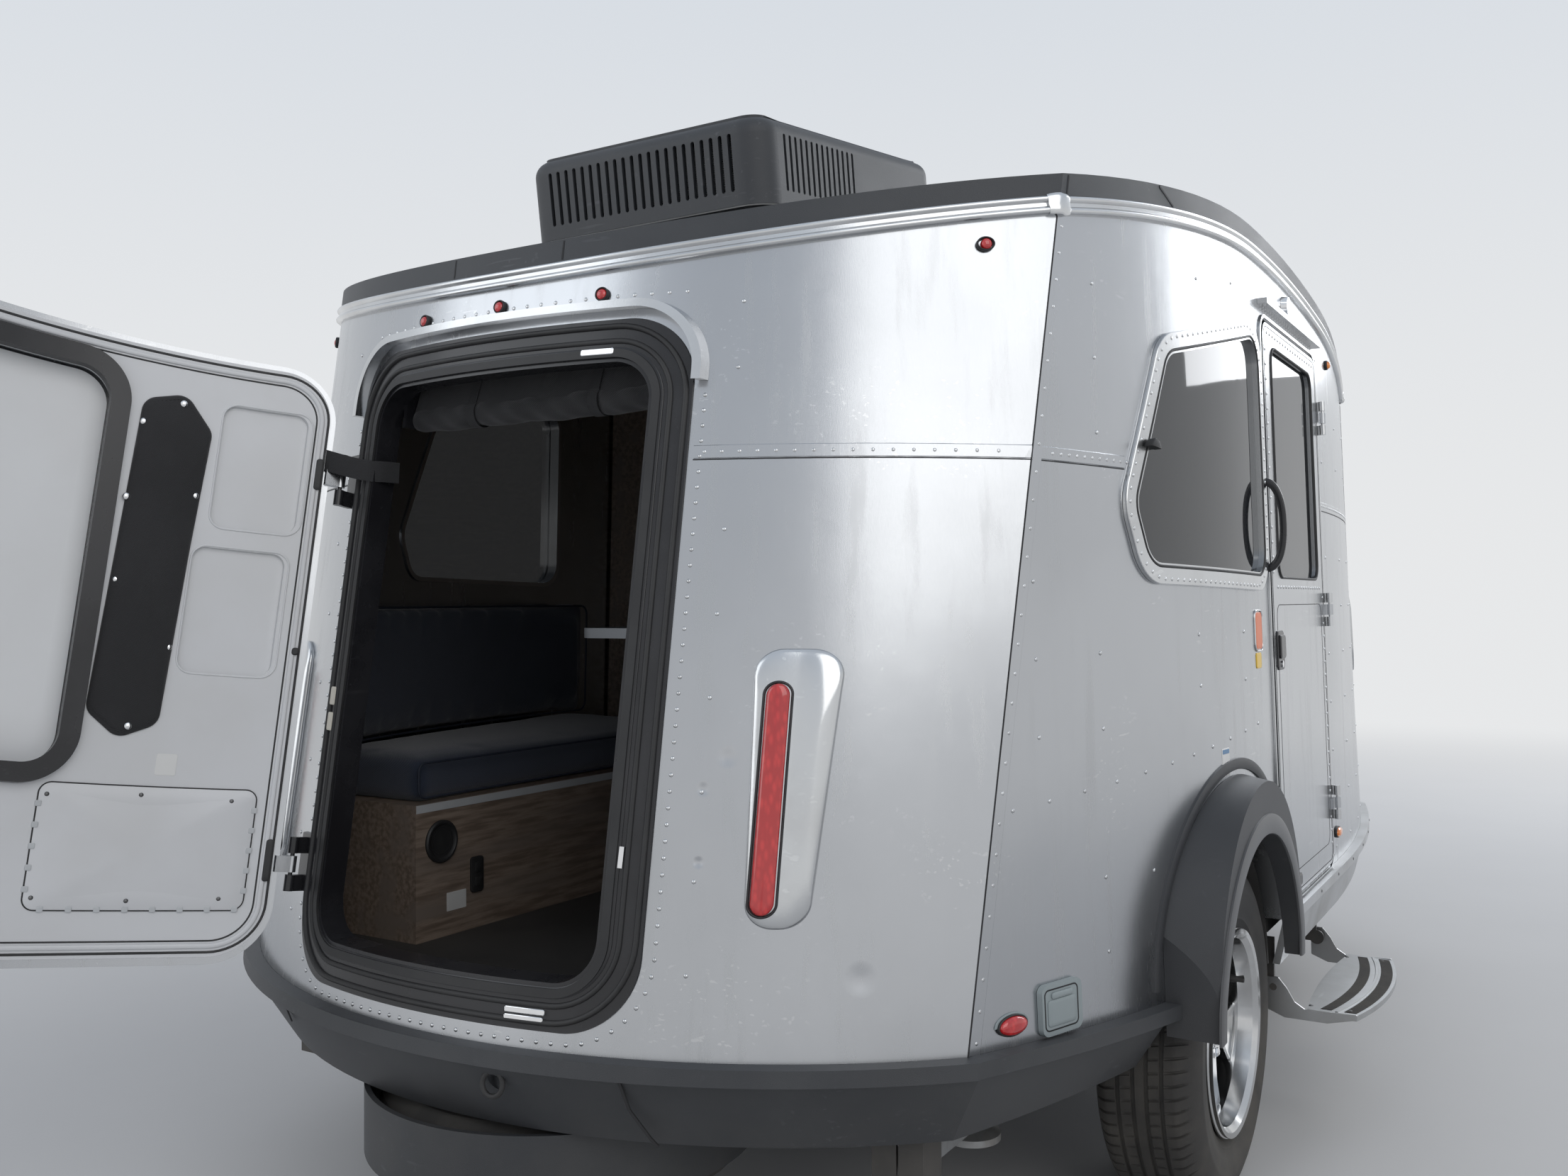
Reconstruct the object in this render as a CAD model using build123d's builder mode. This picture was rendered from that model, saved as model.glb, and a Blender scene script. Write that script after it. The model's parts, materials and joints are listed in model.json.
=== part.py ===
from build123d import *
import math
import os

# Compact riveted aluminium travel caravan, parked on its wheels and tongue jack.
# Millimetres. X points forward to the coupler, Y to the left side, Z up from the ground.
# Sizes below are measured from the tail; every piece is written from the tongue jack's foot.

os.makedirs("parts", exist_ok=True)

# Body shell
BODY_WIDTH = 2134
BODY_BASE = 511
WALL = 38
SKIN_GAP = 0.3
REAR_LEAN_DEG = 9.15
SIDE_LEAN_DEG = 1.7
NOSE_LEAN_DEG = 20
REAR_RADIUS = 1210
NOSE_X = 3850
NOSE_RADIUS = 1270
SIDE_REAR_X = 1488
SIDE_REAR_RADIUS = 3077
SIDE_FRONT_X = 2280
SIDE_FRONT_RADIUS = 5800
HULL_LOW = 300
HULL_HIGH = 2300
SEAM_Z = 1465

# Roof line seen from the side: three tangent arcs (centre x, centre z, radius)
ROOF_REAR = (1481.7, -2566.4, 4560)
ROOF_MAIN = (1670, -3558, 5568)
ROOF_FRONT = (2154.7, -457.8, 2430)
ROOF_JOIN_REAR = 628
ROOF_JOIN_FRONT = 2530
ROOF_START = -50
ROOF_END = 3700
CROWN_RADIUS = 25000
WALL_TOP = 16
FAIRING_TOP = 56
ROOF_TOP = 58
ROOF_THICK = 35

# Rear hatch, measured closed
HATCH_BASE = 560
HATCH_TOP = 1675
HATCH_HALF = 390
HATCH_RADIUS = 105
HATCH_OPEN_DEG = 110
FRAME_BASE = 545
FRAME_TOP = 1715
FRAME_HALF = 398
FRAME_RADIUS = 120
OPENING_BASE = 620
OPENING_TOP = 1640
OPENING_HALF = 325
OPENING_RADIUS = 70
HINGE_Y = 414
HINGE_OUT = 34
HINGE_HEIGHTS = (740, 1470)
HINGE_PIN = 4
HATCH_WINDOW = (-284, 0, 895, 1600)
LINER_POCKETS = ((190, 340, 1350, 1580), (170, 330, 1080, 1310))

# Entry door
DOOR_REAR = 1575
DOOR_FRONT = 2205
DOOR_BASE = 535
DOOR_TOP = 1865
DOOR_GAP = 8
DOOR_PROUD = 6
DOOR_THICK = 40
DOOR_HINGE_X = 2213
DOOR_HINGE_OUT = 20
DOOR_HINGE_HEIGHTS = (690, 1200, 1710)
DOOR_GLASS = (1650, 2130, 1278, 1815)
DOOR_NOTCH = 398

# Running gear
WHEEL_X = 1235
WHEEL_Z = 344
WHEEL_Y = 945
TYRE_RADIUS = 344
TYRE_WIDTH = 204
RIM_RADIUS = 190
RUNNING = 0.06
ARCH_Z = 400
ARCH_RADIUS = 350
FLARE_Z = 490
FLARE_RADIUS = 380
FLARE_Y = 1104

# Lamps and cabin
ID_LAMPS = (-219, 0, 206)
ID_LAMP_Z = 1762
LAMP_RADIUS = 12
HANDLE_X = 1548
SEAT_FRONT = 452
SEAT_REAR_X = 420
SEAT_END_X = 1540
SEAT_TOP = 800
BOARD = 18
PAD_HIGH = 96
BACK_THICK = 90
BACK_TOP = 1230
TABLE_TOP = 1172
WASH_REAR = 1760
WASH_FRONT = 2560
WASH_SIDE = 260
WASH_TOP = 1890
GALLEY_X = 2980
GALLEY_TOP = 990
SCREEN_X = 300
SCREEN_HALF = 310

# Belt and wheel arch surrounds
BUMPER_END = 866
BUMPER_LOW = 365
SILL_START = 1614
SILL_NOTCH = 440
SILL_LOW = 395
FLARE_FOOT = 430
HOUSING_IN = 803
HOUSING_THICK = 12

# Chassis
RAIL_Y = 520
RAIL_TOP = 469
RAIL_BASE = 379
RAIL_START = 240
RAIL_END = 3300
CROSS_MEMBERS = (265, 370, 900, 1600, 2300, 3000)
DRAWBAR_TIP = 4700
AXLE_X = 1095
SPINDLE_RADIUS = 25
LEG_X = 410
LEG_Y = 705
LEG_Z = 300
PIN_RADIUS = 8
STEP_REAR = 1622
STEP_FRONT = 2178
STEP_Y = -1036
STEP_Z = 340
JACK_TUBE = 28.5
JACK_LEG = 25
LOCKER_X = 4190
LOCKER_LONG = 380
LOCKER_WIDE = 600
LOCKER_TOP = 880
FLOOR_BASE = 469.3
FLOOR_TOP = 508
JACK_X = 4560
COUPLER_BACK = 4645
COUPLER_X = 4860
COUPLER_Z = 452
BALL_POCKET = 26.2

REAR_LEAN = math.tan(math.radians(REAR_LEAN_DEG))
SIDE_LEAN = math.tan(math.radians(SIDE_LEAN_DEG))
NOSE_LEAN = math.tan(math.radians(NOSE_LEAN_DEG))


def arc_height(arc, x):
    """Height of a roof arc's upper half at x."""
    centre_x, centre_z, radius = arc
    return centre_z + math.sqrt(radius**2 - (x - centre_x) ** 2)


def roof_z(x):
    """Height of the roof moulding's line at x."""
    if x < ROOF_JOIN_REAR:
        return arc_height(ROOF_REAR, x)
    if x < ROOF_JOIN_FRONT:
        return arc_height(ROOF_MAIN, x)
    return arc_height(ROOF_FRONT, x)


def crossing(first_x, first_radius, second_x, second_y, second_radius, forward):
    """Point on the right side where a circle centred on the midline meets a side circle."""
    dx = second_x - first_x
    span = math.hypot(dx, second_y)
    along = (first_radius**2 - second_radius**2 + span**2) / (2 * span)
    off = math.sqrt(first_radius**2 - along**2)
    mid_x = first_x + along * dx / span
    mid_y = along * second_y / span
    one = (mid_x + off * second_y / span, mid_y - off * dx / span)
    two = (mid_x - off * second_y / span, mid_y + off * dx / span)
    return max(one, two) if forward else min(one, two)


def plan_points(shape_z, inset):
    """Right-hand plan points of the body at a height, moved inward by an inset."""
    rise = shape_z - BODY_BASE
    half = BODY_WIDTH / 2 - rise * SIDE_LEAN
    rear_x = rise * REAR_LEAN + REAR_RADIUS
    nose_x = NOSE_X - rise * NOSE_LEAN - NOSE_RADIUS
    rear_y = SIDE_REAR_RADIUS - half
    front_y = SIDE_FRONT_RADIUS - half
    rear = crossing(
        rear_x, REAR_RADIUS - inset, SIDE_REAR_X, rear_y, SIDE_REAR_RADIUS - inset, False
    )
    front = crossing(
        nose_x, NOSE_RADIUS - inset, SIDE_FRONT_X, front_y, SIDE_FRONT_RADIUS - inset, True
    )
    rear_mid_x = (rear[0] + SIDE_REAR_X) / 2
    rear_mid_y = rear_y - math.sqrt((SIDE_REAR_RADIUS - inset) ** 2 - (rear_mid_x - SIDE_REAR_X) ** 2)
    front_mid_x = (front[0] + SIDE_FRONT_X) / 2
    front_mid_y = front_y - math.sqrt((SIDE_FRONT_RADIUS - inset) ** 2 - (front_mid_x - SIDE_FRONT_X) ** 2)
    tail = (rear_x - REAR_RADIUS + inset, 0)
    nose = (nose_x + NOSE_RADIUS - inset, 0)
    side = half - inset
    return {
        "tail": tail,
        "rear": rear,
        "rear_mid": (rear_mid_x, rear_mid_y),
        "side_rear": (SIDE_REAR_X, -side),
        "side_front": (SIDE_FRONT_X, -side),
        "front_mid": (front_mid_x, front_mid_y),
        "front": front,
        "nose": nose,
    }


def mirrored(point):
    return (point[0], -point[1])


def outline(shape_z, inset, place_z):
    """Closed plan of the body as eight lines and arcs, laid at a height."""
    at = plan_points(shape_z, inset)
    with BuildSketch(Plane.XY.offset(place_z)) as plan:
        with BuildLine():
            ThreePointArc(mirrored(at["rear"]), at["tail"], at["rear"])
            ThreePointArc(at["rear"], at["rear_mid"], at["side_rear"])
            Line(at["side_rear"], at["side_front"])
            ThreePointArc(at["side_front"], at["front_mid"], at["front"])
            ThreePointArc(at["front"], at["nose"], mirrored(at["front"]))
            ThreePointArc(mirrored(at["front"]), mirrored(at["front_mid"]), mirrored(at["side_front"]))
            Line(mirrored(at["side_front"]), mirrored(at["side_rear"]))
            ThreePointArc(mirrored(at["side_rear"]), mirrored(at["rear_mid"]), mirrored(at["rear"]))
        make_face()
    return plan.sketch.faces()[0]


HULLS = {}


def hull(inset):
    """Leaning body volume whose walls stand an inset inside the outer skin."""
    if inset not in HULLS:
        with BuildPart() as solid:
            loft(
                sections=[outline(HULL_LOW, inset, HULL_LOW), outline(HULL_HIGH, inset, HULL_HIGH)],
                ruled=True,
            )
        HULLS[inset] = solid.part
    return HULLS[inset]


def belt_loft(low_z, low_inset, high_z, high_inset):
    """Ruled volume round the base of the body between two plan offsets."""
    with BuildPart() as solid:
        loft(
            sections=[outline(BODY_BASE, low_inset, low_z), outline(BODY_BASE, high_inset, high_z)],
            ruled=True,
        )
    return solid.part


def shell(outer, inner):
    """Skin between two insets, open above and below."""
    with BuildPart() as skin:
        add(hull(outer))
        add(hull(inner), mode=Mode.SUBTRACT)
    return skin.part


def roof_edges(rise):
    ThreePointArc(
        (ROOF_START, roof_z(ROOF_START) + rise),
        (300, roof_z(300) + rise),
        (ROOF_JOIN_REAR, roof_z(ROOF_JOIN_REAR) + rise),
    )
    ThreePointArc(
        (ROOF_JOIN_REAR, roof_z(ROOF_JOIN_REAR) + rise),
        (1600, roof_z(1600) + rise),
        (ROOF_JOIN_FRONT, roof_z(ROOF_JOIN_FRONT) + rise),
    )
    ThreePointArc(
        (ROOF_JOIN_FRONT, roof_z(ROOF_JOIN_FRONT) + rise),
        (3100, roof_z(3100) + rise),
        (ROOF_END, roof_z(ROOF_END) + rise),
    )


def roof_face(rise, plane_y):
    """Side view area under the roof line raised by a distance, drawn at a station across the body."""
    with BuildSketch(Plane.XZ.offset(-plane_y)) as side:
        with BuildLine():
            roof_edges(rise)
            Polyline(
                (ROOF_END, roof_z(ROOF_END) + rise),
                (4100, 900),
                (4100, 200),
                (-300, 200),
                (-300, roof_z(ROOF_START) + rise - 200),
                (ROOF_START, roof_z(ROOF_START) + rise),
            )
        make_face()
    return side.sketch


def below_roof(rise):
    """Everything below the roof line raised by a distance."""
    with BuildPart() as prism:
        extrude(to_extrude=roof_face(rise, 1500), amount=3000, dir=(0, -1, 0))
    return prism.part


def dome(rise):
    """Everything below the slightly crowned roof surface."""
    axis = Axis((0, 0, 2000 - CROWN_RADIUS), (1, 0, 0))
    with BuildPart() as solid:
        add(roof_face(rise, 0))
        revolve(axis=axis, revolution_arc=6)
    return solid.part.rotate(axis, -3)


def side_prism(points, near=700, far=1300, mirror_side=False, radius=0):
    """Prism along Y through one side wall from a side view outline."""
    with BuildPart() as prism:
        with BuildSketch(Plane.XZ.offset(near)) as face:
            with BuildLine():
                Polyline(*points, close=True)
            make_face()
            if radius:
                fillet(face.vertices(), radius)
        extrude(amount=far - near)
    return prism.part.mirror(Plane.XZ) if mirror_side else prism.part


def slab(low, high):
    """Box between two corners."""
    size = [high[i] - low[i] for i in range(3)]
    with BuildPart() as block:
        with Locations((low[0], low[1], low[2])):
            Box(*size, align=(Align.MIN, Align.MIN, Align.MIN))
    return block.part


def rear_prism(half, base, top, radius, start=-200, end=560):
    """Rounded rectangle prism along X through the rear wall."""
    with BuildPart() as prism:
        with BuildSketch(Plane.YZ.offset(start)):
            with Locations((0, (base + top) / 2)):
                RectangleRounded(2 * half, top - base, radius)
        extrude(amount=end - start)
    return prism.part


def rear_window(left, right, base, top, radius, start=-200, end=560):
    """Rounded rectangle prism along X between two stations across the tail."""
    with BuildPart() as prism:
        with BuildSketch(Plane.YZ.offset(start)):
            with Locations(((left + right) / 2, (base + top) / 2)):
                RectangleRounded(right - left, top - base, radius)
        extrude(amount=end - start)
    return prism.part


def rear_polygon(points, radius, start=-200, end=560):
    """Prism along X through the tail from a rear view outline."""
    with BuildPart() as prism:
        with BuildSketch(Plane.YZ.offset(start)) as face:
            with BuildLine():
                Polyline(*points, close=True)
            make_face()
            fillet(face.vertices(), radius)
        extrude(amount=end - start)
    return prism.part


def corner_wedge(name, apex_x, limit_x):
    """Volume that holds one end wall, split from the sides through the corner seams."""
    faces = []
    for z in (HULL_LOW, HULL_HIGH):
        corner = plan_points(z, 0)[name]
        out_x = corner[0] + 0.35 * (corner[0] - apex_x)
        out_y = corner[1] * 1.35
        with BuildSketch(Plane.XY.offset(z)) as face:
            with BuildLine():
                Polyline(
                    (apex_x, 0), (out_x, out_y), (limit_x, out_y), (limit_x, -out_y), (out_x, -out_y),
                    close=True,
                )
            make_face()
        faces.append(face.sketch.faces()[0])
    with BuildPart() as wedge:
        loft(sections=faces, ruled=True)
    return wedge.part


def save(part, name):
    """Write one piece with the origin under the tongue jack's foot."""
    placed = part.translate((-JACK_X, 0, 0))
    placed.label = name
    export_step(placed, "parts/" + name + ".step")


SKIN = hull(0)
LINING = hull(WALL)
CABIN = hull(WALL + SKIN_GAP)
REAR_WEDGE = corner_wedge("rear", 1600, -600)
FRONT_WEDGE = corner_wedge("front", 1800, 4600)

# Window and door outlines in side view, shared by walls, rings and glass
WINDOW = [(1505, 1280), (862, 1292), (815, 1405), (955, 1700), (1505, 1818)]
WINDOW_RADIUS = 62
RING = 34


def window_face(grow):
    with BuildSketch(Plane.XZ.offset(700)) as face:
        with BuildLine():
            Polyline(*WINDOW, close=True)
        make_face()
        fillet(face.vertices(), WINDOW_RADIUS)
        if grow:
            offset(amount=grow, kind=Kind.ARC)
    return face.sketch


def window_prism(grow, left):
    with BuildPart() as prism:
        extrude(to_extrude=window_face(grow), amount=600, dir=(0, -1, 0))
    return prism.part.mirror(Plane.XZ) if left else prism.part


def door_prism(grow, radius):
    """Entry door outline grown by a distance; its rear foot is notched round the wheel arch."""
    with BuildPart() as prism:
        add(
            side_prism(
                [
                    (DOOR_REAR - grow, DOOR_BASE - grow), (DOOR_FRONT + grow, DOOR_BASE - grow),
                    (DOOR_FRONT + grow, DOOR_TOP + grow), (DOOR_REAR - grow, DOOR_TOP + grow),
                ],
                radius=radius,
            )
        )
        with Locations(Location((WHEEL_X, -1000, FLARE_Z), (90, 0, 0))):
            Cylinder(DOOR_NOTCH - grow, 800, mode=Mode.SUBTRACT)
    return prism.part


# Front windows: centre angle from straight ahead, width
FRONT_WINDOWS = [(-34, 470), (0, 760), (34, 470)]
FRONT_WINDOW_BASE = 1010
FRONT_WINDOW_TOP = 1400


def front_prism(angle, width, grow):
    with BuildPart() as prism:
        with BuildSketch(Plane.YZ.offset(600)):
            with Locations((0, (FRONT_WINDOW_BASE + FRONT_WINDOW_TOP) / 2)):
                RectangleRounded(width + 2 * grow, FRONT_WINDOW_TOP - FRONT_WINDOW_BASE + 2 * grow, 60 + grow)
        extrude(amount=1100)
    turned = prism.part.rotate(Axis.Z, angle)
    return turned.translate((NOSE_X - 400 - NOSE_RADIUS, 0, 0))


# Walls
with BuildPart() as walls:
    add(SKIN)
    add(LINING, mode=Mode.SUBTRACT)
    add(below_roof(WALL_TOP), mode=Mode.INTERSECT)
    with BuildSketch(Plane.XZ.offset(-1500)):
        with BuildLine():
            Polyline(
                (-300, 505), (346, 505), (869, 482), (WHEEL_X, 482), (WHEEL_X, 508), (4100, 508),
                (4100, 2400), (-300, 2400), close=True,
            )
        make_face()
    extrude(amount=3000, mode=Mode.INTERSECT)
    add(rear_prism(FRAME_HALF - 22, FRAME_BASE + 22, FRAME_TOP - 22, FRAME_RADIUS - 22), mode=Mode.SUBTRACT)
    for left in (False, True):
        add(window_prism(6, left), mode=Mode.SUBTRACT)
    add(door_prism(DOOR_GAP, 48), mode=Mode.SUBTRACT)
    with BuildSketch(Plane.XZ.offset(-1500)):
        with Locations((WHEEL_X, ARCH_Z)):
            Circle(ARCH_RADIUS)
        with Locations((WHEEL_X, ARCH_Z - 150)):
            Rectangle(2 * ARCH_RADIUS, 300)
    extrude(amount=3000, mode=Mode.SUBTRACT)
    for angle, width in FRONT_WINDOWS:
        add(front_prism(angle, width, 6), mode=Mode.SUBTRACT)

with BuildPart() as rear_wall_lower:
    add(walls.part)
    add(REAR_WEDGE, mode=Mode.INTERSECT)
    add(slab((-600, -1500, 200), (1700, 1500, SEAM_Z)), mode=Mode.INTERSECT)
save(rear_wall_lower.part, "rear_wall_lower")

with BuildPart() as rear_wall_upper:
    add(walls.part)
    add(REAR_WEDGE, mode=Mode.INTERSECT)
    add(slab((-600, -1500, SEAM_Z), (1700, 1500, 2400)), mode=Mode.INTERSECT)
save(rear_wall_upper.part, "rear_wall_upper")

with BuildPart() as front_wall:
    add(walls.part)
    add(FRONT_WEDGE, mode=Mode.INTERSECT)
save(front_wall.part, "front_wall")

for name, low_y, high_y in (("side_wall_right", -1500, 0), ("side_wall_left", 0, 1500)):
    with BuildPart() as side_wall:
        add(walls.part)
        add(REAR_WEDGE, mode=Mode.SUBTRACT)
        add(FRONT_WEDGE, mode=Mode.SUBTRACT)
        add(slab((-600, low_y, 200), (4600, high_y, 2400)), mode=Mode.INTERSECT)
    save(side_wall.part, name)

# Roof: crowned panel inside a dark fairing, with a double bead moulding below
with BuildPart() as roof_panel:
    add(hull(56))
    add(dome(ROOF_TOP), mode=Mode.INTERSECT)
    add(dome(ROOF_TOP - ROOF_THICK), mode=Mode.SUBTRACT)
save(roof_panel.part, "roof_panel")

with BuildPart() as roof_fairing:
    add(shell(-4, 55.7))
    add(below_roof(FAIRING_TOP), mode=Mode.INTERSECT)
    add(below_roof(WALL_TOP + SKIN_GAP), mode=Mode.SUBTRACT)
save(roof_fairing.part, "roof_fairing")


def roof_band(inset, low, high):
    """Strip outside the skin that follows the roof line between two heights."""
    with BuildPart() as strip:
        add(shell(inset, -SKIN_GAP))
        add(below_roof(high), mode=Mode.INTERSECT)
        add(below_roof(low), mode=Mode.SUBTRACT)
    return strip.part


with BuildPart() as roof_moulding:
    add(roof_band(-6, -17, 16))
    add(roof_band(-12, -17, -3))
    add(roof_band(-12, 3, 16))
save(roof_moulding.part, "roof_moulding")



# Belt: dark rear bumper, bright sills forward of the wheels and round the nose
REAR_BELT = [(-300, 505), (346, 505), (BUMPER_END, 482)]
FRONT_BELT = [(SILL_START, 508), (4300, 508)]


def belt_band(line, low, high):
    """Slice across the body that follows the lower edge of the skin."""
    lower = [(x, z + low) for x, z in line]
    upper = [(x, z + high) for x, z in reversed(line)]
    with BuildPart() as band:
        with BuildSketch(Plane.XZ.offset(-1500)):
            with BuildLine():
                Polyline(*lower, *upper, close=True)
            make_face()
        extrude(amount=3000)
    return band.part


with BuildPart() as bumper_apron:
    add(belt_loft(BUMPER_LOW, 55, 492, -24))
    add(belt_loft(BUMPER_LOW, 77, 492, -2), mode=Mode.SUBTRACT)
    add(belt_band(REAR_BELT, -200, -16), mode=Mode.INTERSECT)

with BuildPart() as rear_bumper:
    add(shell(-30, -SKIN_GAP))
    add(belt_band(REAR_BELT, -16, 10), mode=Mode.INTERSECT)
    add(bumper_apron.part)
    with Locations(Location((-60, -165, 455), (0, 90, 0))):
        Cylinder(15, 160, mode=Mode.SUBTRACT)
save(rear_bumper.part, "rear_bumper")

with BuildPart() as sill_valance:
    add(belt_loft(SILL_LOW, 14, 499, -10))
    add(belt_loft(SILL_LOW, 30, 499, 6), mode=Mode.SUBTRACT)
    add(slab((SILL_START, -1500, 200), (4300, 1500, 700)), mode=Mode.INTERSECT)
    add(slab((3400, -SILL_NOTCH, 200), (4300, SILL_NOTCH, RAIL_TOP + 5)), mode=Mode.SUBTRACT)

with BuildPart() as body_sills:
    add(shell(-24, -SKIN_GAP))
    add(belt_band(FRONT_BELT, -9, 14), mode=Mode.INTERSECT)
    add(sill_valance.part)
save(body_sills.part, "body_sills")


# Flared wheel arch surrounds and the housings behind them
def arch_face(plane_y, radius, centre_z, foot_z):
    """Arch shaped face with straight legs, seen from the right side."""
    with BuildSketch(Plane.XZ.offset(plane_y)) as face:
        with BuildLine():
            ThreePointArc(
                (WHEEL_X - radius, centre_z), (WHEEL_X, centre_z + radius), (WHEEL_X + radius, centre_z)
            )
            Polyline(
                (WHEEL_X + radius, centre_z), (WHEEL_X + radius, foot_z),
                (WHEEL_X - radius, foot_z), (WHEEL_X - radius, centre_z),
            )
        make_face()
    return face.sketch.faces()[0]


def arch_block(near, far, radius, centre_z, foot_z):
    with BuildPart() as block:
        extrude(to_extrude=arch_face(near, radius, centre_z, foot_z), amount=far - near, dir=(0, -1, 0))
    return block.part


with BuildPart() as fender_right:
    loft(
        sections=[
            arch_face(960, FLARE_RADIUS + 16, FLARE_Z, FLARE_FOOT),
            arch_face(FLARE_Y, FLARE_RADIUS - 12, FLARE_Z, FLARE_FOOT),
        ],
        ruled=True,
    )
    add(hull(-SKIN_GAP), mode=Mode.SUBTRACT)
    add(arch_block(900, 1200, ARCH_RADIUS, ARCH_Z, 100), mode=Mode.SUBTRACT)
    add(slab((BUMPER_END + 0.5, -1300, 300), (SILL_START - 0.5, 0, 1000)), mode=Mode.INTERSECT)

with BuildPart() as fenders:
    add(fender_right.part)
    mirror(about=Plane.XZ)
save(fenders.part, "fenders")

with BuildPart() as housing_right:
    add(arch_block(HOUSING_IN, 1070, ARCH_RADIUS + HOUSING_THICK, ARCH_Z, 300))
    add(arch_block(HOUSING_IN + HOUSING_THICK, 1100, ARCH_RADIUS, ARCH_Z, 200), mode=Mode.SUBTRACT)
    add(slab((0, -1300, ARCH_Z), (3000, 0, 1000)), mode=Mode.INTERSECT)
    add(CABIN, mode=Mode.INTERSECT)

with BuildPart() as wheel_housings:
    add(housing_right.part)
    mirror(about=Plane.XZ)
save(wheel_housings.part, "wheel_housings")

# Floor panel, notched round the wheel housings
with BuildPart() as floor:
    add(CABIN)
    add(slab((-200, -1500, FLOOR_BASE), (4200, 1500, FLOOR_TOP)), mode=Mode.INTERSECT)
    notch = ARCH_RADIUS + HOUSING_THICK + 0.5
    for side in (-1, 1):
        with Locations((WHEEL_X, side * (HOUSING_IN - 0.5 + 250), 500)):
            Box(2 * notch, 500, 200, mode=Mode.SUBTRACT)
save(floor.part, "floor")

# Chassis: rails, cross members, tapering drawbar, brackets for rear legs and step
with BuildPart() as chassis_frame:
    for cross_x in CROSS_MEMBERS:
        with Locations((cross_x, 0, (RAIL_TOP + RAIL_BASE) / 2)):
            Box(50, 2 * RAIL_Y, RAIL_TOP - RAIL_BASE - 10)
    for side in (-1, 1):
        with Locations(((RAIL_START + RAIL_END) / 2, side * RAIL_Y, (RAIL_TOP + RAIL_BASE) / 2)):
            Box(RAIL_END - RAIL_START, 60, RAIL_TOP - RAIL_BASE)
        with BuildSketch(Plane.XY.offset(RAIL_BASE)):
            with BuildLine():
                Polyline(
                    (RAIL_END - 400, side * 490), (RAIL_END - 400, side * 550), (RAIL_END, side * 550),
                    (DRAWBAR_TIP, side * 100), (DRAWBAR_TIP, side * 40), (RAIL_END - 20, side * 490),
                    close=True,
                )
            make_face()
        extrude(amount=RAIL_TOP - RAIL_BASE)
        with Locations((LEG_X, side * (RAIL_Y + LEG_Y + 47) / 2, 425)):
            Box(70, LEG_Y + 47 - RAIL_Y, 30)
        for plate_y in (LEG_Y - 41, LEG_Y + 41):
            with Locations((LEG_X, side * plate_y, 342)):
                Box(70, 6, 136)
        for plate_y in (LEG_Y - 24.5, LEG_Y + 24.5):
            with Locations((LEG_X - 38, side * plate_y, 345)):
                Box(6, 45, 190)
        with Locations(Location((LEG_X, side * LEG_Y, LEG_Z), (90, 0, 0))):
            Cylinder(PIN_RADIUS, 2 * 43)
    with Locations((JACK_X, 0, RAIL_TOP - 4)):
        Box(150, 150, 8)
    with Locations((JACK_X, 0, RAIL_TOP - 4)):
        Cylinder(JACK_TUBE + 1, 20, mode=Mode.SUBTRACT)
    for arm_x in (STEP_REAR + 20, STEP_FRONT - 20):
        with Locations((arm_x, -775, 424)):
            Box(10, 520, 50)
        with Locations((arm_x, -1015, 380)):
            Box(10, 40, 100)
        with Locations(Location((arm_x, STEP_Y, STEP_Z), (0, 90, 0))):
            Cylinder(18, 10)
    for pin_x in (STEP_REAR + 12, STEP_FRONT - 12):
        with Locations(Location((pin_x, STEP_Y, STEP_Z), (0, 90, 0))):
            Cylinder(PIN_RADIUS, 26)
save(chassis_frame.part, "chassis_frame")

with BuildPart() as step_tread:
    with BuildSketch(Plane.YZ.offset(STEP_REAR)) as cheek:
        with BuildLine():
            Polyline(
                (-1019, 362), (-1048, 362), (-1066, 340), (-1082, 312), (-1104, 298), (-1216, 302),
                (-1214, 290), (-1152, 274), (-1060, 274), (-1019, 290), close=True,
            )
        make_face()
        fillet(cheek.vertices(), 4)
    extrude(amount=6)
    mirror(about=Plane.YZ.offset((STEP_REAR + STEP_FRONT) / 2))
    for bore_x in (STEP_REAR + 3, STEP_FRONT - 3):
        with Locations(Location((bore_x, STEP_Y, STEP_Z), (0, 90, 0))):
            Cylinder(PIN_RADIUS + RUNNING, 10, mode=Mode.SUBTRACT)
    with BuildSketch(Plane.XY.offset(288)):
        with BuildLine():
            ThreePointArc((STEP_REAR, -1110), ((STEP_REAR + STEP_FRONT) / 2, -1094), (STEP_FRONT, -1110))
            Line((STEP_FRONT, -1110), (STEP_FRONT, -1214))
            ThreePointArc((STEP_FRONT, -1214), ((STEP_REAR + STEP_FRONT) / 2, -1252), (STEP_REAR, -1214))
            Line((STEP_REAR, -1214), (STEP_REAR, -1110))
        make_face()
    extrude(amount=12)
save(step_tread.part, "step_tread")

for side, name in ((-1, "stabiliser_right"), (1, "stabiliser_left")):
    with BuildPart() as stabiliser:
        with Locations(((LEG_X + 663) / 2, side * LEG_Y, LEG_Z)):
            Box(663 - LEG_X, 50, 30)
        with Locations(Location((LEG_X, side * LEG_Y, LEG_Z), (90, 0, 0))):
            Cylinder(20, 50)
        with Locations((663, side * LEG_Y, 278)):
            Cone(55, 24, 20)
        with Locations((663, side * LEG_Y, 262)):
            Cylinder(55, 12)
        with Locations(Location((LEG_X, side * LEG_Y, LEG_Z), (90, 0, 0))):
            Cylinder(PIN_RADIUS + RUNNING, 60, mode=Mode.SUBTRACT)
    save(stabiliser.part, name)

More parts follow.
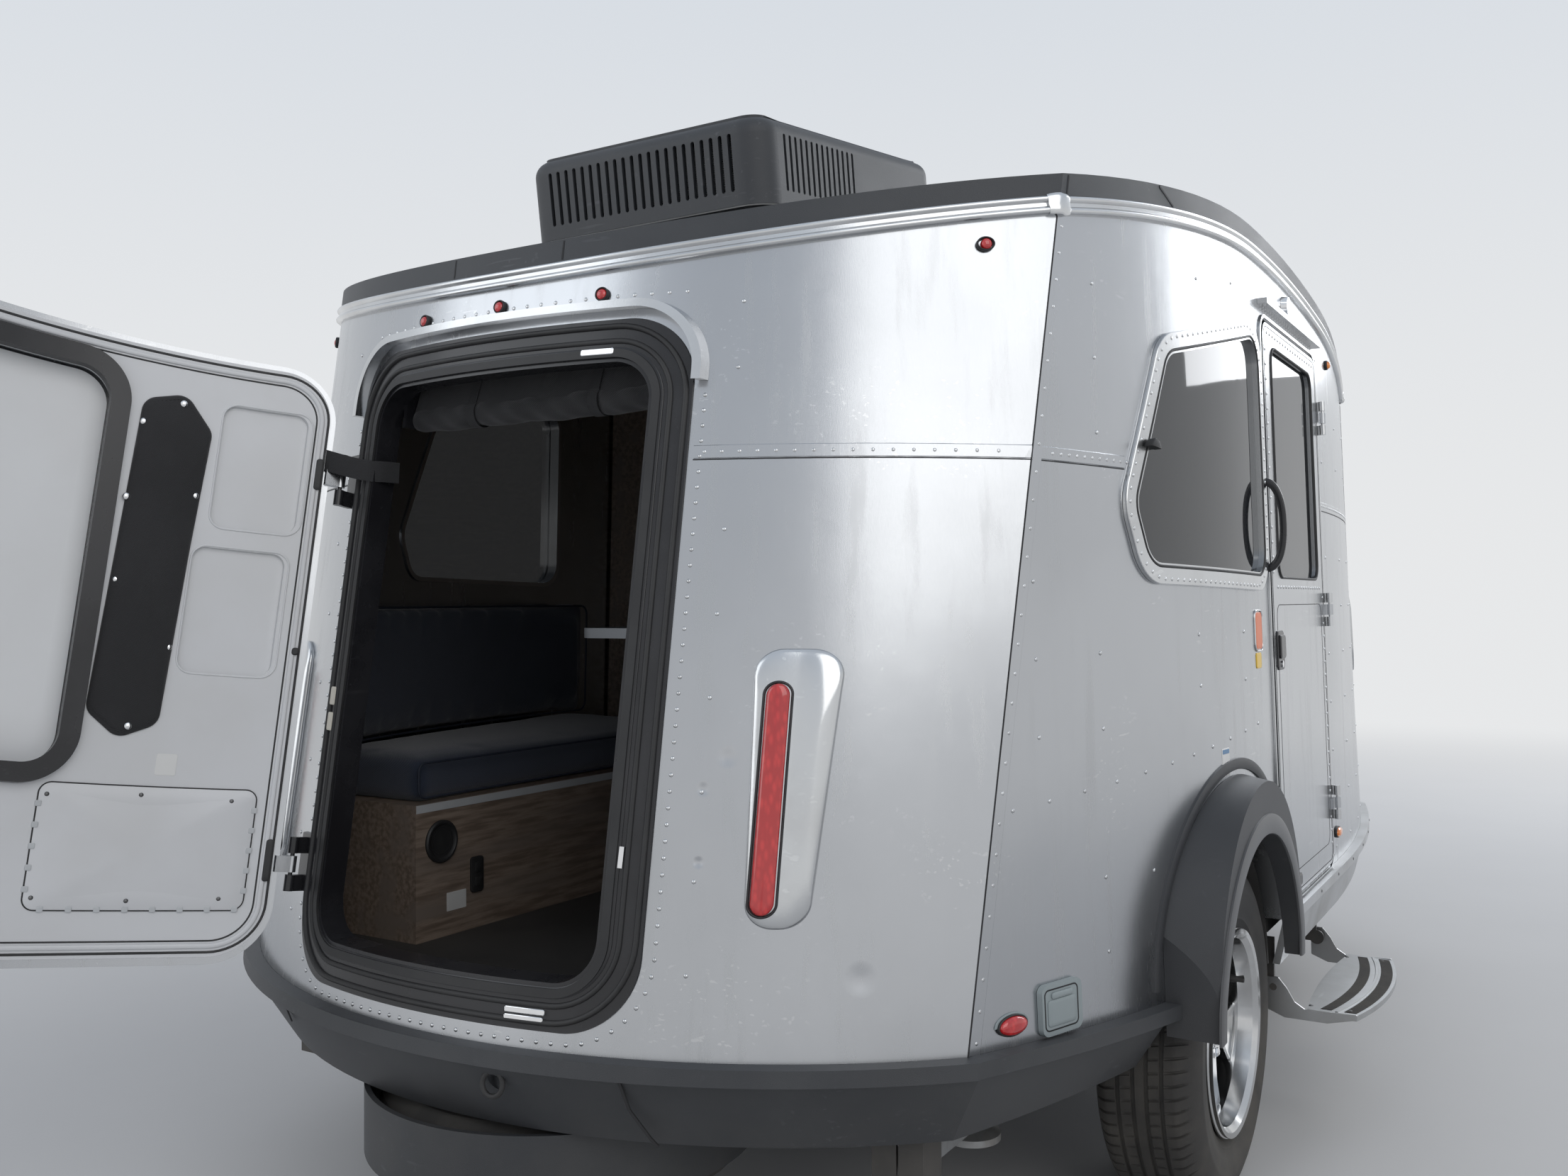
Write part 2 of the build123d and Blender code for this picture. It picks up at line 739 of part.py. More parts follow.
# Coupler and tongue jack
with BuildPart() as coupler:
    with Locations((COUPLER_X, 0, 465)):
        Cylinder(46, 70)
    fillet(coupler.edges().group_by(Axis.Z)[-1], 14)
    with Locations(((COUPLER_BACK + COUPLER_X - 20) / 2, 0, 465)):
        Box(COUPLER_X - 20 - COUPLER_BACK, 72, 70)
    with Locations((COUPLER_BACK + 30, 0, RAIL_TOP + 5)):
        Box(80, 200, 10)
    with Locations((4780, 0, 512)):
        Box(90, 28, 26)
    with Locations((COUPLER_X, 0, 441)):
        Cylinder(BALL_POCKET, 22, mode=Mode.SUBTRACT)
    with Locations((COUPLER_X, 0, COUPLER_Z)):
        Sphere(BALL_POCKET, mode=Mode.SUBTRACT)
save(coupler.part, "coupler")

with BuildPart() as tongue_jack_body:
    with Locations((JACK_X, 0, 560)):
        Cylinder(JACK_TUBE, 460)
    with Locations((JACK_X, 0, RAIL_TOP + 4)):
        Box(120, 120, 8)
    with Locations((JACK_X, 0, 805)):
        Cylinder(36, 30)
    with Locations(Location((JACK_X, 66, 805), (90, 0, 0))):
        Cylinder(9, 80)
    with Locations((JACK_X, 112, 850)):
        Box(20, 12, 110)
    with Locations(Location((JACK_X, 150, 890), (90, 0, 0))):
        Cylinder(13, 80)
    with Locations((JACK_X, 0, 555)):
        Cylinder(JACK_LEG + RUNNING, 470, mode=Mode.SUBTRACT)
save(tongue_jack_body.part, "tongue_jack_body")

with BuildPart() as tongue_jack_leg:
    with Locations((JACK_X, 0, 265)):
        Cylinder(JACK_LEG, 470)
    with Locations((JACK_X, 0, 22)):
        Cone(75, JACK_LEG, 24)
    with Locations((JACK_X, 0, 5)):
        Cylinder(75, 10)
save(tongue_jack_leg.part, "tongue_jack_leg")

# Closed gas locker standing on the drawbar
with BuildPart() as gas_locker:
    with BuildSketch(Plane.XY.offset(RAIL_TOP)):
        with Locations((LOCKER_X, 0)):
            RectangleRounded(LOCKER_LONG, LOCKER_WIDE, 90)
    extrude(amount=LOCKER_TOP - RAIL_TOP)
    fillet(gas_locker.faces().sort_by(Axis.Z)[-1].edges(), 50)
    offset(amount=-8, openings=gas_locker.faces().sort_by(Axis.Z)[0])
    with Locations((LOCKER_X, 0, RAIL_TOP + 6)):
        Box(LOCKER_LONG - 40, LOCKER_WIDE - 8, 8)
    with Locations((LOCKER_X, 0, RAIL_TOP + 6)):
        Box(LOCKER_LONG - 8, LOCKER_WIDE - 40, 8)
save(gas_locker.part, "gas_locker")


# Wheels: axle tube, trailing arms, spindles and drums stand still, hubs turn
with BuildPart() as axle:
    with Locations((AXLE_X, 0, 343)):
        Box(70, 1546, 70)
    for side in (-1, 1):
        with Locations((AXLE_X, side * RAIL_Y, 378.5)):
            Box(110, 56, 1)
        with Locations(((AXLE_X + WHEEL_X) / 2, side * 782, WHEEL_Z)):
            Box(WHEEL_X - AXLE_X + 70, 25, 70)
        with Locations(Location((WHEEL_X, side * 850, WHEEL_Z), (90, 0, 0))):
            Cylinder(SPINDLE_RADIUS, 240)
        with Locations(Location((WHEEL_X, side * 858, WHEEL_Z), (90, 0, 0))):
            Cylinder(118, 40)
        with Locations(Location((WHEEL_X, side * 815, WHEEL_Z), (90, 0, 0))):
            Cylinder(40, 60)
save(axle.part, "axle")


def wheel_turned(profile):
    """Right wheel ring turned from radius and offset pairs; offsets run toward the vehicle."""
    with BuildPart() as ring:
        with BuildSketch(Plane.XY):
            with BuildLine():
                Polyline(*[(radius, shift - WHEEL_Y) for radius, shift in profile], close=True)
            make_face()
        revolve(axis=Axis.Y)
    return ring.part.translate((WHEEL_X, 0, WHEEL_Z))


def spoke_face(offset_y, root, tip):
    """One petal shaped spoke outline, widest at its outer end."""
    with BuildSketch(Plane.XZ.offset(offset_y)) as face:
        with BuildLine():
            Polyline((30, -root), (112, -root - 14), (173, -tip), (173, tip), (112, root + 14), (30, root), close=True)
        make_face()
    return face.sketch


TYRE_PROFILE = [
    (RIM_RADIUS + 0.5, 60), (RIM_RADIUS + 0.5, -60), (196, -76), (212, -86), (262, -102), (290, -100),
    (330, -84), (TYRE_RADIUS, -66), (TYRE_RADIUS, 66), (330, 84), (290, 100), (262, 102), (212, 86), (196, 76),
]
RIM_PROFILE = [
    (RIM_RADIUS, -62), (RIM_RADIUS, 62), (195, 80), (206, 92), (206, 97), (194, 93), (182, 70),
    (180, -60), (186, -90), (196, -100), (206, -102), (206, -94), (195, -80),
]

tyre_right = wheel_turned(TYRE_PROFILE)
save(tyre_right, "tyre_right")
save(tyre_right.mirror(Plane.XZ), "tyre_left")

with BuildPart() as spoke:
    extrude(to_extrude=spoke_face(WHEEL_Y + 34, 20, 62), amount=18, dir=(0, -1, 0))
    fillet(spoke.edges().filter_by(Axis.Y), 8)
    fillet(spoke.faces().sort_by(Axis.Y)[0].edges(), 6)

with BuildPart() as rim_right:
    add(wheel_turned(RIM_PROFILE))
    for turn in range(5):
        petal = spoke.part.rotate(Axis.Y, 18 + 72 * turn)
        add(petal.translate((WHEEL_X, 0, WHEEL_Z)))
    with Locations(Location((WHEEL_X, -950, WHEEL_Z), (90, 0, 0))):
        Cylinder(62, 100)
    with Locations(Location((WHEEL_X, -1004, WHEEL_Z), (90, 0, 0))):
        Cylinder(33, 20)
    with Locations(Location((WHEEL_X, -937.5, WHEEL_Z), (90, 0, 0))):
        Cylinder(SPINDLE_RADIUS + RUNNING, 75, mode=Mode.SUBTRACT)
save(rim_right.part, "rim_right")
save(rim_right.part.mirror(Plane.XZ), "rim_left")

# Spare wheel slung flat under the tail, with its drum shroud
SPARE_X = 370
SPARE_TOP = 355
SPARE_PROFILE = [(188, 20), (188, 150), (262, 170), (300, 168), (332, 150), (340, 130), (340, 40), (332, 20), (300, 2), (262, 0)]

with BuildPart() as spare_tyre:
    with BuildSketch(Plane.XZ):
        with BuildLine():
            Polyline(*[(radius, SPARE_TOP - drop) for radius, drop in SPARE_PROFILE], close=True)
        make_face()
    revolve(axis=Axis.Z)
save(spare_tyre.part.translate((SPARE_X, 0, 0)), "spare_tyre")

with BuildPart() as spare_wheel:
    with Locations((SPARE_X, 0, SPARE_TOP - 85)):
        Cylinder(187.5, 130)
    with Locations((SPARE_X, 0, SPARE_TOP - 134)):
        Cylinder(172, 70, mode=Mode.SUBTRACT)
    with Locations((SPARE_X, 0, SPARE_TOP - 37)):
        Cylinder(172, 74, mode=Mode.SUBTRACT)
    with Locations((SPARE_X, 0, SPARE_TOP - 86)):
        with PolarLocations(125, 8):
            Cylinder(22, 40, mode=Mode.SUBTRACT)
save(spare_wheel.part, "spare_wheel")

with BuildPart() as spare_shroud:
    with Locations((SPARE_X, 0, 296)):
        Cylinder(366, 122)
    with Locations((SPARE_X, 0, 296)):
        Cylinder(356, 130, mode=Mode.SUBTRACT)
    with Locations((SPARE_X, 0, 357.3)):
        Box(60, 720, 4)
    with Locations((SPARE_X, 0, 370.5)):
        Box(50, 60, 27)
    for strap_y in (-RAIL_Y, RAIL_Y):
        with Locations((SPARE_X, strap_y * 0.82, 357.3)):
            Box(60, 260, 4)
        with Locations((SPARE_X, strap_y, 367)):
            Box(60, 40, 24)
save(spare_shroud.part, "spare_shroud")

# Roof air unit: gasket, ribbed core and slotted cover, nose up
UNIT_X = 617
UNIT_Z = 2012
UNIT_LONG = 800
UNIT_WIDE = 610
UNIT_HIGH = 172
UNIT_TILT_DEG = 8
UNIT_RADIUS = 62
UNIT_WALL = 10
SLOT_PITCH = 22
SLOT_WIDE = 9
REAR_SLOTS = 22
SIDE_SLOTS = 14
UNIT_PLANE = Plane(
    origin=(UNIT_X, 0, UNIT_Z),
    x_dir=(math.cos(math.radians(UNIT_TILT_DEG)), 0, math.sin(math.radians(UNIT_TILT_DEG))),
    z_dir=(-math.sin(math.radians(UNIT_TILT_DEG)), 0, math.cos(math.radians(UNIT_TILT_DEG))),
)


def unit_block(inset, low, high, radius):
    """Rounded block in the tilted frame of the roof unit."""
    with BuildPart() as block:
        with BuildSketch(UNIT_PLANE.offset(low)) as face:
            with Locations((UNIT_LONG / 2, 0)):
                RectangleRounded(UNIT_LONG - 2 * inset, UNIT_WIDE - 2 * inset, radius)
        extrude(amount=high - low)
    return block.part


with BuildPart() as unit_shell:
    add(unit_block(0, 0, UNIT_HIGH, UNIT_RADIUS))
    fillet(unit_shell.faces().sort_by(Axis(UNIT_PLANE.origin, UNIT_PLANE.z_dir))[-1].edges(), 34)

with BuildPart() as roof_unit_cover:
    add(unit_shell.part)
    add(unit_block(UNIT_WALL, -5, UNIT_HIGH - UNIT_WALL, UNIT_RADIUS - UNIT_WALL), mode=Mode.SUBTRACT)
    with BuildSketch(Plane(origin=UNIT_PLANE.origin - UNIT_PLANE.x_dir * 20, x_dir=(0, -1, 0), z_dir=-UNIT_PLANE.x_dir)):
        with Locations((0, 84)):
            with GridLocations(SLOT_PITCH, 1, REAR_SLOTS, 1):
                SlotOverall(112, SLOT_WIDE, rotation=90)
    extrude(amount=-60, mode=Mode.SUBTRACT)
    slot_side = Plane(
        origin=UNIT_PLANE.origin - UNIT_PLANE.y_dir * (UNIT_WIDE / 2 + 20),
        x_dir=UNIT_PLANE.x_dir,
        z_dir=-UNIT_PLANE.y_dir,
    )
    with BuildSketch(slot_side):
        with Locations((UNIT_LONG * 0.29, 84)):
            with GridLocations(SLOT_PITCH, 1, SIDE_SLOTS, 1):
                SlotOverall(112, SLOT_WIDE, rotation=90)
    extrude(amount=-(UNIT_WIDE + 40), mode=Mode.SUBTRACT)
save(roof_unit_cover.part, "roof_unit_cover")

with BuildPart() as unit_gasket:
    add(unit_block(30, -80, -6, 50))
    add(dome(ROOF_TOP + SKIN_GAP), mode=Mode.SUBTRACT)

with BuildPart() as roof_unit_core:
    add(unit_block(48, -6, UNIT_HIGH - UNIT_WALL, 30))
    add(unit_gasket.part)
save(roof_unit_core.part, "roof_unit_core")

with BuildPart() as roof_vent:
    with BuildSketch(Plane.XY.offset(2000)):
        with Locations((2050, 0)):
            RectangleRounded(420, 420, 40)
    extrude(amount=200)
    add(dome(ROOF_TOP + 62), mode=Mode.INTERSECT)
    add(dome(ROOF_TOP + SKIN_GAP), mode=Mode.SUBTRACT)
save(roof_vent.part, "roof_vent")


# Rear hatch surround, hatch leaf and hinges
def hinge_x(z):
    """Position of the hatch hinge line at a height; it leans with the rear wall."""
    reach = math.sqrt((REAR_RADIUS + HINGE_OUT) ** 2 - HINGE_Y**2)
    return (z - BODY_BASE) * REAR_LEAN + REAR_RADIUS - reach


def hinge_plane(z):
    """Frame on the hatch hinge line: X inward, Y left, Z up along the line."""
    return Plane(origin=(hinge_x(z), HINGE_Y, z), x_dir=(1, 0, -REAR_LEAN), z_dir=(REAR_LEAN, 0, 1))


def hinge_box(z, x_range, y_range, z_range):
    """Box placed in the hinge frame."""
    with BuildPart() as block:
        with Locations(hinge_plane(z)):
            with Locations((sum(x_range) / 2, sum(y_range) / 2, sum(z_range) / 2)):
                Box(x_range[1] - x_range[0], y_range[1] - y_range[0], z_range[1] - z_range[0])
    return block.part


def hinge_rod(z, radius, z_range):
    with BuildPart() as rod:
        with Locations(hinge_plane(z)):
            with Locations((0, 0, sum(z_range) / 2)):
                Cylinder(radius, z_range[1] - z_range[0])
    return rod.part


def hatch_window_prism(grow):
    left, right, base, top = HATCH_WINDOW
    return rear_window(left - grow, right + grow, base - grow, top + grow, 60 + grow, -400, 560)


HATCH_AXIS = Axis((hinge_x(HINGE_HEIGHTS[0]), HINGE_Y, HINGE_HEIGHTS[0]), (REAR_LEAN, 0, 1))


def opened(part):
    """Part of the closed hatch swung to its parked open place."""
    return part.rotate(HATCH_AXIS, -HATCH_OPEN_DEG)


with BuildPart() as frame_flange:
    add(shell(-4, -SKIN_GAP))
    add(rear_prism(FRAME_HALF, FRAME_BASE, FRAME_TOP, FRAME_RADIUS), mode=Mode.INTERSECT)

with BuildPart() as frame_sleeve:
    add(shell(-4, 46))
    add(rear_prism(FRAME_HALF - 22.4, FRAME_BASE + 22.4, FRAME_TOP - 22.4, FRAME_RADIUS - 22.4), mode=Mode.INTERSECT)

with BuildPart() as hatch_frame:
    add(frame_flange.part)
    add(frame_sleeve.part)
    add(rear_prism(OPENING_HALF, OPENING_BASE, OPENING_TOP, OPENING_RADIUS), mode=Mode.SUBTRACT)
    for height in HINGE_HEIGHTS:
        add(shell(-7, -SKIN_GAP) & rear_window(HINGE_Y - 20, HINGE_Y + 22, height - 52, height + 52, 4))
        for low, high in ((-50, -20), (20, 50)):
            add(hinge_box(height, (0, HINGE_OUT - 3), (-6, 6), (low, high)))
            add(hinge_rod(height, 9, (low, high)))
        add(hinge_rod(height, HINGE_PIN, (-48, 48)))
save(hatch_frame.part, "hatch_frame")

with BuildPart() as hatch_seal:
    add(shell(-9, -4))
    add(rear_prism(OPENING_HALF + 22, OPENING_BASE - 22, OPENING_TOP + 22, OPENING_RADIUS + 22), mode=Mode.INTERSECT)
    add(rear_prism(OPENING_HALF + 8, OPENING_BASE - 8, OPENING_TOP + 8, OPENING_RADIUS + 8), mode=Mode.SUBTRACT)
save(hatch_seal.part, "hatch_seal")

with BuildPart() as hatch_skin:
    add(shell(-46, -26))
    add(rear_prism(HATCH_HALF, HATCH_BASE, HATCH_TOP, HATCH_RADIUS), mode=Mode.INTERSECT)
    add(hatch_window_prism(0), mode=Mode.SUBTRACT)
    for height in HINGE_HEIGHTS:
        add(hinge_box(height, (-8, 8), (-32, 0), (-15, 15)))
        add(hinge_rod(height, 9, (-15, 15)))
        add(hinge_rod(height, HINGE_PIN + RUNNING, (-40, 40)), mode=Mode.SUBTRACT)
save(opened(hatch_skin.part), "hatch_door")

with BuildPart() as hatch_liner:
    add(shell(-26, -14))
    add(rear_prism(HATCH_HALF - 14, HATCH_BASE + 14, HATCH_TOP - 14, HATCH_RADIUS - 14), mode=Mode.INTERSECT)
    for pocket in LINER_POCKETS:
        left, right, base, top = pocket
        add(shell(-22, 0) & rear_window(left, right, base, top, 24), mode=Mode.SUBTRACT)
    add(hatch_window_prism(0), mode=Mode.SUBTRACT)
save(opened(hatch_liner.part), "hatch_liner")

with BuildPart() as hatch_window:
    add(shell(-44, -38))
    add(hatch_window_prism(-SKIN_GAP), mode=Mode.INTERSECT)
save(opened(hatch_window.part), "hatch_window")

with BuildPart() as hatch_window_frame:
    add(shell(-14 + SKIN_GAP, 2))
    add(hatch_window_prism(30), mode=Mode.INTERSECT)
    add(hatch_window_prism(-4), mode=Mode.SUBTRACT)
save(opened(hatch_window_frame.part), "hatch_window_frame")

# Aluminium drip caps over the hatch and the entry door
with BuildPart() as door_cap:
    add(shell(-22, -SKIN_GAP))
    add(
        side_prism([(DOOR_REAR - 12, 1899), (DOOR_FRONT + 18, 1899), (DOOR_FRONT + 18, 1912), (DOOR_REAR - 12, 1912)]),
        mode=Mode.INTERSECT,
    )

with BuildPart() as drip_caps:
    add(shell(-24, -SKIN_GAP))
    add(rear_window(-420, 420, 1350, 1746, 126), mode=Mode.INTERSECT)
    add(rear_window(-405, 405, 1200, 1732, 112), mode=Mode.SUBTRACT)
    add(slab((-300, -600, 1600), (700, 600, 1800)), mode=Mode.INTERSECT)
    add(door_cap.part)
save(drip_caps.part, "drip_caps")

# Fabric pouch on the hatch lining
with BuildPart() as hatch_cover:
    add(shell(-14 + SKIN_GAP, -2))
    add(rear_polygon([(38, 1000), (90, 958), (148, 985), (158, 1300), (168, 1520), (120, 1580), (56, 1560)], 24), mode=Mode.INTERSECT)
save(opened(hatch_cover.part), "hatch_cover")

# Screen roller inside the hatch opening
with BuildPart() as rolled_screen:
    with Locations(Location((SCREEN_X, 0, 1592), (90, 0, 0))):
        Cylinder(27, 2 * SCREEN_HALF)
    for bracket_y in (-SCREEN_HALF, SCREEN_HALF):
        add(shell(46 + SKIN_GAP, 96) & rear_window(bracket_y - 5, bracket_y + 5, 1572, 1684, 4))
save(rolled_screen.part, "rolled_screen")


# Side windows: outer ring with sleeve through the wall, and glass
def ring_and_sleeve(left):
    with BuildPart() as flange:
        add(shell(-8, -SKIN_GAP))
        add(window_prism(RING, left), mode=Mode.INTERSECT)
    with BuildPart() as sleeve:
        add(shell(-8, WALL + 4))
        add(window_prism(5.7, left), mode=Mode.INTERSECT)
    with BuildPart() as ring:
        add(flange.part)
        add(sleeve.part)
        add(window_prism(-6, left), mode=Mode.SUBTRACT)
    return ring.part


def window_pane(left):
    with BuildPart() as pane:
        add(shell(4, 10))
        add(window_prism(-6.3, left), mode=Mode.INTERSECT)
    return pane.part


with BuildPart() as front_openings:
    for angle, width in FRONT_WINDOWS:
        add(front_prism(angle, width, 5.7))
    add(shell(-7, WALL + 4), mode=Mode.INTERSECT)

with BuildPart() as front_flanges:
    for angle, width in FRONT_WINDOWS:
        add(front_prism(angle, width, 26))
    add(shell(-7, -SKIN_GAP), mode=Mode.INTERSECT)

with BuildPart() as window_frames:
    add(front_openings.part)
    add(front_flanges.part)
    for angle, width in FRONT_WINDOWS:
        add(front_prism(angle, width, -6), mode=Mode.SUBTRACT)
    add(ring_and_sleeve(False))
    add(ring_and_sleeve(True))
save(window_frames.part, "window_frames")

with BuildPart() as window_glass:
    for angle, width in FRONT_WINDOWS:
        add(front_prism(angle, width, -6.3))
    add(shell(4, 10), mode=Mode.INTERSECT)
    add(window_pane(False))
    add(window_pane(True))
save(window_glass.part, "window_glass")


# Entry door on leaning hinges, its glass, frame and fittings
def door_hinge_plane(z):
    """Frame on the door hinge line: X forward, Y inward, Z up along the line."""
    out_y = BODY_WIDTH / 2 - (z - BODY_BASE) * SIDE_LEAN + DOOR_HINGE_OUT
    return Plane(origin=(DOOR_HINGE_X, -out_y, z), x_dir=(1, 0, 0), z_dir=(0, SIDE_LEAN, 1))


def door_box(z, x_range, y_range, z_range):
    with BuildPart() as block:
        with Locations(door_hinge_plane(z)):
            with Locations((sum(x_range) / 2, sum(y_range) / 2, sum(z_range) / 2)):
                Box(x_range[1] - x_range[0], y_range[1] - y_range[0], z_range[1] - z_range[0])
    return block.part


def door_rod(z, radius, z_range):
    with BuildPart() as rod:
        with Locations(door_hinge_plane(z)):
            with Locations((0, 0, sum(z_range) / 2)):
                Cylinder(radius, z_range[1] - z_range[0])
    return rod.part


def glass_prism(grow, radius):
    rear, front, base, top = DOOR_GLASS
    return side_prism(
        [(rear - grow, base - grow), (front + grow, base - grow), (front + grow, top + grow), (rear - grow, top + grow)],
        radius=radius,
    )


with BuildPart() as entry_door:
    add(shell(-DOOR_PROUD, DOOR_THICK - DOOR_PROUD))
    add(door_prism(0, 40), mode=Mode.INTERSECT)
    add(glass_prism(0, 42), mode=Mode.SUBTRACT)
    for height in DOOR_HINGE_HEIGHTS:
        add(door_box(height, (-42, -12), (3, 16), (-14, 14)))
        add(door_box(height, (-16, 0), (3, 11), (-14, 14)))
        add(door_rod(height, 8, (-14, 14)))
        add(door_rod(height, HINGE_PIN + RUNNING, (-30, 30)), mode=Mode.SUBTRACT)
save(entry_door.part, "entry_door")

with BuildPart() as entry_door_glass:
    add(shell(2, 8))
    add(glass_prism(-SKIN_GAP, 42), mode=Mode.INTERSECT)
save(entry_door_glass.part, "entry_door_glass")

with BuildPart() as entry_door_frame:
    add(shell(-5, -SKIN_GAP))
    add(door_prism(DOOR_GAP + 10, 58), mode=Mode.INTERSECT)
    add(door_prism(DOOR_GAP + 2.5, 50), mode=Mode.SUBTRACT)
    with Locations(Location((WHEEL_X, -1000, FLARE_Z), (90, 0, 0))):
        Cylinder(DOOR_NOTCH + 10, 800, mode=Mode.SUBTRACT)
    add(slab((1000, -1300, 200), (3000, 0, 523)), mode=Mode.SUBTRACT)
    for height in DOOR_HINGE_HEIGHTS:
        for low, high in ((-44, -19), (19, 44)):
            add(door_box(height, (0, 12), (4, 17), (low, high)))
            add(door_rod(height, 8, (low, high)))
        add(door_rod(height, HINGE_PIN, (-42, 42)))
save(entry_door_frame.part, "entry_door_frame")

def handle_post(low, high):
    with BuildPart() as post:
        add(shell(-52, -SKIN_GAP))
        add(
            side_prism([(HANDLE_X - 7, low), (HANDLE_X + 7, low), (HANDLE_X + 7, high), (HANDLE_X - 7, high)], radius=5),
            mode=Mode.INTERSECT,
        )
    return post.part


with BuildPart() as entry_grab_handle:
    add(shell(-62, -46))
    add(
        side_prism([(HANDLE_X - 7, 1290), (HANDLE_X + 7, 1290), (HANDLE_X + 7, 1500), (HANDLE_X - 7, 1500)], radius=5),
        mode=Mode.INTERSECT,
    )
    add(handle_post(1290, 1322))
    add(handle_post(1468, 1500))
save(entry_grab_handle.part, "entry_grab_handle")

# Lamps
BEZEL = [(-528, 1152), (-658, 1152), (-632, 716), (-543, 716)]
LAMP_SLOT = (-585, -549, 738, 1095)

with BuildPart() as bezel_right:
    add(shell(-16, -SKIN_GAP))
    add(rear_polygon(BEZEL, 42), mode=Mode.INTERSECT)
    add(rear_window(*LAMP_SLOT, 17.9), mode=Mode.SUBTRACT)

with BuildPart() as tail_light_bezels:
    add(bezel_right.part)
    mirror(about=Plane.XZ)
save(tail_light_bezels.part, "tail_light_bezels")

with BuildPart() as tail_lamp_right:
    add(shell(-12, -SKIN_GAP))
    add(rear_window(LAMP_SLOT[0] + SKIN_GAP, LAMP_SLOT[1] - SKIN_GAP, LAMP_SLOT[2] + SKIN_GAP, LAMP_SLOT[3] - SKIN_GAP, 17.6), mode=Mode.INTERSECT)

with BuildPart() as corner_lamp_right:
    add(shell(-20, -SKIN_GAP))
    add(side_prism([(501, 1819), (525, 1819), (525, 1843), (501, 1843)], near=600, radius=11.5), mode=Mode.INTERSECT)

with BuildPart() as side_lamp_right:
    add(shell(-16, -SKIN_GAP))
    add(side_prism([(406, 533), (466, 533), (466, 559), (406, 559)], near=600, radius=12), mode=Mode.INTERSECT)

with BuildPart() as front_side_lamp_right:
    add(shell(-16, -SKIN_GAP))
    add(side_prism([(2266, 585), (2326, 585), (2326, 611), (2266, 611)], near=600, radius=12), mode=Mode.INTERSECT)

with BuildPart() as front_top_lamp_right:
    add(shell(-20, -SKIN_GAP))
    add(side_prism([(2409, 1872), (2433, 1872), (2433, 1896), (2409, 1896)], near=600, radius=11.5), mode=Mode.INTERSECT)

with BuildPart() as lamp_lenses:
    add(tail_lamp_right.part)
    add(corner_lamp_right.part)
    add(side_lamp_right.part)
    add(front_side_lamp_right.part)
    add(front_top_lamp_right.part)
    mirror(about=Plane.XZ)
    for lamp_y in ID_LAMPS:
        add(shell(-16, -SKIN_GAP) & rear_window(
            lamp_y - LAMP_RADIUS, lamp_y + LAMP_RADIUS, ID_LAMP_Z - LAMP_RADIUS, ID_LAMP_Z + LAMP_RADIUS, LAMP_RADIUS - 0.5
        ))
save(lamp_lenses.part, "lamp_lenses")

with BuildPart() as porch_light:
    with Locations(Location((1850, -1024, 1944), (90, 0, 0))):
        Cone(30, 22, 30)
    add(hull(-SKIN_GAP), mode=Mode.SUBTRACT)
save(porch_light.part, "porch_light")

with BuildPart() as power_inlet:
    add(shell(-9, -SKIN_GAP))
    add(side_prism([(496, 512), (595, 512), (595, 596), (496, 596)], near=600, radius=14), mode=Mode.INTERSECT)
save(power_inlet.part, "power_inlet")


# Cabin furniture: two side benches, washroom cell and front galley
FURNITURE = hull(WALL + 8)

with BuildPart() as cabin_furniture:
    for side in (-1, 1):
        front_y = side * (SEAT_FRONT + BOARD / 2)
        with Locations(((SEAT_REAR_X + SEAT_END_X) / 2, front_y, (FLOOR_TOP + SEAT_TOP) / 2)):
            Box(SEAT_END_X - SEAT_REAR_X, BOARD, SEAT_TOP - FLOOR_TOP)
        with Locations(((SEAT_REAR_X + SEAT_END_X) / 2, side * (SEAT_FRONT + 400), SEAT_TOP - BOARD / 2)):
            Box(SEAT_END_X - SEAT_REAR_X, 800, BOARD)
        for end_x in (SEAT_REAR_X + BOARD / 2, SEAT_END_X - BOARD / 2):
            with Locations((end_x, side * (SEAT_FRONT + 170), (FLOOR_TOP + SEAT_TOP) / 2)):
                Box(BOARD, 340, SEAT_TOP - FLOOR_TOP)
    for wall_x in (WASH_REAR, WASH_FRONT):
        with Locations((wall_x, (WASH_SIDE + 1100) / 2, (FLOOR_TOP + WASH_TOP) / 2)):
            Box(BOARD, 1100 - WASH_SIDE, WASH_TOP - FLOOR_TOP)
    with Locations(((WASH_REAR + WASH_FRONT) / 2, WASH_SIDE, (FLOOR_TOP + WASH_TOP) / 2)):
        Box(WASH_FRONT - WASH_REAR + BOARD, BOARD, WASH_TOP - FLOOR_TOP)
    with Locations(((WASH_REAR + WASH_FRONT) / 2, WASH_SIDE, 1200)):
        Box(540, 60, 1260, mode=Mode.SUBTRACT)
    with Locations(((GALLEY_X + 3800) / 2, 0, GALLEY_TOP - 15)):
        Box(3800 - GALLEY_X, 1900, 30)
    with Locations((GALLEY_X + 30 + BOARD / 2, 0, (FLOOR_TOP + GALLEY_TOP) / 2)):
        Box(BOARD, 1900, GALLEY_TOP - FLOOR_TOP)
    with Locations((GALLEY_X + 260, -330, GALLEY_TOP)):
        Box(300, 360, 24, mode=Mode.SUBTRACT)
    add(FURNITURE, mode=Mode.INTERSECT)
save(cabin_furniture.part, "cabin_furniture")

# Seat pads with bolsters along the walls
with BuildPart() as seat_pads:
    for side in (-1, 1):
        with Locations(((SEAT_REAR_X + SEAT_END_X) / 2, side * (SEAT_FRONT + 400), SEAT_TOP + PAD_HIGH / 2)):
            Box(SEAT_END_X - SEAT_REAR_X - 20, 780, PAD_HIGH)
    add(hull(60), mode=Mode.INTERSECT)

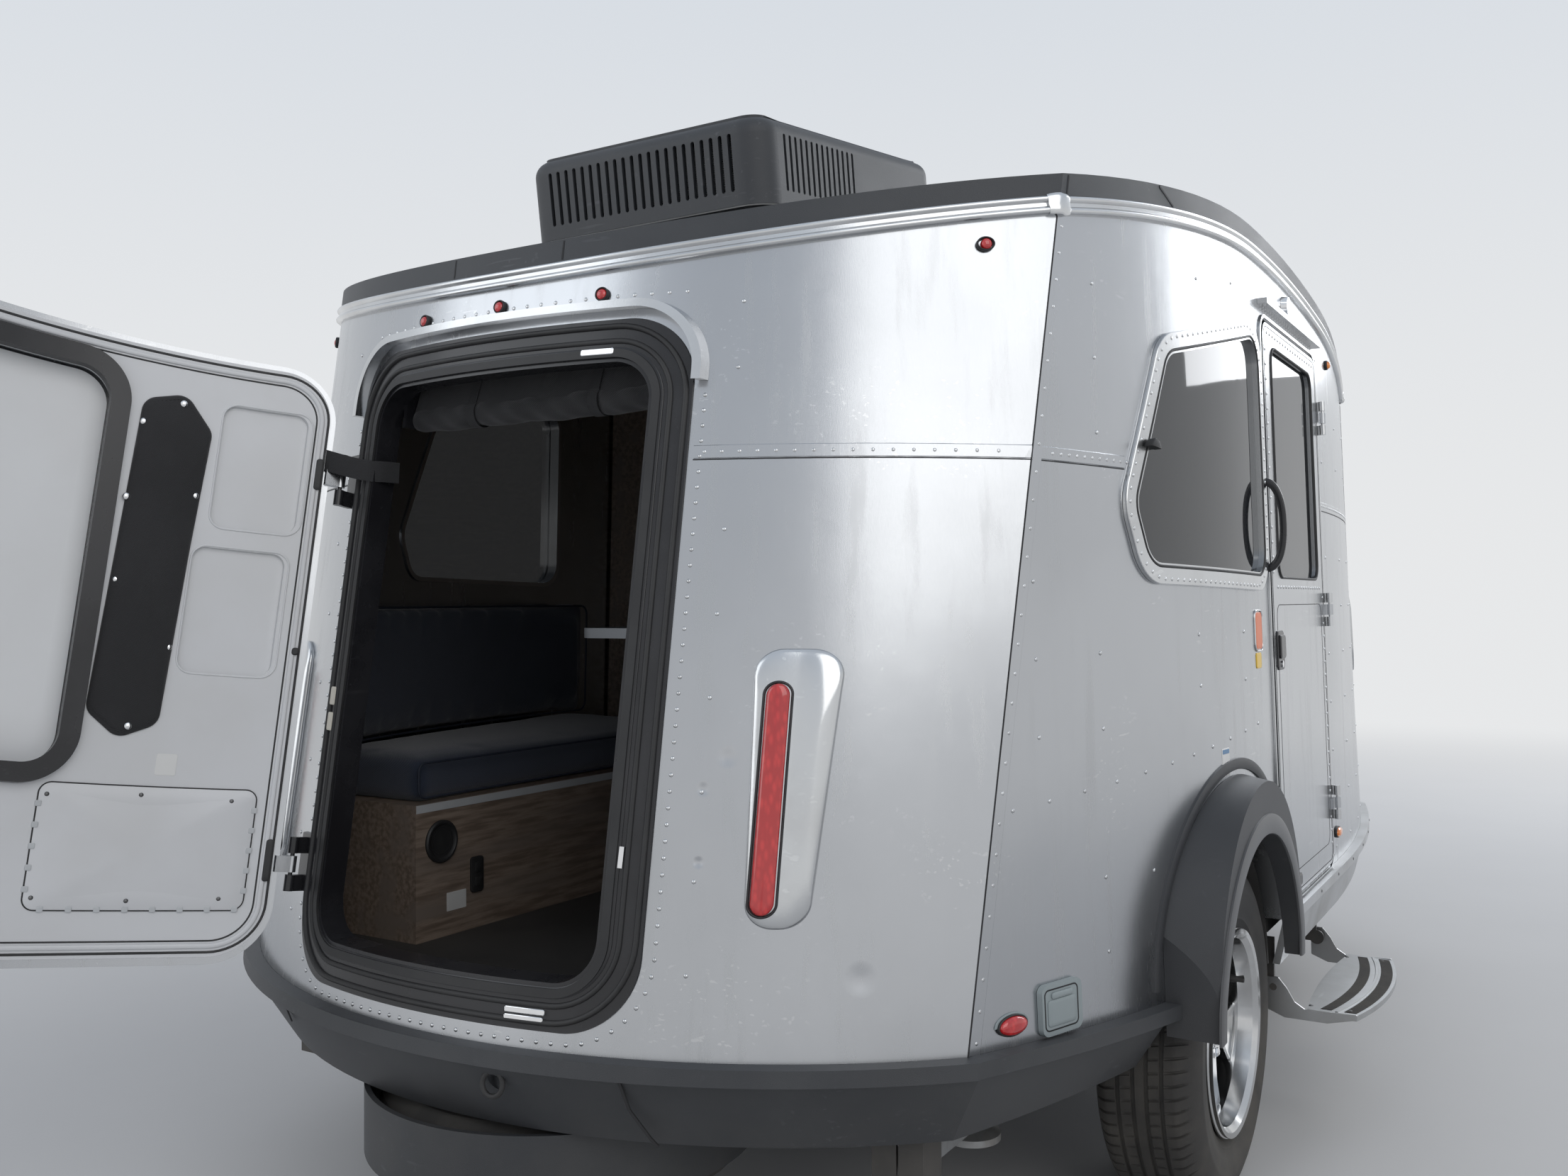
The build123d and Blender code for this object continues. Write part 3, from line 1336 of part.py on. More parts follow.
with BuildPart() as back_pads:
    add(shell(56, 56 + BACK_THICK))
    add(slab((SEAT_REAR_X + 30, -1200, SEAT_TOP + PAD_HIGH), (SEAT_END_X - 20, 1200, BACK_TOP)), mode=Mode.INTERSECT)

with BuildPart() as bench_cushions:
    add(seat_pads.part)
    add(back_pads.part)
save(bench_cushions.part, "bench_cushions")

with BuildPart() as table:
    with BuildSketch(Plane.XY.offset(TABLE_TOP - 22)):
        with Locations((975, 0)):
            RectangleRounded(550, 500, 50)
    extrude(amount=22)
    with Locations((975, 0, (FLOOR_TOP + TABLE_TOP) / 2 - 8)):
        Cylinder(30, TABLE_TOP - FLOOR_TOP - 16)
    with Locations((975, 0, FLOOR_TOP + 7)):
        Cylinder(110, 14)
save(table.part, "table")
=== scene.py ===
"""Looks of a riveted travel caravan: finishes, fastenings, trims, tyres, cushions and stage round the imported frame."""
import json
import math

import bmesh
import bpy
import numpy as np
from mathutils import Matrix

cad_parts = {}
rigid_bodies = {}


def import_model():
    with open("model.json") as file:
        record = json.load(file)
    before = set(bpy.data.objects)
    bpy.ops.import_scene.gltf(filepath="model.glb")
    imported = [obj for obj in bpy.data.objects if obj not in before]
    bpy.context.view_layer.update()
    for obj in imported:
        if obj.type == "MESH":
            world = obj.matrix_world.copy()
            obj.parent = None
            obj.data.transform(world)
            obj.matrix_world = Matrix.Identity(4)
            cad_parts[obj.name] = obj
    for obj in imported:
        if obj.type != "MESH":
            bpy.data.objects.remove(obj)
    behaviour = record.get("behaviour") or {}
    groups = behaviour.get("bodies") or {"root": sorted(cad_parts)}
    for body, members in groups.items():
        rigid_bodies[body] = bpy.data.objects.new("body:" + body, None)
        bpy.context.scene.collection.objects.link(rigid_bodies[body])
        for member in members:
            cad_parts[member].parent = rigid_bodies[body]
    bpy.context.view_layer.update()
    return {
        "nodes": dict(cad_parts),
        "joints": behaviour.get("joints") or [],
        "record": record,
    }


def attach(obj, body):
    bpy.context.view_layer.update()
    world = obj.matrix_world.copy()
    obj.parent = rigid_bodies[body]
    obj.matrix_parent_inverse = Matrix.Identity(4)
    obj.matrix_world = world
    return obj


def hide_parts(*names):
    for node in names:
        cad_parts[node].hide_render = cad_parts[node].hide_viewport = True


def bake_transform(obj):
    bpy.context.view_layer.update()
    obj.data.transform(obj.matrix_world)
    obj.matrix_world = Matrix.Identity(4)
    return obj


bl_info = {
    "name": "Travel caravan looks",
    "version": (1, 0, 0),
    "blender": (4, 5, 0),
    "location": "3D View > Sidebar > Caravan",
    "description": "Finishes, rivets, trims, tyres, cushions and stage of a riveted travel caravan",
    "category": "Object",
}

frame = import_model()
NODES = frame["nodes"]
OWN = [joint["parent"] for joint in frame["joints"]][0]

# Sizes of the body in millimetres, measured from the tail and the ground
TAIL = np.array([4560.0, 0.0, 0.0])
BASE = 511.0
HALF_WIDTH = 1067.0
REAR_LEAN = math.tan(math.radians(9.15))
SIDE_LEAN = math.tan(math.radians(1.7))
NOSE_LEAN = math.tan(math.radians(20.0))
REAR_RADIUS = 1210.0
NOSE_X = 3850.0
NOSE_RADIUS = 1270.0
SIDE_REAR = (1488.0, 3077.0)
SIDE_FRONT = (2280.0, 5800.0)
LOW_Z = 300.0
HIGH_Z = 2300.0
SEAM_Z = 1465.0
ROW_Z = SEAM_Z + 13.0
ROOF_ARCS = ((1481.7, -2566.4, 4560.0), (1670.0, -3558.0, 5568.0), (2154.7, -457.8, 2430.0))
ROOF_JOINS = (628.0, 2530.0)
WHEEL = np.array([1235.0, 945.0, 344.0])
ARCH_X, ARCH_Z = 1235.0, 490.0
HATCH_HINGE_Y = 414.0
HATCH_HINGE_OUT = 34.0
HATCH_OPEN = math.radians(-110.0)
# Tail opening: right, left, sill, head and corner radius; and distance of the liner's face from the skin
OPENING = (-325.0, 325.0, 620.0, 1640.0, 70.0)
LINER_OUT = 14.0
LINER_FACE = 13.7
WINDOW_OUTLINE = [(1505, 1280), (862, 1292), (815, 1405), (955, 1700), (1505, 1818)]
WINDOW_RADIUS = 62.0
# Step and its bowed front edge; bench face; rolled screen
STEP_X, STEP_HALF, STEP_BOW = 1900.0, 272.0, 38.0
BENCH_FACE = 452.0
BENCH = (430.0, 1530.0, 800.0, 896.0, 1230.0)
SCREEN = np.array([300.0, 0.0, 1592.0])
SCREEN_HALF = 309.0
SCREEN_STRAPS = (-150.0, 150.0)
ROOF_UNIT = np.array([617.0, 0.0, 2012.0])
ROOF_TILT = math.radians(8.0)
# Camera: degrees of heading, pitch and roll, then its place in metres
CAMERA_TURN = (31.5, 0.56, -0.28)
CAMERA_PLACE = (-6.175, -1.710, 1.229)
CAMERA_LENS = 31.085
CLOTH_FRAMES = 20
CLOTH_PRESSURE = 4.0


# ---- body surface ----
def meeting(first_x, first_radius, second_x, second_y, second_radius, forward):
    """Right-side point where a circle centred on the midline meets a side circle."""
    dx = second_x - first_x
    span = math.hypot(dx, second_y)
    along = (first_radius**2 - second_radius**2 + span**2) / (2 * span)
    off = math.sqrt(first_radius**2 - along**2)
    mid_x, mid_y = first_x + along * dx / span, along * second_y / span
    found = [(mid_x + s * off * second_y / span, mid_y - s * off * dx / span) for s in (1, -1)]
    return max(found) if forward else min(found)


def plan_curve(u, z, inset):
    """Plan of the skin at one height. u runs 0 tail, 1 corner, 2 and 3 the flat side, 4 corner, 5 nose.

    Each piece between them is an arc with an even angle."""
    rise = z - BASE
    half = HALF_WIDTH - rise * SIDE_LEAN
    rear_x = rise * REAR_LEAN + REAR_RADIUS
    nose_x = NOSE_X - rise * NOSE_LEAN - NOSE_RADIUS
    rear_c, front_c = SIDE_REAR[1] - half, SIDE_FRONT[1] - half
    rear_r, nose_r = REAR_RADIUS - inset, NOSE_RADIUS - inset
    back_r, fore_r = SIDE_REAR[1] - inset, SIDE_FRONT[1] - inset
    rx, ry = meeting(rear_x, rear_r, SIDE_REAR[0], rear_c, back_r, False)
    fx, fy = meeting(nose_x, nose_r, SIDE_FRONT[0], front_c, fore_r, True)
    a = math.atan2(-ry, rear_x - rx) * u
    b = math.atan2(SIDE_REAR[0] - rx, rear_c - ry) * (2 - u)
    c = math.atan2(fx - SIDE_FRONT[0], front_c - fy) * (u - 3)
    d = math.atan2(-fy, fx - nose_x) * (5 - u)
    part = [u <= 1, u <= 2, u <= 3, u <= 4]
    x = np.select(
        part,
        [rear_x - rear_r * np.cos(a), SIDE_REAR[0] - back_r * np.sin(b),
         SIDE_REAR[0] + (SIDE_FRONT[0] - SIDE_REAR[0]) * (u - 2), SIDE_FRONT[0] + fore_r * np.sin(c)],
        nose_x + nose_r * np.cos(d),
    )
    y = np.select(
        part,
        [-rear_r * np.sin(a), rear_c - back_r * np.cos(b), 0 * u - half + inset, front_c - fore_r * np.cos(c)],
        -nose_r * np.sin(d),
    )
    return x, y


def skin(u, z, out=0.0):
    """Right half of the body surface moved out by a distance: the straight line between two plans at one u."""
    u, z = np.broadcast_arrays(np.asarray(u, float), np.asarray(z, float))
    low, high = plan_curve(u, LOW_Z, -out), plan_curve(u, HIGH_Z, -out)
    t = (z - LOW_Z) / (HIGH_Z - LOW_Z)
    return np.stack([low[0] + (high[0] - low[0]) * t, low[1] + (high[1] - low[1]) * t, z], -1)


def solve(measure, target, low, high):
    """Parameter at which a rising measure reaches a target, by halving."""
    low, high = np.full(np.shape(target), float(low)), np.full(np.shape(target), float(high))
    for _ in range(40):
        mid = (low + high) / 2
        above = measure(mid) > target
        high, low = np.where(above, mid, high), np.where(above, low, mid)
    return (low + high) / 2


def side_u(x, z):
    """u of a station along the side."""
    x, z = np.broadcast_arrays(np.asarray(x, float), np.asarray(z, float))
    return solve(lambda u: skin(u, z)[..., 0], x, 0, 5)


def rear_u(y, z):
    """u of a distance to the right of the midline on the tail."""
    y, z = np.broadcast_arrays(np.asarray(y, float), np.asarray(z, float))
    return solve(lambda u: -skin(u, z)[..., 1], np.abs(y), 0, 1)


def frames(u, z, out=0.0, left=False):
    """Point, direction along the plan, direction up the wall and outward normal; left mirrors them."""
    step = 1e-4
    point = skin(u, z, out)
    along = skin(np.minimum(u + step, 5), z, out) - skin(np.maximum(u - step, 0), z, out)
    up = skin(u, z + 1.0, out) - point
    normal = np.cross(along, up)
    up, normal = unit(up), unit(normal)
    along = np.cross(up, normal)
    if np.ndim(left) or left:
        flip = np.where(np.asarray(left)[..., None], [1.0, -1.0, 1.0], [1.0, 1.0, 1.0])
        sign = np.where(np.asarray(left)[..., None], -1.0, 1.0)
        return point * flip, along * flip * sign, up * flip, normal * flip
    return point, along, up, normal


def unit(v):
    """Vectors at length one."""
    return v / np.linalg.norm(v, axis=-1, keepdims=True)


def on_tail(y, z, out=0.0):
    """Frames on the tail wall at a distance across and a height; positive y is the left side."""
    y, z = np.broadcast_arrays(np.asarray(y, float), np.asarray(z, float))
    return frames(rear_u(y, z), z, out, y > 0)


def on_side(x, z, out=0.0, left=False):
    """Frames on the side wall at a station along and a height."""
    x, z = np.broadcast_arrays(np.asarray(x, float), np.asarray(z, float))
    return frames(side_u(x, z), z, out, left)


def roof_line(x):
    """Height of the roof moulding at x, from three tangent arcs."""
    heights = [arc[1] + np.sqrt(np.maximum(arc[2] ** 2 - (x - arc[0]) ** 2, 1.0)) for arc in ROOF_ARCS]
    return np.select([x < ROOF_JOINS[0], x < ROOF_JOINS[1]], heights[:2], heights[2])


def under_roof(u, rise):
    """Height at which the skin at u meets the roof line raised by a distance, by repeated use of the roof line."""
    z = np.full(np.shape(u), 1850.0)
    for _ in range(40):
        z = 0.5 * z + 0.5 * (roof_line(skin(u, z)[..., 0]) + rise)
    return z


def hatch_x(z):
    """Station of the leaning hatch hinge line."""
    return (z - BASE) * REAR_LEAN + REAR_RADIUS - math.sqrt((REAR_RADIUS + HATCH_HINGE_OUT) ** 2 - HATCH_HINGE_Y**2)


def swung(vectors, angle=HATCH_OPEN, points=True):
    """Vectors of the closed hatch turned about its leaning hinge line by the turning formula."""
    axis = unit(np.array([REAR_LEAN, 0.0, 1.0]))
    origin = np.array([hatch_x(740.0), HATCH_HINGE_Y, 740.0]) if points else 0.0
    v = vectors - origin
    across = np.cross(np.broadcast_to(axis, v.shape), v)
    along = (v @ axis)[..., None] * axis
    return origin + v * math.cos(angle) + across * math.sin(angle) + along * (1 - math.cos(angle))


def swung_frames(placed):
    """Frames of the closed hatch turned to its open place."""
    point, along, up, normal = placed
    return (swung(point),) + tuple(swung(v, points=False) for v in (along, up, normal))


# ---- meshes ----
def grid_faces(rows, columns, wrap_rows=False, wrap_columns=False):
    """Quads of a grid of points, closed round either way."""
    i = np.arange(rows if wrap_rows else rows - 1)
    j = np.arange(columns if wrap_columns else columns - 1)
    i, j = np.meshgrid(i, j, indexing="ij")
    k, m = (i + 1) % rows, (j + 1) % columns
    return np.stack([i * columns + j, k * columns + j, k * columns + m, i * columns + m], -1).reshape(-1, 4)


def closed_tube(points, wrap=False):
    """Surface through rings of points; a tube that isn't a ring gets a fan at each end."""
    rows, columns = points.shape[:2]
    verts = points.reshape(-1, 3)
    faces = grid_faces(rows, columns, wrap, True)
    if wrap:
        return verts, faces
    ends = np.stack([points[0].mean(0), points[-1].mean(0)])
    j = np.arange(columns)
    near, far = rows * columns, rows * columns + 1
    following, end = (j + 1) % columns, (rows - 1) * columns
    first = np.stack([np.full(columns, near), j, following, following], -1)
    last = np.stack([np.full(columns, far), following + end, j + end, j + end], -1)
    return np.concatenate([verts, ends]), np.concatenate([faces, first, last])


def joined(parts):
    """One mesh from several (points, faces) pairs."""
    shift, verts, faces = 0, [], []
    for points, quads in parts:
        verts.append(points)
        faces.append(quads + shift)
        shift += len(points)
    return np.concatenate(verts), np.concatenate(faces)


def outward(verts, faces):
    """Faces turned so that the closed volume is positive; a repeated last corner marks a triangle."""
    centred = verts - verts.mean(0)
    p, q, r, s = (centred[faces[:, n]] for n in range(4))
    volume = np.einsum("ij,ij->", p, np.cross(q, r)) + np.einsum("ij,ij->", p, np.cross(r, s))
    return faces if volume > 0 else faces[:, [1, 0, 3, 2]]


def piece(name, shape, body, slot, finish=None, smooth=True, sharp=None):
    """Puts points and quads, in millimetres from the tail, into an object that rides on a body if one is given."""
    verts, faces = shape
    rows = [list(dict.fromkeys(row)) for row in outward(verts, faces).tolist()]
    rows = [row for row in rows if len(row) > 2]
    mesh = bpy.data.meshes.new(name)
    mesh.from_pydata(((verts - TAIL) / 1000.0).tolist(), [], rows)
    weld = bmesh.new()
    weld.from_mesh(mesh)
    bmesh.ops.remove_doubles(weld, verts=weld.verts, dist=2e-6)
    weld.to_mesh(mesh)
    weld.free()
    mesh.polygons.foreach_set("use_smooth", np.full(len(mesh.polygons), smooth))
    if sharp:
        mesh.set_sharp_from_angle(angle=math.radians(sharp))
    mesh.materials.append(FINISH[finish or slot])
    mesh.update()
    made = bpy.data.objects.new(name, mesh)
    bpy.context.scene.collection.objects.link(made)
    if body:
        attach(made, body)
    return made


def swept(placed, profile, wrap=False, taper=None):
    """A profile of (side, out) pairs carried along a path of frames (point, path direction, side, normal)."""
    point, _, side, normal = placed
    profile = np.asarray(profile, float)
    scale = np.ones(len(point)) if taper is None else taper
    across = side[:, None] * profile[None, :, :1] * scale[:, None, None]
    out = normal[:, None] * profile[None, :, 1:] * scale[:, None, None]
    return closed_tube(point[:, None] + across + out, wrap)


def mirrored(*half):
    """Closed profile from its right half, foot first; a point on the middle line stands once."""
    return [(-half[0][0], half[0][1]), *half] + [(-side, out) for side, out in half[:0:-1] if side]


def along_path(points, normals, wrap=False):
    """Frames for swept from path points and surface normals; the side is the path direction crossed with the normal."""
    if wrap:
        ahead = np.roll(points, -1, 0) - np.roll(points, 1, 0)
    else:
        ahead = np.gradient(points, axis=0)
    ahead = unit(ahead)
    side = unit(np.cross(ahead, normals))
    return points, ahead, side, np.cross(side, ahead)


def swept_ring(placed, profile):
    """A profile carried round a closed path of frames, or of points with their normals."""
    return swept(along_path(placed[0], placed[-1], True), profile, True)


def swept_run(placed, profile):
    """A profile carried along an open path of frames, or of points with their normals."""
    return swept(along_path(placed[0], placed[-1]), profile)


def circle(count):
    """Points of a unit circle."""
    turn = np.linspace(0, 2 * math.pi, count, endpoint=False)
    return np.stack([np.cos(turn), np.sin(turn)], -1)


def rounded_loop(low_a, high_a, low_b, high_b, radius, count=16, straight=12):
    """Closed rounded rectangle in two coordinates, with even points on its corners and runs."""
    corners = [(high_a - radius, high_b - radius, 0), (low_a + radius, high_b - radius, 90),
               (low_a + radius, low_b + radius, 180), (high_a - radius, low_b + radius, 270)]
    points = []
    for n, (a, b, start) in enumerate(corners):
        turn = np.radians(np.linspace(start, start + 90, count))
        arc = np.stack([a + radius * np.cos(turn), b + radius * np.sin(turn)], -1)
        following = corners[(n + 1) % 4]
        next_start = np.radians(following[2])
        end = np.array([following[0] + radius * math.cos(next_start), following[1] + radius * math.sin(next_start)])
        run = arc[-1] + (end - arc[-1]) * np.linspace(0, 1, straight + 2)[1:-1, None]
        points += [arc, run]
    return np.concatenate(points)


def rounded_polygon(corners, radius, count=8, straight=6):
    """Closed polygon whose corners are arcs that touch both neighbouring runs."""
    corners = np.asarray(corners, float)
    pieces = []
    ends = []
    for n, corner in enumerate(corners):
        before, after = corners[n - 1], corners[(n + 1) % len(corners)]
        a, b = unit(before - corner), unit(after - corner)
        half = math.acos(np.clip(a @ b, -1, 1)) / 2
        cut = radius / math.tan(half)
        centre = corner + unit(a + b) * radius / math.sin(half)
        start, end = corner + a * cut - centre, corner + b * cut - centre
        t = np.linspace(0, 1, count)[:, None]
        turn = math.acos(np.clip(unit(start) @ unit(end), -1, 1))
        arc = (np.sin((1 - t) * turn) * start + np.sin(t * turn) * end) / math.sin(turn) + centre
        pieces.append(arc)
        ends.append((arc[0], arc[-1]))
    points = []
    for n, arc in enumerate(pieces):
        target = ends[(n + 1) % len(pieces)][0]
        run = arc[-1] + (target - arc[-1]) * np.linspace(0, 1, straight + 2)[1:-1, None]
        points += [arc, run]
    return np.concatenate(points)


def dome_template(radius, height, sides=8, rings=(1.0, 0.8, 0.45), foot=0.6):
    """Rivet or screw head: rings whose height follows a circle's arc, on a short sunk foot."""
    turn = np.linspace(0, 2 * math.pi, sides, endpoint=False)
    levels = [(1.0, -foot)] + [(ring, height * math.sqrt(1 - (ring * 0.98) ** 2)) for ring in rings] + [(0.0, height)]
    rows = [
        (radius * share * math.cos(t), radius * share * math.sin(t), level)
        for share, level in levels for t in turn
    ]
    return np.array(rows), grid_faces(len(levels), sides, False, True)


def scattered(template, placed):
    """Copies of a template standing on many frames, as one mesh."""
    verts, faces = template
    point, along, up, normal = (np.reshape(v, (-1, 3)) for v in placed)
    points = point[:, None] + sum(axis[:, None] * verts[:, n:n + 1] for n, axis in enumerate((along, up, normal)))
    shift = np.arange(len(point))[:, None, None] * len(verts)
    return points.reshape(-1, 3), (faces[None] + shift).reshape(-1, 4)


def stacked(*groups):
    """Frames of several groups as one set."""
    return tuple(np.concatenate([np.reshape(group[n], (-1, 3)) for group in groups]) for n in range(4))


def box_mesh(low, high, placed=None):
    """A block between two corners, in its own frame when one is given."""
    low, high = np.asarray(low, float), np.asarray(high, float)
    pick = np.array([[0, 0, 0], [1, 0, 0], [1, 1, 0], [0, 1, 0], [0, 0, 1], [1, 0, 1], [1, 1, 1], [0, 1, 1]])
    verts = low + (high - low) * pick
    faces = np.array([[0, 3, 2, 1], [4, 5, 6, 7], [0, 1, 5, 4], [1, 2, 6, 5], [2, 3, 7, 6], [3, 0, 4, 7]])
    if placed is not None:
        point, along, up, normal = (np.reshape(v, 3) for v in placed)
        verts = point + verts[:, :1] * along + verts[:, 1:2] * up + verts[:, 2:] * normal
    return verts, faces


def raised(placed, out):
    """Points of frames moved out along their normals."""
    return placed[0] + placed[-1] * out


def plate_on(loop, place, low, high, edge):
    """Plate on the skin: rings of a closed outline at its foot, shoulder and crown, then smaller ones to the middle."""
    loop = np.asarray(loop, float)
    centre = (loop.min(0) + loop.max(0)) / 2
    shrink = centre + (loop - centre) * (1 - edge / ((loop.max(0) - loop.min(0)) / 2))
    rings = []
    crown = [(centre + (shrink - centre) * share, high) for share in (1.0, 0.75, 0.5, 0.25, 0.05)]
    for outline, out in [(loop, low), (loop, high - edge * 0.6)] + crown:
        rings.append(raised(place(outline), out))
    return closed_tube(np.stack(rings))


def at_tail(loop):
    """Frames on the tail wall for an outline of (across, height)."""
    return on_tail(loop[:, 0], loop[:, 1])


def at_side(loop):
    """Frames on the right wall for an outline of (along, height)."""
    return on_side(loop[:, 0], loop[:, 1])


def at_left(loop):
    """Frames on the left wall for an outline of (along, height)."""
    return on_side(loop[:, 0], loop[:, 1], 0.0, True)


# ---- shader groups and finishes ----
def wire(tree, made, values):
    """Fills inputs of a node: a value that is a socket is linked, any other is written in."""
    for key, value in values.items():
        socket = made.inputs[key]
        if isinstance(value, bpy.types.NodeSocket):
            tree.links.new(value, socket)
        else:
            socket.default_value = value


def node(tree, kind, values=None, **settings):
    """A node with its settings and inputs."""
    made = tree.nodes.new(kind)
    for key, value in settings.items():
        setattr(made, key, value)
    wire(tree, made, values or {})
    return made


def maths(tree, operation, *values):
    """Output of a maths node."""
    return node(tree, "ShaderNodeMath", dict(enumerate(values)), operation=operation).outputs[0]


def mixed(tree, share, first, second, blend="MIX"):
    """Colour mix: input 0 is its share, 6 and 7 its colours."""
    return node(tree, "ShaderNodeMix", {0: share, 6: first, 7: second}, data_type="RGBA", blend_type=blend).outputs[2]


def spread(tree, value, low, high, to_low=0.0, to_high=1.0):
    """Smooth change of range, held inside its ends."""
    return node(
        tree, "ShaderNodeMapRange",
        {"Value": value, "From Min": low, "From Max": high, "To Min": to_low, "To Max": to_high},
        interpolation_type="SMOOTHSTEP",
    ).outputs[0]


def noise(tree, vector, scale, detail=3.0, roughness=0.55):
    values = {"Vector": vector, "Scale": scale, "Detail": detail, "Roughness": roughness}
    return node(tree, "ShaderNodeTexNoise", values).outputs[0]


def stretched(tree, vector, x, y, z):
    """A vector scaled by axis, which draws a texture out along the axes with small scales."""
    return node(tree, "ShaderNodeMapping", {"Vector": vector, "Scale": (x, y, z)}).outputs[0]


def object_place(tree):
    """Object coordinates, in metres."""
    return node(tree, "ShaderNodeTexCoord").outputs["Object"]


def group(name, ins, outs):
    """Empty node group with float and colour sockets; returns it with its input and output nodes."""
    tree = bpy.data.node_groups.new(name, "ShaderNodeTree")
    for label, value in ins:
        kind = "NodeSocketColor" if isinstance(value, tuple) else "NodeSocketFloat"
        socket = tree.interface.new_socket(label, in_out="INPUT", socket_type=kind)
        socket.default_value = value
    for label, kind in outs:
        tree.interface.new_socket(label, in_out="OUTPUT", socket_type=kind)
    return tree, tree.nodes.new("NodeGroupInput"), tree.nodes.new("NodeGroupOutput")


GREY = (0.5, 0.5, 0.5, 1.0)


def make_surface_group():
    """Colour, roughness and relief of a used surface: broad stains, fine grain, and dust that gathers low down."""
    tree, given, out = group(
        "used_surface",
        [("Colour", GREY), ("Stain", GREY), ("Stain Scale", 3.0), ("Stain Share", 0.3), ("Grain Scale", 200.0),
         ("Grain Depth", 0.2), ("Roughness", 0.5), ("Roughness Spread", 0.1), ("Dust", 0.1)],
        [("Colour", "NodeSocketColor"), ("Roughness", "NodeSocketFloat"), ("Height", "NodeSocketFloat")],
    )
    place = object_place(tree)
    broad = noise(tree, place, given.outputs["Stain Scale"], 5.0)
    fine = noise(tree, place, given.outputs["Grain Scale"], 2.0)
    share = maths(tree, "MULTIPLY", spread(tree, broad, 0.38, 0.68), given.outputs["Stain Share"])
    colour = mixed(tree, share, given.outputs["Colour"], given.outputs["Stain"])
    height_z = node(tree, "ShaderNodeSeparateXYZ", {"Vector": place}).outputs["Z"]
    low = spread(tree, height_z, 0.75, 0.1)
    speckle = spread(tree, noise(tree, place, 9.0, 6.0), 0.25, 0.8, 0.35, 0.9)
    dust = maths(tree, "MULTIPLY", maths(tree, "MULTIPLY", low, speckle), given.outputs["Dust"])
    tree.links.new(mixed(tree, dust, colour, (0.20, 0.18, 0.15, 1.0)), out.inputs["Colour"])
    swing = maths(tree, "MULTIPLY", maths(tree, "SUBTRACT", broad, 0.5), given.outputs["Roughness Spread"])
    rough = maths(
        tree, "ADD", maths(tree, "ADD", given.outputs["Roughness"], swing), maths(tree, "MULTIPLY", dust, 0.4),
    )
    clamp = node(tree, "ShaderNodeClamp", {"Value": rough, "Min": 0.03, "Max": 1.0}).outputs[0]
    tree.links.new(clamp, out.inputs["Roughness"])
    tree.links.new(maths(tree, "MULTIPLY", fine, given.outputs["Grain Depth"]), out.inputs["Height"])
    return tree


def make_scratch_group():
    """Mask of thin scratches: noise drawn out along two slanted directions and cut to narrow lines."""
    tree, given, out = group("fine_scratches", [("Scale", 6.0), ("Share", 0.5)], [("Mask", "NodeSocketFloat")])
    place = object_place(tree)
    lines = []
    for turn, pull in (((0.3, 0.2, 0.9), (1, 14, 14)), ((-0.5, 0.6, -0.4), (16, 1.2, 16))):
        turned = node(tree, "ShaderNodeMapping", {"Vector": place, "Rotation": turn, "Scale": pull}).outputs[0]
        lines.append(spread(tree, noise(tree, turned, given.outputs["Scale"], 2.0), 0.66, 0.70))
    where = spread(tree, noise(tree, place, 4.0, 2.0), 0.52, 0.68)
    both = maths(tree, "MULTIPLY", maths(tree, "MAXIMUM", *lines), where)
    tree.links.new(maths(tree, "MULTIPLY", both, given.outputs["Share"]), out.inputs["Mask"])
    return tree


def make_weave_group():
    """Woven cloth: threads as crossing sine ridges, one over the other in turn, with slubs of noise."""
    tree, given, out = group(
        "woven_threads", [("Threads", 900.0), ("Slub", 0.3)],
        [("Height", "NodeSocketFloat"), ("Mask", "NodeSocketFloat")],
    )
    place = object_place(tree)
    parts = node(tree, "ShaderNodeSeparateXYZ", {"Vector": place}).outputs
    across = maths(tree, "ADD", parts["X"], maths(tree, "MULTIPLY", parts["Y"], 0.35))
    along = maths(tree, "ADD", parts["Z"], maths(tree, "MULTIPLY", parts["Y"], 0.9))
    warp = maths(tree, "SINE", maths(tree, "MULTIPLY", across, given.outputs["Threads"]))
    weft = maths(tree, "SINE", maths(tree, "MULTIPLY", along, given.outputs["Threads"]))
    cross = maths(tree, "MULTIPLY", warp, weft)
    slub = maths(tree, "MULTIPLY", noise(tree, place, 60.0, 3.0), given.outputs["Slub"])
    tree.links.new(maths(tree, "ADD", cross, slub), out.inputs["Height"])
    tree.links.new(maths(tree, "ADD", maths(tree, "MULTIPLY", cross, 0.5), 0.5), out.inputs["Mask"])
    return tree


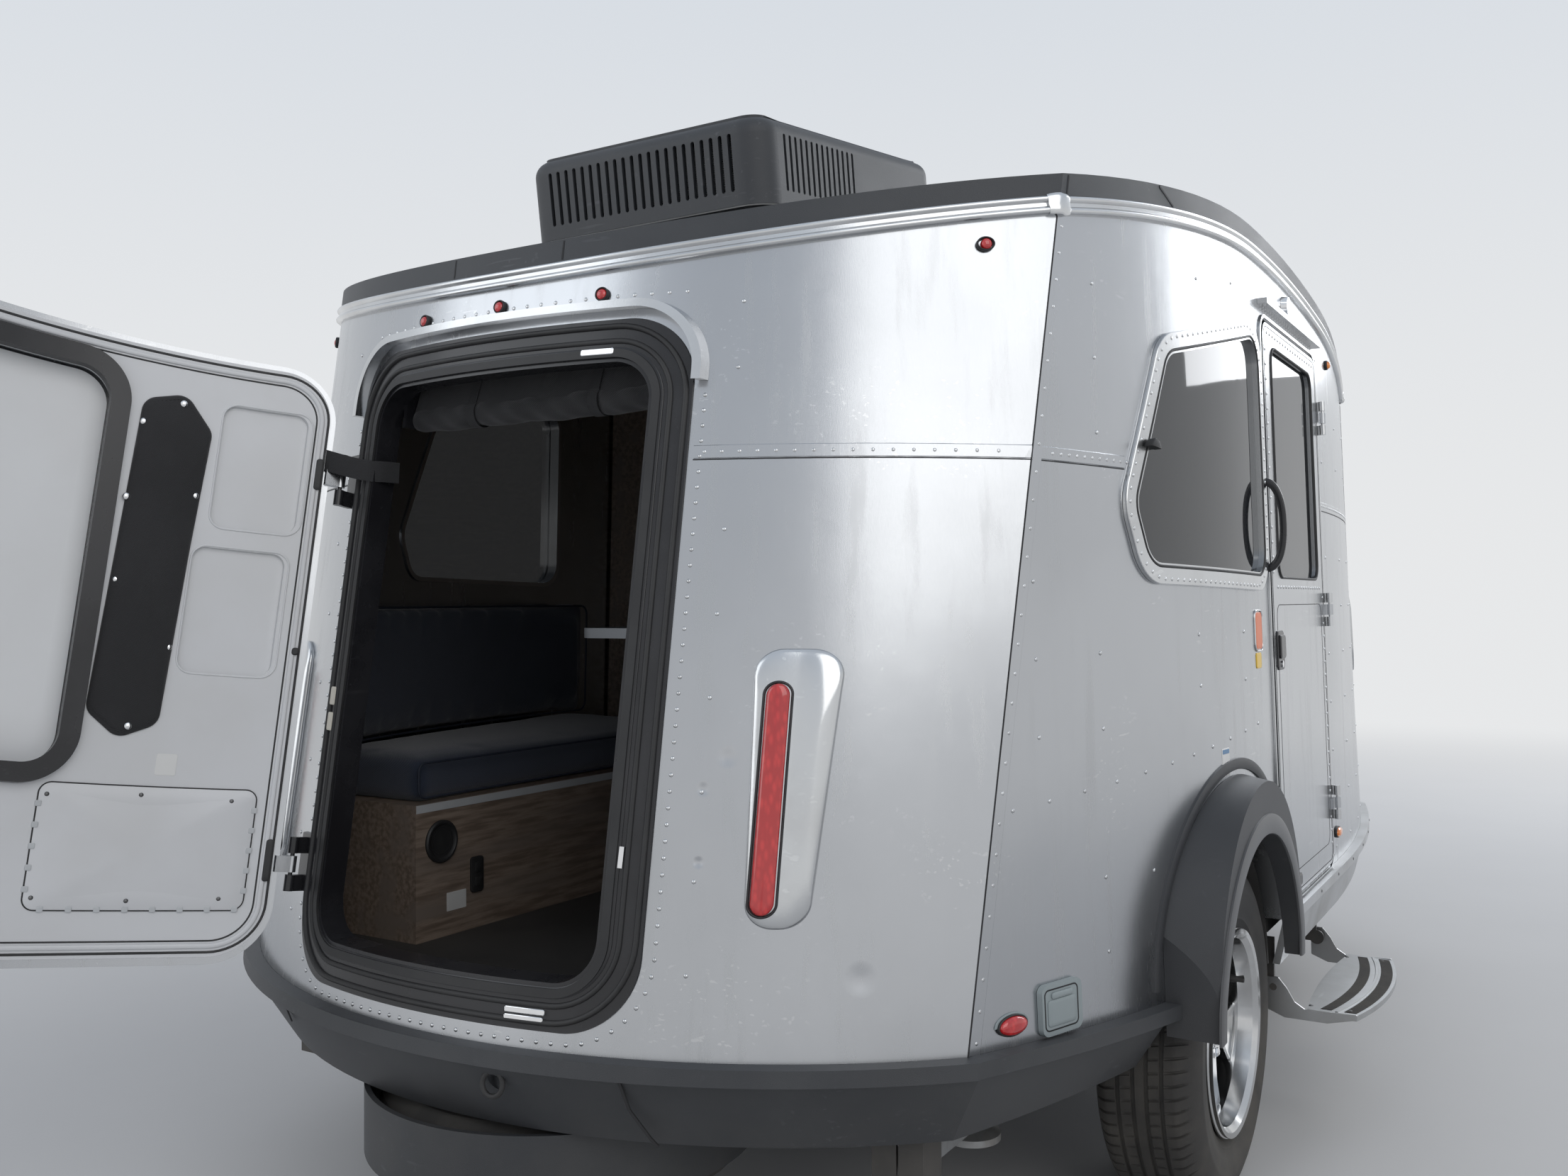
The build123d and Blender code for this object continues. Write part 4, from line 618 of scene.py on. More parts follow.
def make_sheet_group():
    """Rolled aluminium sheet: slow waves of the panels, an upright brushed grain and streaks that run down."""
    tree, given, out = group(
        "rolled_sheet", [("Wave", 1.0), ("Grain", 1.0), ("Marks", 1.0)],
        [("Height", "NodeSocketFloat"), ("Grain", "NodeSocketFloat"), ("Streak", "NodeSocketFloat")],
    )
    place = object_place(tree)
    waves = noise(tree, stretched(tree, place, 1.0, 1.0, 0.45), 2.1, 1.0, 0.4)
    small = noise(tree, place, 9.0, 1.0, 0.4)
    grain = noise(tree, stretched(tree, place, 60.0, 60.0, 1.6), 14.0, 3.0)
    streak = spread(tree, noise(tree, stretched(tree, place, 14.0, 14.0, 0.8), 2.0, 4.0), 0.5, 0.78)
    marks = maths(tree, "MULTIPLY", streak, given.outputs["Marks"])
    height = maths(tree, "ADD", maths(tree, "MULTIPLY", waves, 1.0), maths(tree, "MULTIPLY", small, 0.06))
    tree.links.new(maths(tree, "MULTIPLY", height, given.outputs["Wave"]), out.inputs["Height"])
    tree.links.new(maths(tree, "MULTIPLY", grain, given.outputs["Grain"]), out.inputs["Grain"])
    tree.links.new(marks, out.inputs["Streak"])
    return tree


def make_dent_group():
    """Height of small round dents: a smooth hollow round each of a few places on the tail."""
    tree, given, out = group("small_dents", [("Depth", 1.0)], [("Height", "NodeSocketFloat")])
    place = object_place(tree)
    total = None
    for centre, reach in DENTS:
        far = node(tree, "ShaderNodeVectorMath", {0: place, 1: centre}, operation="DISTANCE").outputs["Value"]
        hollow = spread(tree, far, 0.0, reach, 1.0, 0.0)
        total = hollow if total is None else maths(tree, "ADD", total, hollow)
    tree.links.new(
        maths(tree, "MULTIPLY", total, maths(tree, "MULTIPLY", given.outputs["Depth"], -1.0)), out.inputs["Height"],
    )
    return tree


def dent_places():
    """Places of the tail's dents, in metres of the shared frame."""
    spots = ((-468, 930, 0.014), (-470, 816, 0.012), (-500, 980, 0.02), (-705, 640, 0.03))
    return [(tuple((on_tail(y, z)[0] - TAIL) / 1000.0), reach) for y, z, reach in spots]


DENTS = dent_places()
GROUPS = {}
FINISH = {}


def placed_group(tree, name, values):
    return node(tree, "ShaderNodeGroup", values, node_tree=GROUPS[name]).outputs


def used_surface(tree, colour, stain, scale, share, grain, depth, rough, swing, dust):
    """Outputs of the used surface group with its values in the order of the PLAIN table."""
    return placed_group(tree, "used_surface", {
        "Colour": rgba(colour), "Stain": rgba(stain), "Stain Scale": scale, "Stain Share": share, "Grain Scale": grain,
        "Grain Depth": depth, "Roughness": rough, "Roughness Spread": swing, "Dust": dust,
    })


def blank(name):
    """A material with one Principled shader; returns its tree and the shader."""
    made = bpy.data.materials.new(name)
    made.use_nodes = True
    made.node_tree.nodes.clear()
    shader = made.node_tree.nodes.new("ShaderNodeBsdfPrincipled")
    end = made.node_tree.nodes.new("ShaderNodeOutputMaterial")
    made.node_tree.links.new(shader.outputs[0], end.inputs["Surface"])
    FINISH[name] = made
    return made.node_tree, shader


def relief(tree, shader, height, strength, distance, under=None):
    """Bump of a height on a shader, over another bump when one is given."""
    values = {"Height": height, "Strength": strength, "Distance": distance}
    if under is not None:
        values["Normal"] = under
    wire(tree, shader, {"Normal": node(tree, "ShaderNodeBump", values).outputs[0]})


def rgba(colour):
    """A colour with full alpha."""
    return (colour[0], colour[1], colour[2], 1.0)


def plain_finish(name, colour, stain, metallic, rough, scale, share, grain, depth, swing, dust, bump, scratch=0.0):
    """Finish from the used surface group, with scratches where the real surface shows them."""
    tree, shader = blank(name)
    out = used_surface(tree, colour, stain, scale, share, grain, depth, rough, swing, dust)
    colour_out = out["Colour"]
    if scratch:
        mask = placed_group(tree, "fine_scratches", {"Scale": 5.0, "Share": scratch})["Mask"]
        colour_out = mixed(tree, mask, colour_out, rgba([min(1.0, 0.06 + 1.5 * c) for c in colour]))
    wire(tree, shader, {"Metallic": metallic, "Base Color": colour_out, "Roughness": out["Roughness"]})
    relief(tree, shader, out["Height"], bump, 0.001)
    return shader


# name: colour, stain, metallic, roughness, stain scale, stain share, grain scale, grain depth, roughness swing,
# dust, bump, scratches
PLAIN = {
    "roof_white": ((0.62, 0.62, 0.60), (0.45, 0.44, 0.40), 0.0, 0.45, 2.0, 0.5, 300, 0.3, 0.2, 0.0, 0.2, 0.0),
    "fairing_black": (
        (0.030, 0.033, 0.038), (0.055, 0.058, 0.062), 0.0, 0.50, 3.0, 0.6, 900, 1.0, 0.25, 0.18, 0.45, 0.35,
    ),
    "fender_black": (
        (0.032, 0.034, 0.038), (0.05, 0.052, 0.056), 0.0, 0.46, 4.0, 0.5, 1100, 1.0, 0.15, 0.25, 0.35, 0.2,
    ),
    "flare_lip": ((0.06, 0.062, 0.066), (0.09, 0.092, 0.096), 0.0, 0.34, 4.0, 0.5, 700, 0.4, 0.15, 0.2, 0.1, 0.15),
    "trim_bright": ((0.62, 0.63, 0.64), (0.50, 0.50, 0.50), 1.0, 0.22, 5.0, 0.6, 260, 0.5, 0.22, 0.1, 0.12, 0.2),
    "sill_silver": ((0.56, 0.57, 0.58), (0.42, 0.42, 0.41), 1.0, 0.34, 5.0, 0.6, 260, 0.5, 0.25, 0.35, 0.15, 0.3),
    "chassis_black": ((0.02, 0.02, 0.022), (0.05, 0.046, 0.042), 0.0, 0.42, 4.0, 0.5, 350, 0.5, 0.3, 0.5, 0.3, 0.2),
    "rubber_black": ((0.014, 0.014, 0.015), (0.035, 0.035, 0.035), 0.0, 0.55, 8.0, 0.5, 600, 0.4, 0.2, 0.2, 0.15, 0.0),
    "frame_black": ((0.012, 0.012, 0.014), (0.03, 0.03, 0.033), 0.0, 0.26, 6.0, 0.5, 500, 0.3, 0.2, 0.1, 0.08, 0.15),
    "liner_white": ((0.66, 0.67, 0.68), (0.58, 0.58, 0.57), 0.0, 0.30, 2.5, 0.5, 420, 0.35, 0.15, 0.05, 0.06, 0.0),
    "table_grey": ((0.20, 0.22, 0.235), (0.16, 0.175, 0.19), 0.0, 0.42, 5.0, 0.5, 500, 0.4, 0.1, 0.0, 0.08, 0.0),
    "floor_dark": ((0.035, 0.034, 0.033), (0.06, 0.057, 0.053), 0.0, 0.62, 5.0, 0.6, 400, 0.8, 0.2, 0.1, 0.25, 0.0),
    "chrome": ((0.78, 0.78, 0.79), (0.66, 0.66, 0.66), 1.0, 0.06, 5.0, 0.4, 200, 0.2, 0.06, 0.0, 0.02, 0.0),
    "pale_grey": ((0.52, 0.54, 0.55), (0.44, 0.45, 0.45), 0.0, 0.40, 6.0, 0.4, 600, 0.6, 0.15, 0.15, 0.15, 0.0),
    "steel_galvanised": ((0.40, 0.41, 0.42), (0.28, 0.27, 0.26), 1.0, 0.48, 24.0, 0.8, 300, 0.5, 0.3, 0.5, 0.2, 0.2),
    "locker_black": ((0.035, 0.036, 0.04), (0.055, 0.056, 0.06), 0.0, 0.5, 3.0, 0.6, 900, 1.0, 0.2, 0.2, 0.4, 0.25),
    "badge_orange": ((0.78, 0.16, 0.035), (0.70, 0.13, 0.03), 0.0, 0.3, 9.0, 0.4, 500, 0.3, 0.1, 0.0, 0.05, 0.0),
    "badge_yellow": ((0.80, 0.52, 0.05), (0.72, 0.45, 0.04), 0.0, 0.3, 9.0, 0.4, 500, 0.3, 0.1, 0.0, 0.05, 0.0),
    "label_blank": ((0.72, 0.72, 0.70), (0.64, 0.64, 0.62), 0.0, 0.4, 9.0, 0.4, 500, 0.3, 0.1, 0.0, 0.05, 0.0),
    "label_blue": ((0.12, 0.25, 0.42), (0.10, 0.21, 0.36), 0.0, 0.4, 9.0, 0.4, 500, 0.3, 0.1, 0.0, 0.05, 0.0),
    "screw_dark": ((0.16, 0.16, 0.16), (0.10, 0.10, 0.10), 1.0, 0.45, 30.0, 0.6, 400, 0.3, 0.2, 0.2, 0.1, 0.0),
    "rivet_metal": ((0.60, 0.61, 0.62), (0.42, 0.42, 0.42), 1.0, 0.26, 40.0, 0.6, 300, 0.3, 0.2, 0.2, 0.05, 0.0),
    "plate_cream": ((0.68, 0.64, 0.54), (0.60, 0.56, 0.47), 0.0, 0.4, 12.0, 0.5, 400, 0.3, 0.1, 0.0, 0.05, 0.0),
    "seam_dark": ((0.045, 0.045, 0.048), (0.02, 0.02, 0.02), 0.6, 0.6, 12.0, 0.6, 300, 0.4, 0.1, 0.1, 0.1, 0.0),
    "inset_white": ((0.74, 0.75, 0.75), (0.68, 0.68, 0.67), 0.0, 0.45, 3.0, 0.4, 500, 0.4, 0.1, 0.0, 0.05, 0.0),
    "grip_black": ((0.02, 0.02, 0.021), (0.045, 0.043, 0.04), 0.0, 0.85, 14.0, 0.5, 1600, 1.2, 0.1, 0.5, 0.7, 0.0),
    "inlet_grey": ((0.30, 0.345, 0.35), (0.25, 0.285, 0.29), 0.0, 0.38, 6.0, 0.4, 600, 0.6, 0.15, 0.1, 0.12, 0.0),
    "gasket_pale": ((0.42, 0.43, 0.44), (0.30, 0.30, 0.30), 0.0, 0.6, 12.0, 0.7, 500, 0.6, 0.2, 0.1, 0.2, 0.0),
    "piping_navy": ((0.020, 0.026, 0.042), (0.03, 0.038, 0.06), 0.0, 0.7, 9.0, 0.4, 900, 0.5, 0.1, 0.0, 0.1, 0.0),
    "fin_metal": ((0.30, 0.31, 0.32), (0.18, 0.18, 0.18), 1.0, 0.5, 20.0, 0.6, 400, 0.4, 0.2, 0.2, 0.2, 0.0),
}


def make_finishes(cushion, lens):
    """Builds the shader groups, then every finish."""
    for name, maker in (
        ("used_surface", make_surface_group), ("fine_scratches", make_scratch_group),
        ("woven_threads", make_weave_group), ("rolled_sheet", make_sheet_group), ("small_dents", make_dent_group),
    ):
        GROUPS[name] = maker()
    for name, row in PLAIN.items():
        plain_finish(name, *row)

    # riveted aluminium skin
    tree, shader = blank("shell_aluminium")
    shader.inputs["Metallic"].default_value = 1.0
    used = used_surface(tree, (0.50, 0.512, 0.53), (0.43, 0.44, 0.455), 1.4, 0.6, 420.0, 0.1, 0.235, 0.10, 0.22)
    sheet = placed_group(tree, "rolled_sheet", {"Wave": 1.0, "Grain": 1.0, "Marks": 1.0})
    streaked = mixed(tree, maths(tree, "MULTIPLY", sheet["Streak"], 0.16), used["Colour"], rgba((0.40, 0.40, 0.39)))
    scratch = placed_group(tree, "fine_scratches", {"Scale": 7.0, "Share": 0.3})["Mask"]
    tree.links.new(mixed(tree, scratch, streaked, rgba((0.75, 0.75, 0.75))), shader.inputs["Base Color"])
    grainy = maths(
        tree, "ADD", used["Roughness"], maths(tree, "MULTIPLY", maths(tree, "SUBTRACT", sheet["Grain"], 0.5), 0.10),
    )
    tree.links.new(
        maths(tree, "ADD", grainy, maths(tree, "MULTIPLY", sheet["Streak"], 0.08)), shader.inputs["Roughness"],
    )
    waves = node(tree, "ShaderNodeBump", {"Height": sheet["Height"], "Strength": 0.55, "Distance": 0.012}).outputs[0]
    dents = placed_group(tree, "small_dents", {"Depth": 1.0})["Height"]
    values = {"Height": dents, "Strength": 0.9, "Distance": 0.002, "Normal": waves}
    hollow = node(tree, "ShaderNodeBump", values).outputs[0]
    relief(tree, shader, sheet["Grain"], 0.06, 0.0008, hollow)

    # polished wheel metal
    tree, shader = blank("wheel_polished")
    used = used_surface(tree, (0.66, 0.665, 0.67), (0.45, 0.45, 0.45), 7.0, 0.5, 300.0, 0.2, 0.12, 0.12, 0.10)
    wire(tree, shader, {"Metallic": 1.0, "Base Color": used["Colour"], "Roughness": used["Roughness"]})
    relief(tree, shader, used["Height"], 0.05, 0.001)

    # window glass seen against a dark cabin
    for name, tone, rough in (("glass_dark", (0.012, 0.014, 0.017), 0.02), ("glass_door", (0.010, 0.012, 0.015), 0.03)):
        shader = plain_finish(name, tone, (0.02, 0.022, 0.025), 0.0, rough, 3.0, 0.5, 250, 0.1, 0.02, 0.1, 0.02)
        wire(None, shader, {"Coat Weight": 0.0, "Alpha": 0.86, "Specular IOR Level": 0.9})

    # lenses: clear coloured plastic over a reflector pattern, with a faint painted glow: the emission stands in for
    # daylight caught in the reflector
    for name, deep, bright in (
        ("lens_red", lens, (0.55, 0.022, 0.022)), ("lens_orange", (0.66, 0.18, 0.02), (0.80, 0.26, 0.04)),
    ):
        tree, shader = blank(name)
        place = object_place(tree)
        cells = node(
            tree, "ShaderNodeTexVoronoi", {"Vector": stretched(tree, place, 1.0, 1.0, 0.4), "Scale": 130.0},
            feature="F1",
        )
        colour = mixed(tree, spread(tree, cells.outputs["Distance"], 0.1, 0.7), rgba(bright), rgba(deep))
        # Emission Strength 0.12 is a painted glow in the lens colour, not light from a lamp
        wire(tree, shader, {
            "Base Color": colour, "Emission Color": colour, "Emission Strength": 0.12, "Roughness": 0.12,
            "Coat Weight": 1.0, "Coat Roughness": 0.04,
        })
        relief(tree, shader, cells.outputs["Distance"], 0.12, 0.001)

    # cloths
    for name, dark, pale, threads, bump, sheen in (
        ("fabric_navy", cushion, (0.032, 0.044, 0.075), 1500.0, 0.35, 0.4),
        ("fabric_black", (0.010, 0.010, 0.011), (0.032, 0.032, 0.034), 1900.0, 0.45, 0.25),
        ("webbing_black", (0.008, 0.008, 0.009), (0.026, 0.026, 0.028), 2600.0, 0.6, 0.15),
    ):
        tree, shader = blank(name)
        weave = placed_group(tree, "woven_threads", {"Threads": threads, "Slub": 0.5})
        used = used_surface(tree, dark, pale, 6.0, 0.4, 700.0, 0.4, 0.86, 0.1, 0.0)
        threads_over = mixed(tree, maths(tree, "MULTIPLY", weave["Mask"], 0.5), used["Colour"], rgba(pale))
        wire(tree, shader, {
            "Base Color": threads_over, "Roughness": used["Roughness"], "Sheen Weight": sheen, "Sheen Roughness": 0.5,
        })
        relief(tree, shader, weave["Height"], bump, 0.0006)

    # wood laminate: long grain lines with slow bands along the bench
    tree, shader = blank("wood_laminate")
    place = object_place(tree)
    grain = noise(tree, stretched(tree, place, 1.2, 14.0, 14.0), 7.0, 6.0, 0.6)
    bands = noise(tree, stretched(tree, place, 0.6, 5.0, 5.0), 3.0, 3.0)
    tone = mixed(tree, spread(tree, grain, 0.35, 0.65), rgba((0.165, 0.122, 0.092)), rgba((0.30, 0.235, 0.185)))
    tree.links.new(
        mixed(tree, spread(tree, bands, 0.45, 0.7), tone, rgba((0.22, 0.18, 0.15))), shader.inputs["Base Color"],
    )
    tree.links.new(spread(tree, grain, 0.3, 0.7, 0.38, 0.52), shader.inputs["Roughness"])
    relief(tree, shader, grain, 0.15, 0.0006)

    # tyre rubber
    plain_finish("tyre", (0.016, 0.016, 0.017), (0.04, 0.038, 0.035), 0.0, 0.72, 9.0, 0.6, 380, 0.8, 0.15, 0.35, 0.3)


NODE_FINISH = {
    "fenders": "fender_black", "window_frames": "trim_bright", "entry_door_frame": "trim_bright",
    "power_inlet": "inlet_grey", "roof_unit_gasket": "gasket_pale", "entry_door_glass": "glass_door",
    "wheel_housings": "floor_dark",
}


def dress_nodes():
    """Gives every CAD node the finish of its slot."""
    slots = {row["node"]: row["material_slot"] for row in frame["record"]["subparts"]}
    for name, made in NODES.items():
        finish = FINISH[NODE_FINISH.get(name, slots[name])]
        made.data.materials.clear()
        made.data.materials.append(finish)


# ---- riveted skin ----
def spaced(points, spacing):
    """Stations at an even distance along a line of points."""
    steps = np.linalg.norm(np.diff(points, axis=0), axis=1)
    run = np.concatenate([[0.0], np.cumsum(steps)])
    count = max(2, int(round(run[-1] / spacing)) + 1)
    at = np.linspace(0, run[-1], count)
    return np.stack([np.interp(at, run, points[:, n]) for n in range(points.shape[1])], -1)


def spaced_ring(loop, spacing):
    """Stations at an even distance round a closed line of points."""
    return spaced(np.concatenate([loop, loop[:1]]), spacing)[:-1]


def both_sides(placed):
    """Frames together with their mirror on the other side."""
    point, along, up, normal = (np.reshape(v, (-1, 3)) for v in placed)
    flip = np.array([1.0, -1.0, 1.0])
    return tuple(np.concatenate([a, b]) for a, b in (
        (point, point * flip), (along, -along * flip), (up, up * flip), (normal, normal * flip)))


def corner_u(which, z, shift):
    """u a distance beyond a corner seam, from the seam's u and the local speed of the plan."""
    z = np.asarray(z, float)
    base = np.full(z.shape, float(which))
    step = 1e-3
    speed = np.linalg.norm(skin(base + step, z) - skin(base, z), axis=-1) / step
    return base + shift / speed


def rivet_places(spacing):
    """Frames of every skin rivet: seam row, corner seams, hatch and window surrounds, and the columns over the ribs."""
    groups = []
    tail_y = -spaced(np.array([[424.0], [838.0]]), spacing)[:, 0]
    groups.append(both_sides(on_tail(tail_y, ROW_Z)))
    for low, high, left in ((588, 806, False), (588, 806, True), (1562, 3270, True), (2262, 3270, False)):
        x = spaced(np.array([[low], [high]], float), spacing * 0.8)[:, 0]
        groups.append(on_side(x, ROW_Z, 0.0, left))
    for which, shift, top in ((1, 15.0, 1900.0), (4, -15.0, 1840.0)):
        z = np.arange(532.0, top, 48.0)
        u = corner_u(which, z, shift)
        keep = z < under_roof(u, -30.0)
        groups.append(both_sides(frames(u[keep], z[keep])))
    loop = spaced_ring(rounded_loop(-417, 417, 527, 1735, 138, 20, 20), 26.0)
    y, z = loop.T
    hinges = (y > 405) & ((np.abs(z - 740) < 70) | (np.abs(z - 1470) < 70))
    groups.append(at_tail(loop[(z < 1585) & ~hinges]))
    z = np.array([643, 786, 925, 1074, 1209, 1348, 1621, 1735.0])
    groups.append(both_sides(on_tail(-466.0, z)))
    ring = spaced_ring(grown(rounded_polygon(WINDOW_OUTLINE, WINDOW_RADIUS + 22), 24.0), 25.0)
    groups += [on_side(ring[:, 0], ring[:, 1], 8.8), on_side(ring[:, 0], ring[:, 1], 8.8, True)]
    columns = []
    for x, heights in (
        (700, (1003, 1135)), (714, (1525, 1658, 1790)), (528, (1000, 1130, 1260)), (690, (618, 746)), (846, (611, 735)),
        (1068, (1060, 1160)), (1330, (1060, 1160)), (1120, (1870,)), (1330, (1900,)),
    ):
        columns += [(x, z) for z in heights]
    columns += [(x, 850.0 + 0.078 * x) for x in (460, 547, 640, 735, 830, 931, 1023, 1115, 1215, 1315, 1415)]
    columns = np.array(columns)
    groups += [at_side(columns), at_left(columns)]
    front = np.array([(x, z) for x in (1560, 1700, 1840, 1980, 2120) for z in (560, 680, 800, 920, 1040, 1160)], float)
    groups.append(at_left(front))
    fore = np.array(
        [(x, z) for x in (2290, 2560, 2830, 3090) for z in (560, 690, 820, 950, 1080, 1210, 1340, 1600, 1720)], float,
    )
    groups += [at_side(fore), at_left(fore)]
    edge = np.array([(2244.0, z) for z in np.arange(545, 1880, 34.0)])
    groups.append(at_side(edge))
    return stacked(*groups)


def grown(loop, reach):
    """Closed outline moved out along its own normals, taken from its neighbours."""
    ahead = np.roll(loop, -1, 0) - np.roll(loop, 1, 0)
    normal = unit(np.stack([ahead[:, 1], -ahead[:, 0]], -1))
    area = np.sum(loop[:, 0] * np.roll(loop[:, 1], -1) - np.roll(loop[:, 0], -1) * loop[:, 1])
    return loop + normal * reach * (1 if area > 0 else -1)


def strip_along(u, z, half, low, high, left=False):
    """Thin strip on the skin along a line of u and heights."""
    return swept_run(frames(u, z, 0.0, left), mirrored((half, low), (half * 0.85, high)))


def build_skin(rivet_size, spacing):
    """Rivets, lap strips over the seams and blank badges of the aluminium skin."""
    dome = dome_template(rivet_size / 2, rivet_size * 0.27)
    places = rivet_places(spacing)
    piece("skin_rivets", scattered(dome, places), OWN, "trim_bright", "rivet_metal")
    door = np.array(
        [(2190.0, z) for z in np.arange(552, 1250, 34.0)] + [(x, 1256.0) for x in np.arange(1640, 2160, 30.0)]
        + [(x, 1842.0) for x in np.arange(1620, 2180, 30.0)] + [(1596.0, z) for z in np.arange(1290, 1830, 34.0)]
    )
    placed = on_side(door[:, 0], door[:, 1], 6.0)
    piece("door_rivets", scattered(dome, placed), "entry_door", "trim_bright", "rivet_metal")

    parts, dark = [], []
    z = np.linspace(514, 1960, 90)
    for which, shift in ((1, 13.0), (4, -13.0)):
        for left in (False, True):
            u = np.full(z.shape, float(which))
            keep = z < under_roof(u, -16.5)
            parts.append(strip_along(corner_u(which, z, shift)[keep], z[keep], 14.0, -0.5, 0.9, left))
            dark.append(strip_along(u[keep], z[keep], 1.3, -0.5, 1.1, left))
    for left in (False, True):
        u = np.linspace(0.0, 1.0, 70)
        keep = -skin(u, SEAM_Z)[:, 1] > 402
        dark.append(strip_along(u[keep], SEAM_Z, 1.1, -0.5, 0.9, left))
        parts.append(strip_along(u[keep], ROW_Z, 12.0, -0.5, 0.8, left))
        for low, high in ((1.0, side_u(796.0, SEAM_Z)), (side_u(2226.0 if not left else 1548.0, SEAM_Z), 4.0)):
            u = np.linspace(float(low), float(high), 60)
            dark.append(strip_along(u, SEAM_Z, 1.1, -0.5, 0.9, left))
            parts.append(strip_along(u, ROW_Z, 12.0, -0.5, 0.8, left))
    piece("seam_laps", joined(parts), OWN, "shell_aluminium", smooth=False)
    piece("seam_lines", joined(dark), OWN, "chassis_black", "seam_dark", smooth=False)

    # blank badges and labels beside the door
    badge = [
        ("badge_orange", rounded_loop(1416, 1474, 1120, 1200, 14), "badge_orange", 2.4),
        ("badge_yellow", rounded_loop(1418, 1462, 1078, 1112, 7), "badge_yellow", 1.8),
        ("label_blank", rounded_loop(1162, 1204, 872, 928, 3), "label_blank", 0.7),
        ("label_band", rounded_loop(1164, 1202, 916, 926, 2), "label_blue", 1.0),
    ]
    for name, loop, finish, high in badge:
        piece(name, plate_on(loop, at_side, -0.3, high, 1.0), OWN, "pale_grey", finish, sharp=40)
    rim = at_side(rounded_loop(1412, 1478, 1116, 1204, 17))
    piece("badge_rim", swept_ring(rim, mirrored((2, -0.3), (1.2, 3.2))), OWN, "trim_bright")


# ---- lamps ----
def build_lamps(ring_width):
    """Crowned tail-lamp housings, lens strips with a dark border, and rims of the round lamps."""
    bezel = rounded_polygon([(-528, 1152), (-658, 1152), (-632, 716), (-543, 716)], 42, 12, 10)
    spread_by = (1.0, 0.99, 0.965, 0.93, 0.88, 0.8, 0.7, 0.58, 0.45, 0.32, 0.18, 0.05)
    centre = np.array([-592.0, 930.0])
    parts = []
    for flip in (1.0, -1.0):
        rings = []
        for n, share in enumerate((1.0,) + spread_by):
            loop = centre + (bezel - centre) * share
            slope = np.clip((-592.0 - loop[:, 0]) / 36.0, 0.0, 1.0)
            crown = 11.0 * math.sqrt(max(0.0, 1 - share**6)) if n else 0.0
            swell = 9.0 * math.sqrt(max(0.0, 1 - share**2)) if n else 0.0
            out = (5.0 if n else -0.2) + crown + swell * slope * slope * (3 - 2 * slope)
            rings.append(raised(at_tail(loop), out[:, None]) * np.array([1.0, flip, 1.0]))
        parts.append(closed_tube(np.stack(rings)))
    housing = piece("tail_lamp_housings", joined(parts), OWN, "trim_bright")
    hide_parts("tail_light_bezels")

    border, lens, screws = [], [], []
    for flip in (1.0, -1.0):
        scale = np.array([1.0, flip, 1.0])
        loop = rounded_loop(-587, -547, 735, 1098, 19.9, 12, 16)
        point, _, _, normal = at_tail(loop)
        border.append(swept_ring((point * scale, normal * scale), mirrored((2.2, -2), (2.2, 18.0), (1.0, 19.2))))
        rings = []
        for share, out in ((1.0, 2.0), (1.0, 20.0), (0.9, 23.5), (0.7, 25.4), (0.35, 26.4)):
            inner = np.array([-567.0, 0.0]) + (loop - np.array([-567.0, 0.0])) * np.array([share * 0.82, 1.0])
            inner[:, 1] = 916.5 + (loop[:, 1] - 916.5) * (1 - (1 - share) * 0.055) * 0.985
            rings.append(raised(at_tail(inner), out) * scale)
        lens.append(closed_tube(np.stack(rings)))
        spots = on_tail(-567.0 * flip, np.array([750.0, 1083.0]), 25.0)
        screws.append(scattered(dome_template(3.2, 1.4, 10), spots))
    piece("tail_lamp_borders", joined(border), OWN, "frame_black")
    piece("tail_lamp_lenses", joined(lens), OWN, "lens_red")
    piece("tail_lamp_screws", joined(screws), OWN, "chassis_black", "screw_dark")

    rims, red, orange = [], [], []
    ring = circle(28)
    profile = mirrored((ring_width / 2, -0.3), (ring_width / 2, 6.0), (0, 8.5))
    lens = dome_template(9.6, 6.5, 20, (1.0, 0.93, 0.75, 0.45), 5.0)
    for y, z in ((-219.0, 1762.0), (0.0, 1762.0), (206.0, 1762.0), (-805.0, 1833.0), (805.0, 1833.0)):
        rims.append(swept_ring(at_tail(np.array([y, z]) + 11.0 * ring), profile))
        red.append(scattered(lens, on_tail(y, z, 5.0)))
    for x, z, across, tall, colour in (
        (436, 546, 31, 16, red), (2296, 598, 31, 14, orange), (2421, 1884, 12, 12, orange),
    ):
        for place in (at_side, at_left):
            middle = np.array([x, z], float)
            rim = place(middle + ring * np.array([across, tall]))
            rims.append(swept_ring(rim, [(a, b * 0.75) for a, b in profile]))
            rings = []
            for share, out in (
                (1.0, -0.3), (1.0, 7.0), (0.93, 9.5), (0.8, 11.5), (0.6, 13.0), (0.35, 13.8), (0.1, 14.0),
            ):
                rings.append(raised(place(middle + ring * np.array([across - 1.5, tall - 1.5]) * share), out))
            colour.append(closed_tube(np.stack(rings)))
    piece("lamp_rims", joined(rims), OWN, "rubber_black")
    lenses = piece("round_lenses", joined(red), OWN, "lens_red", sharp=50)
    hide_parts("lamp_lenses")
    piece("side_lenses", joined(orange), OWN, None, "lens_orange", sharp=50)


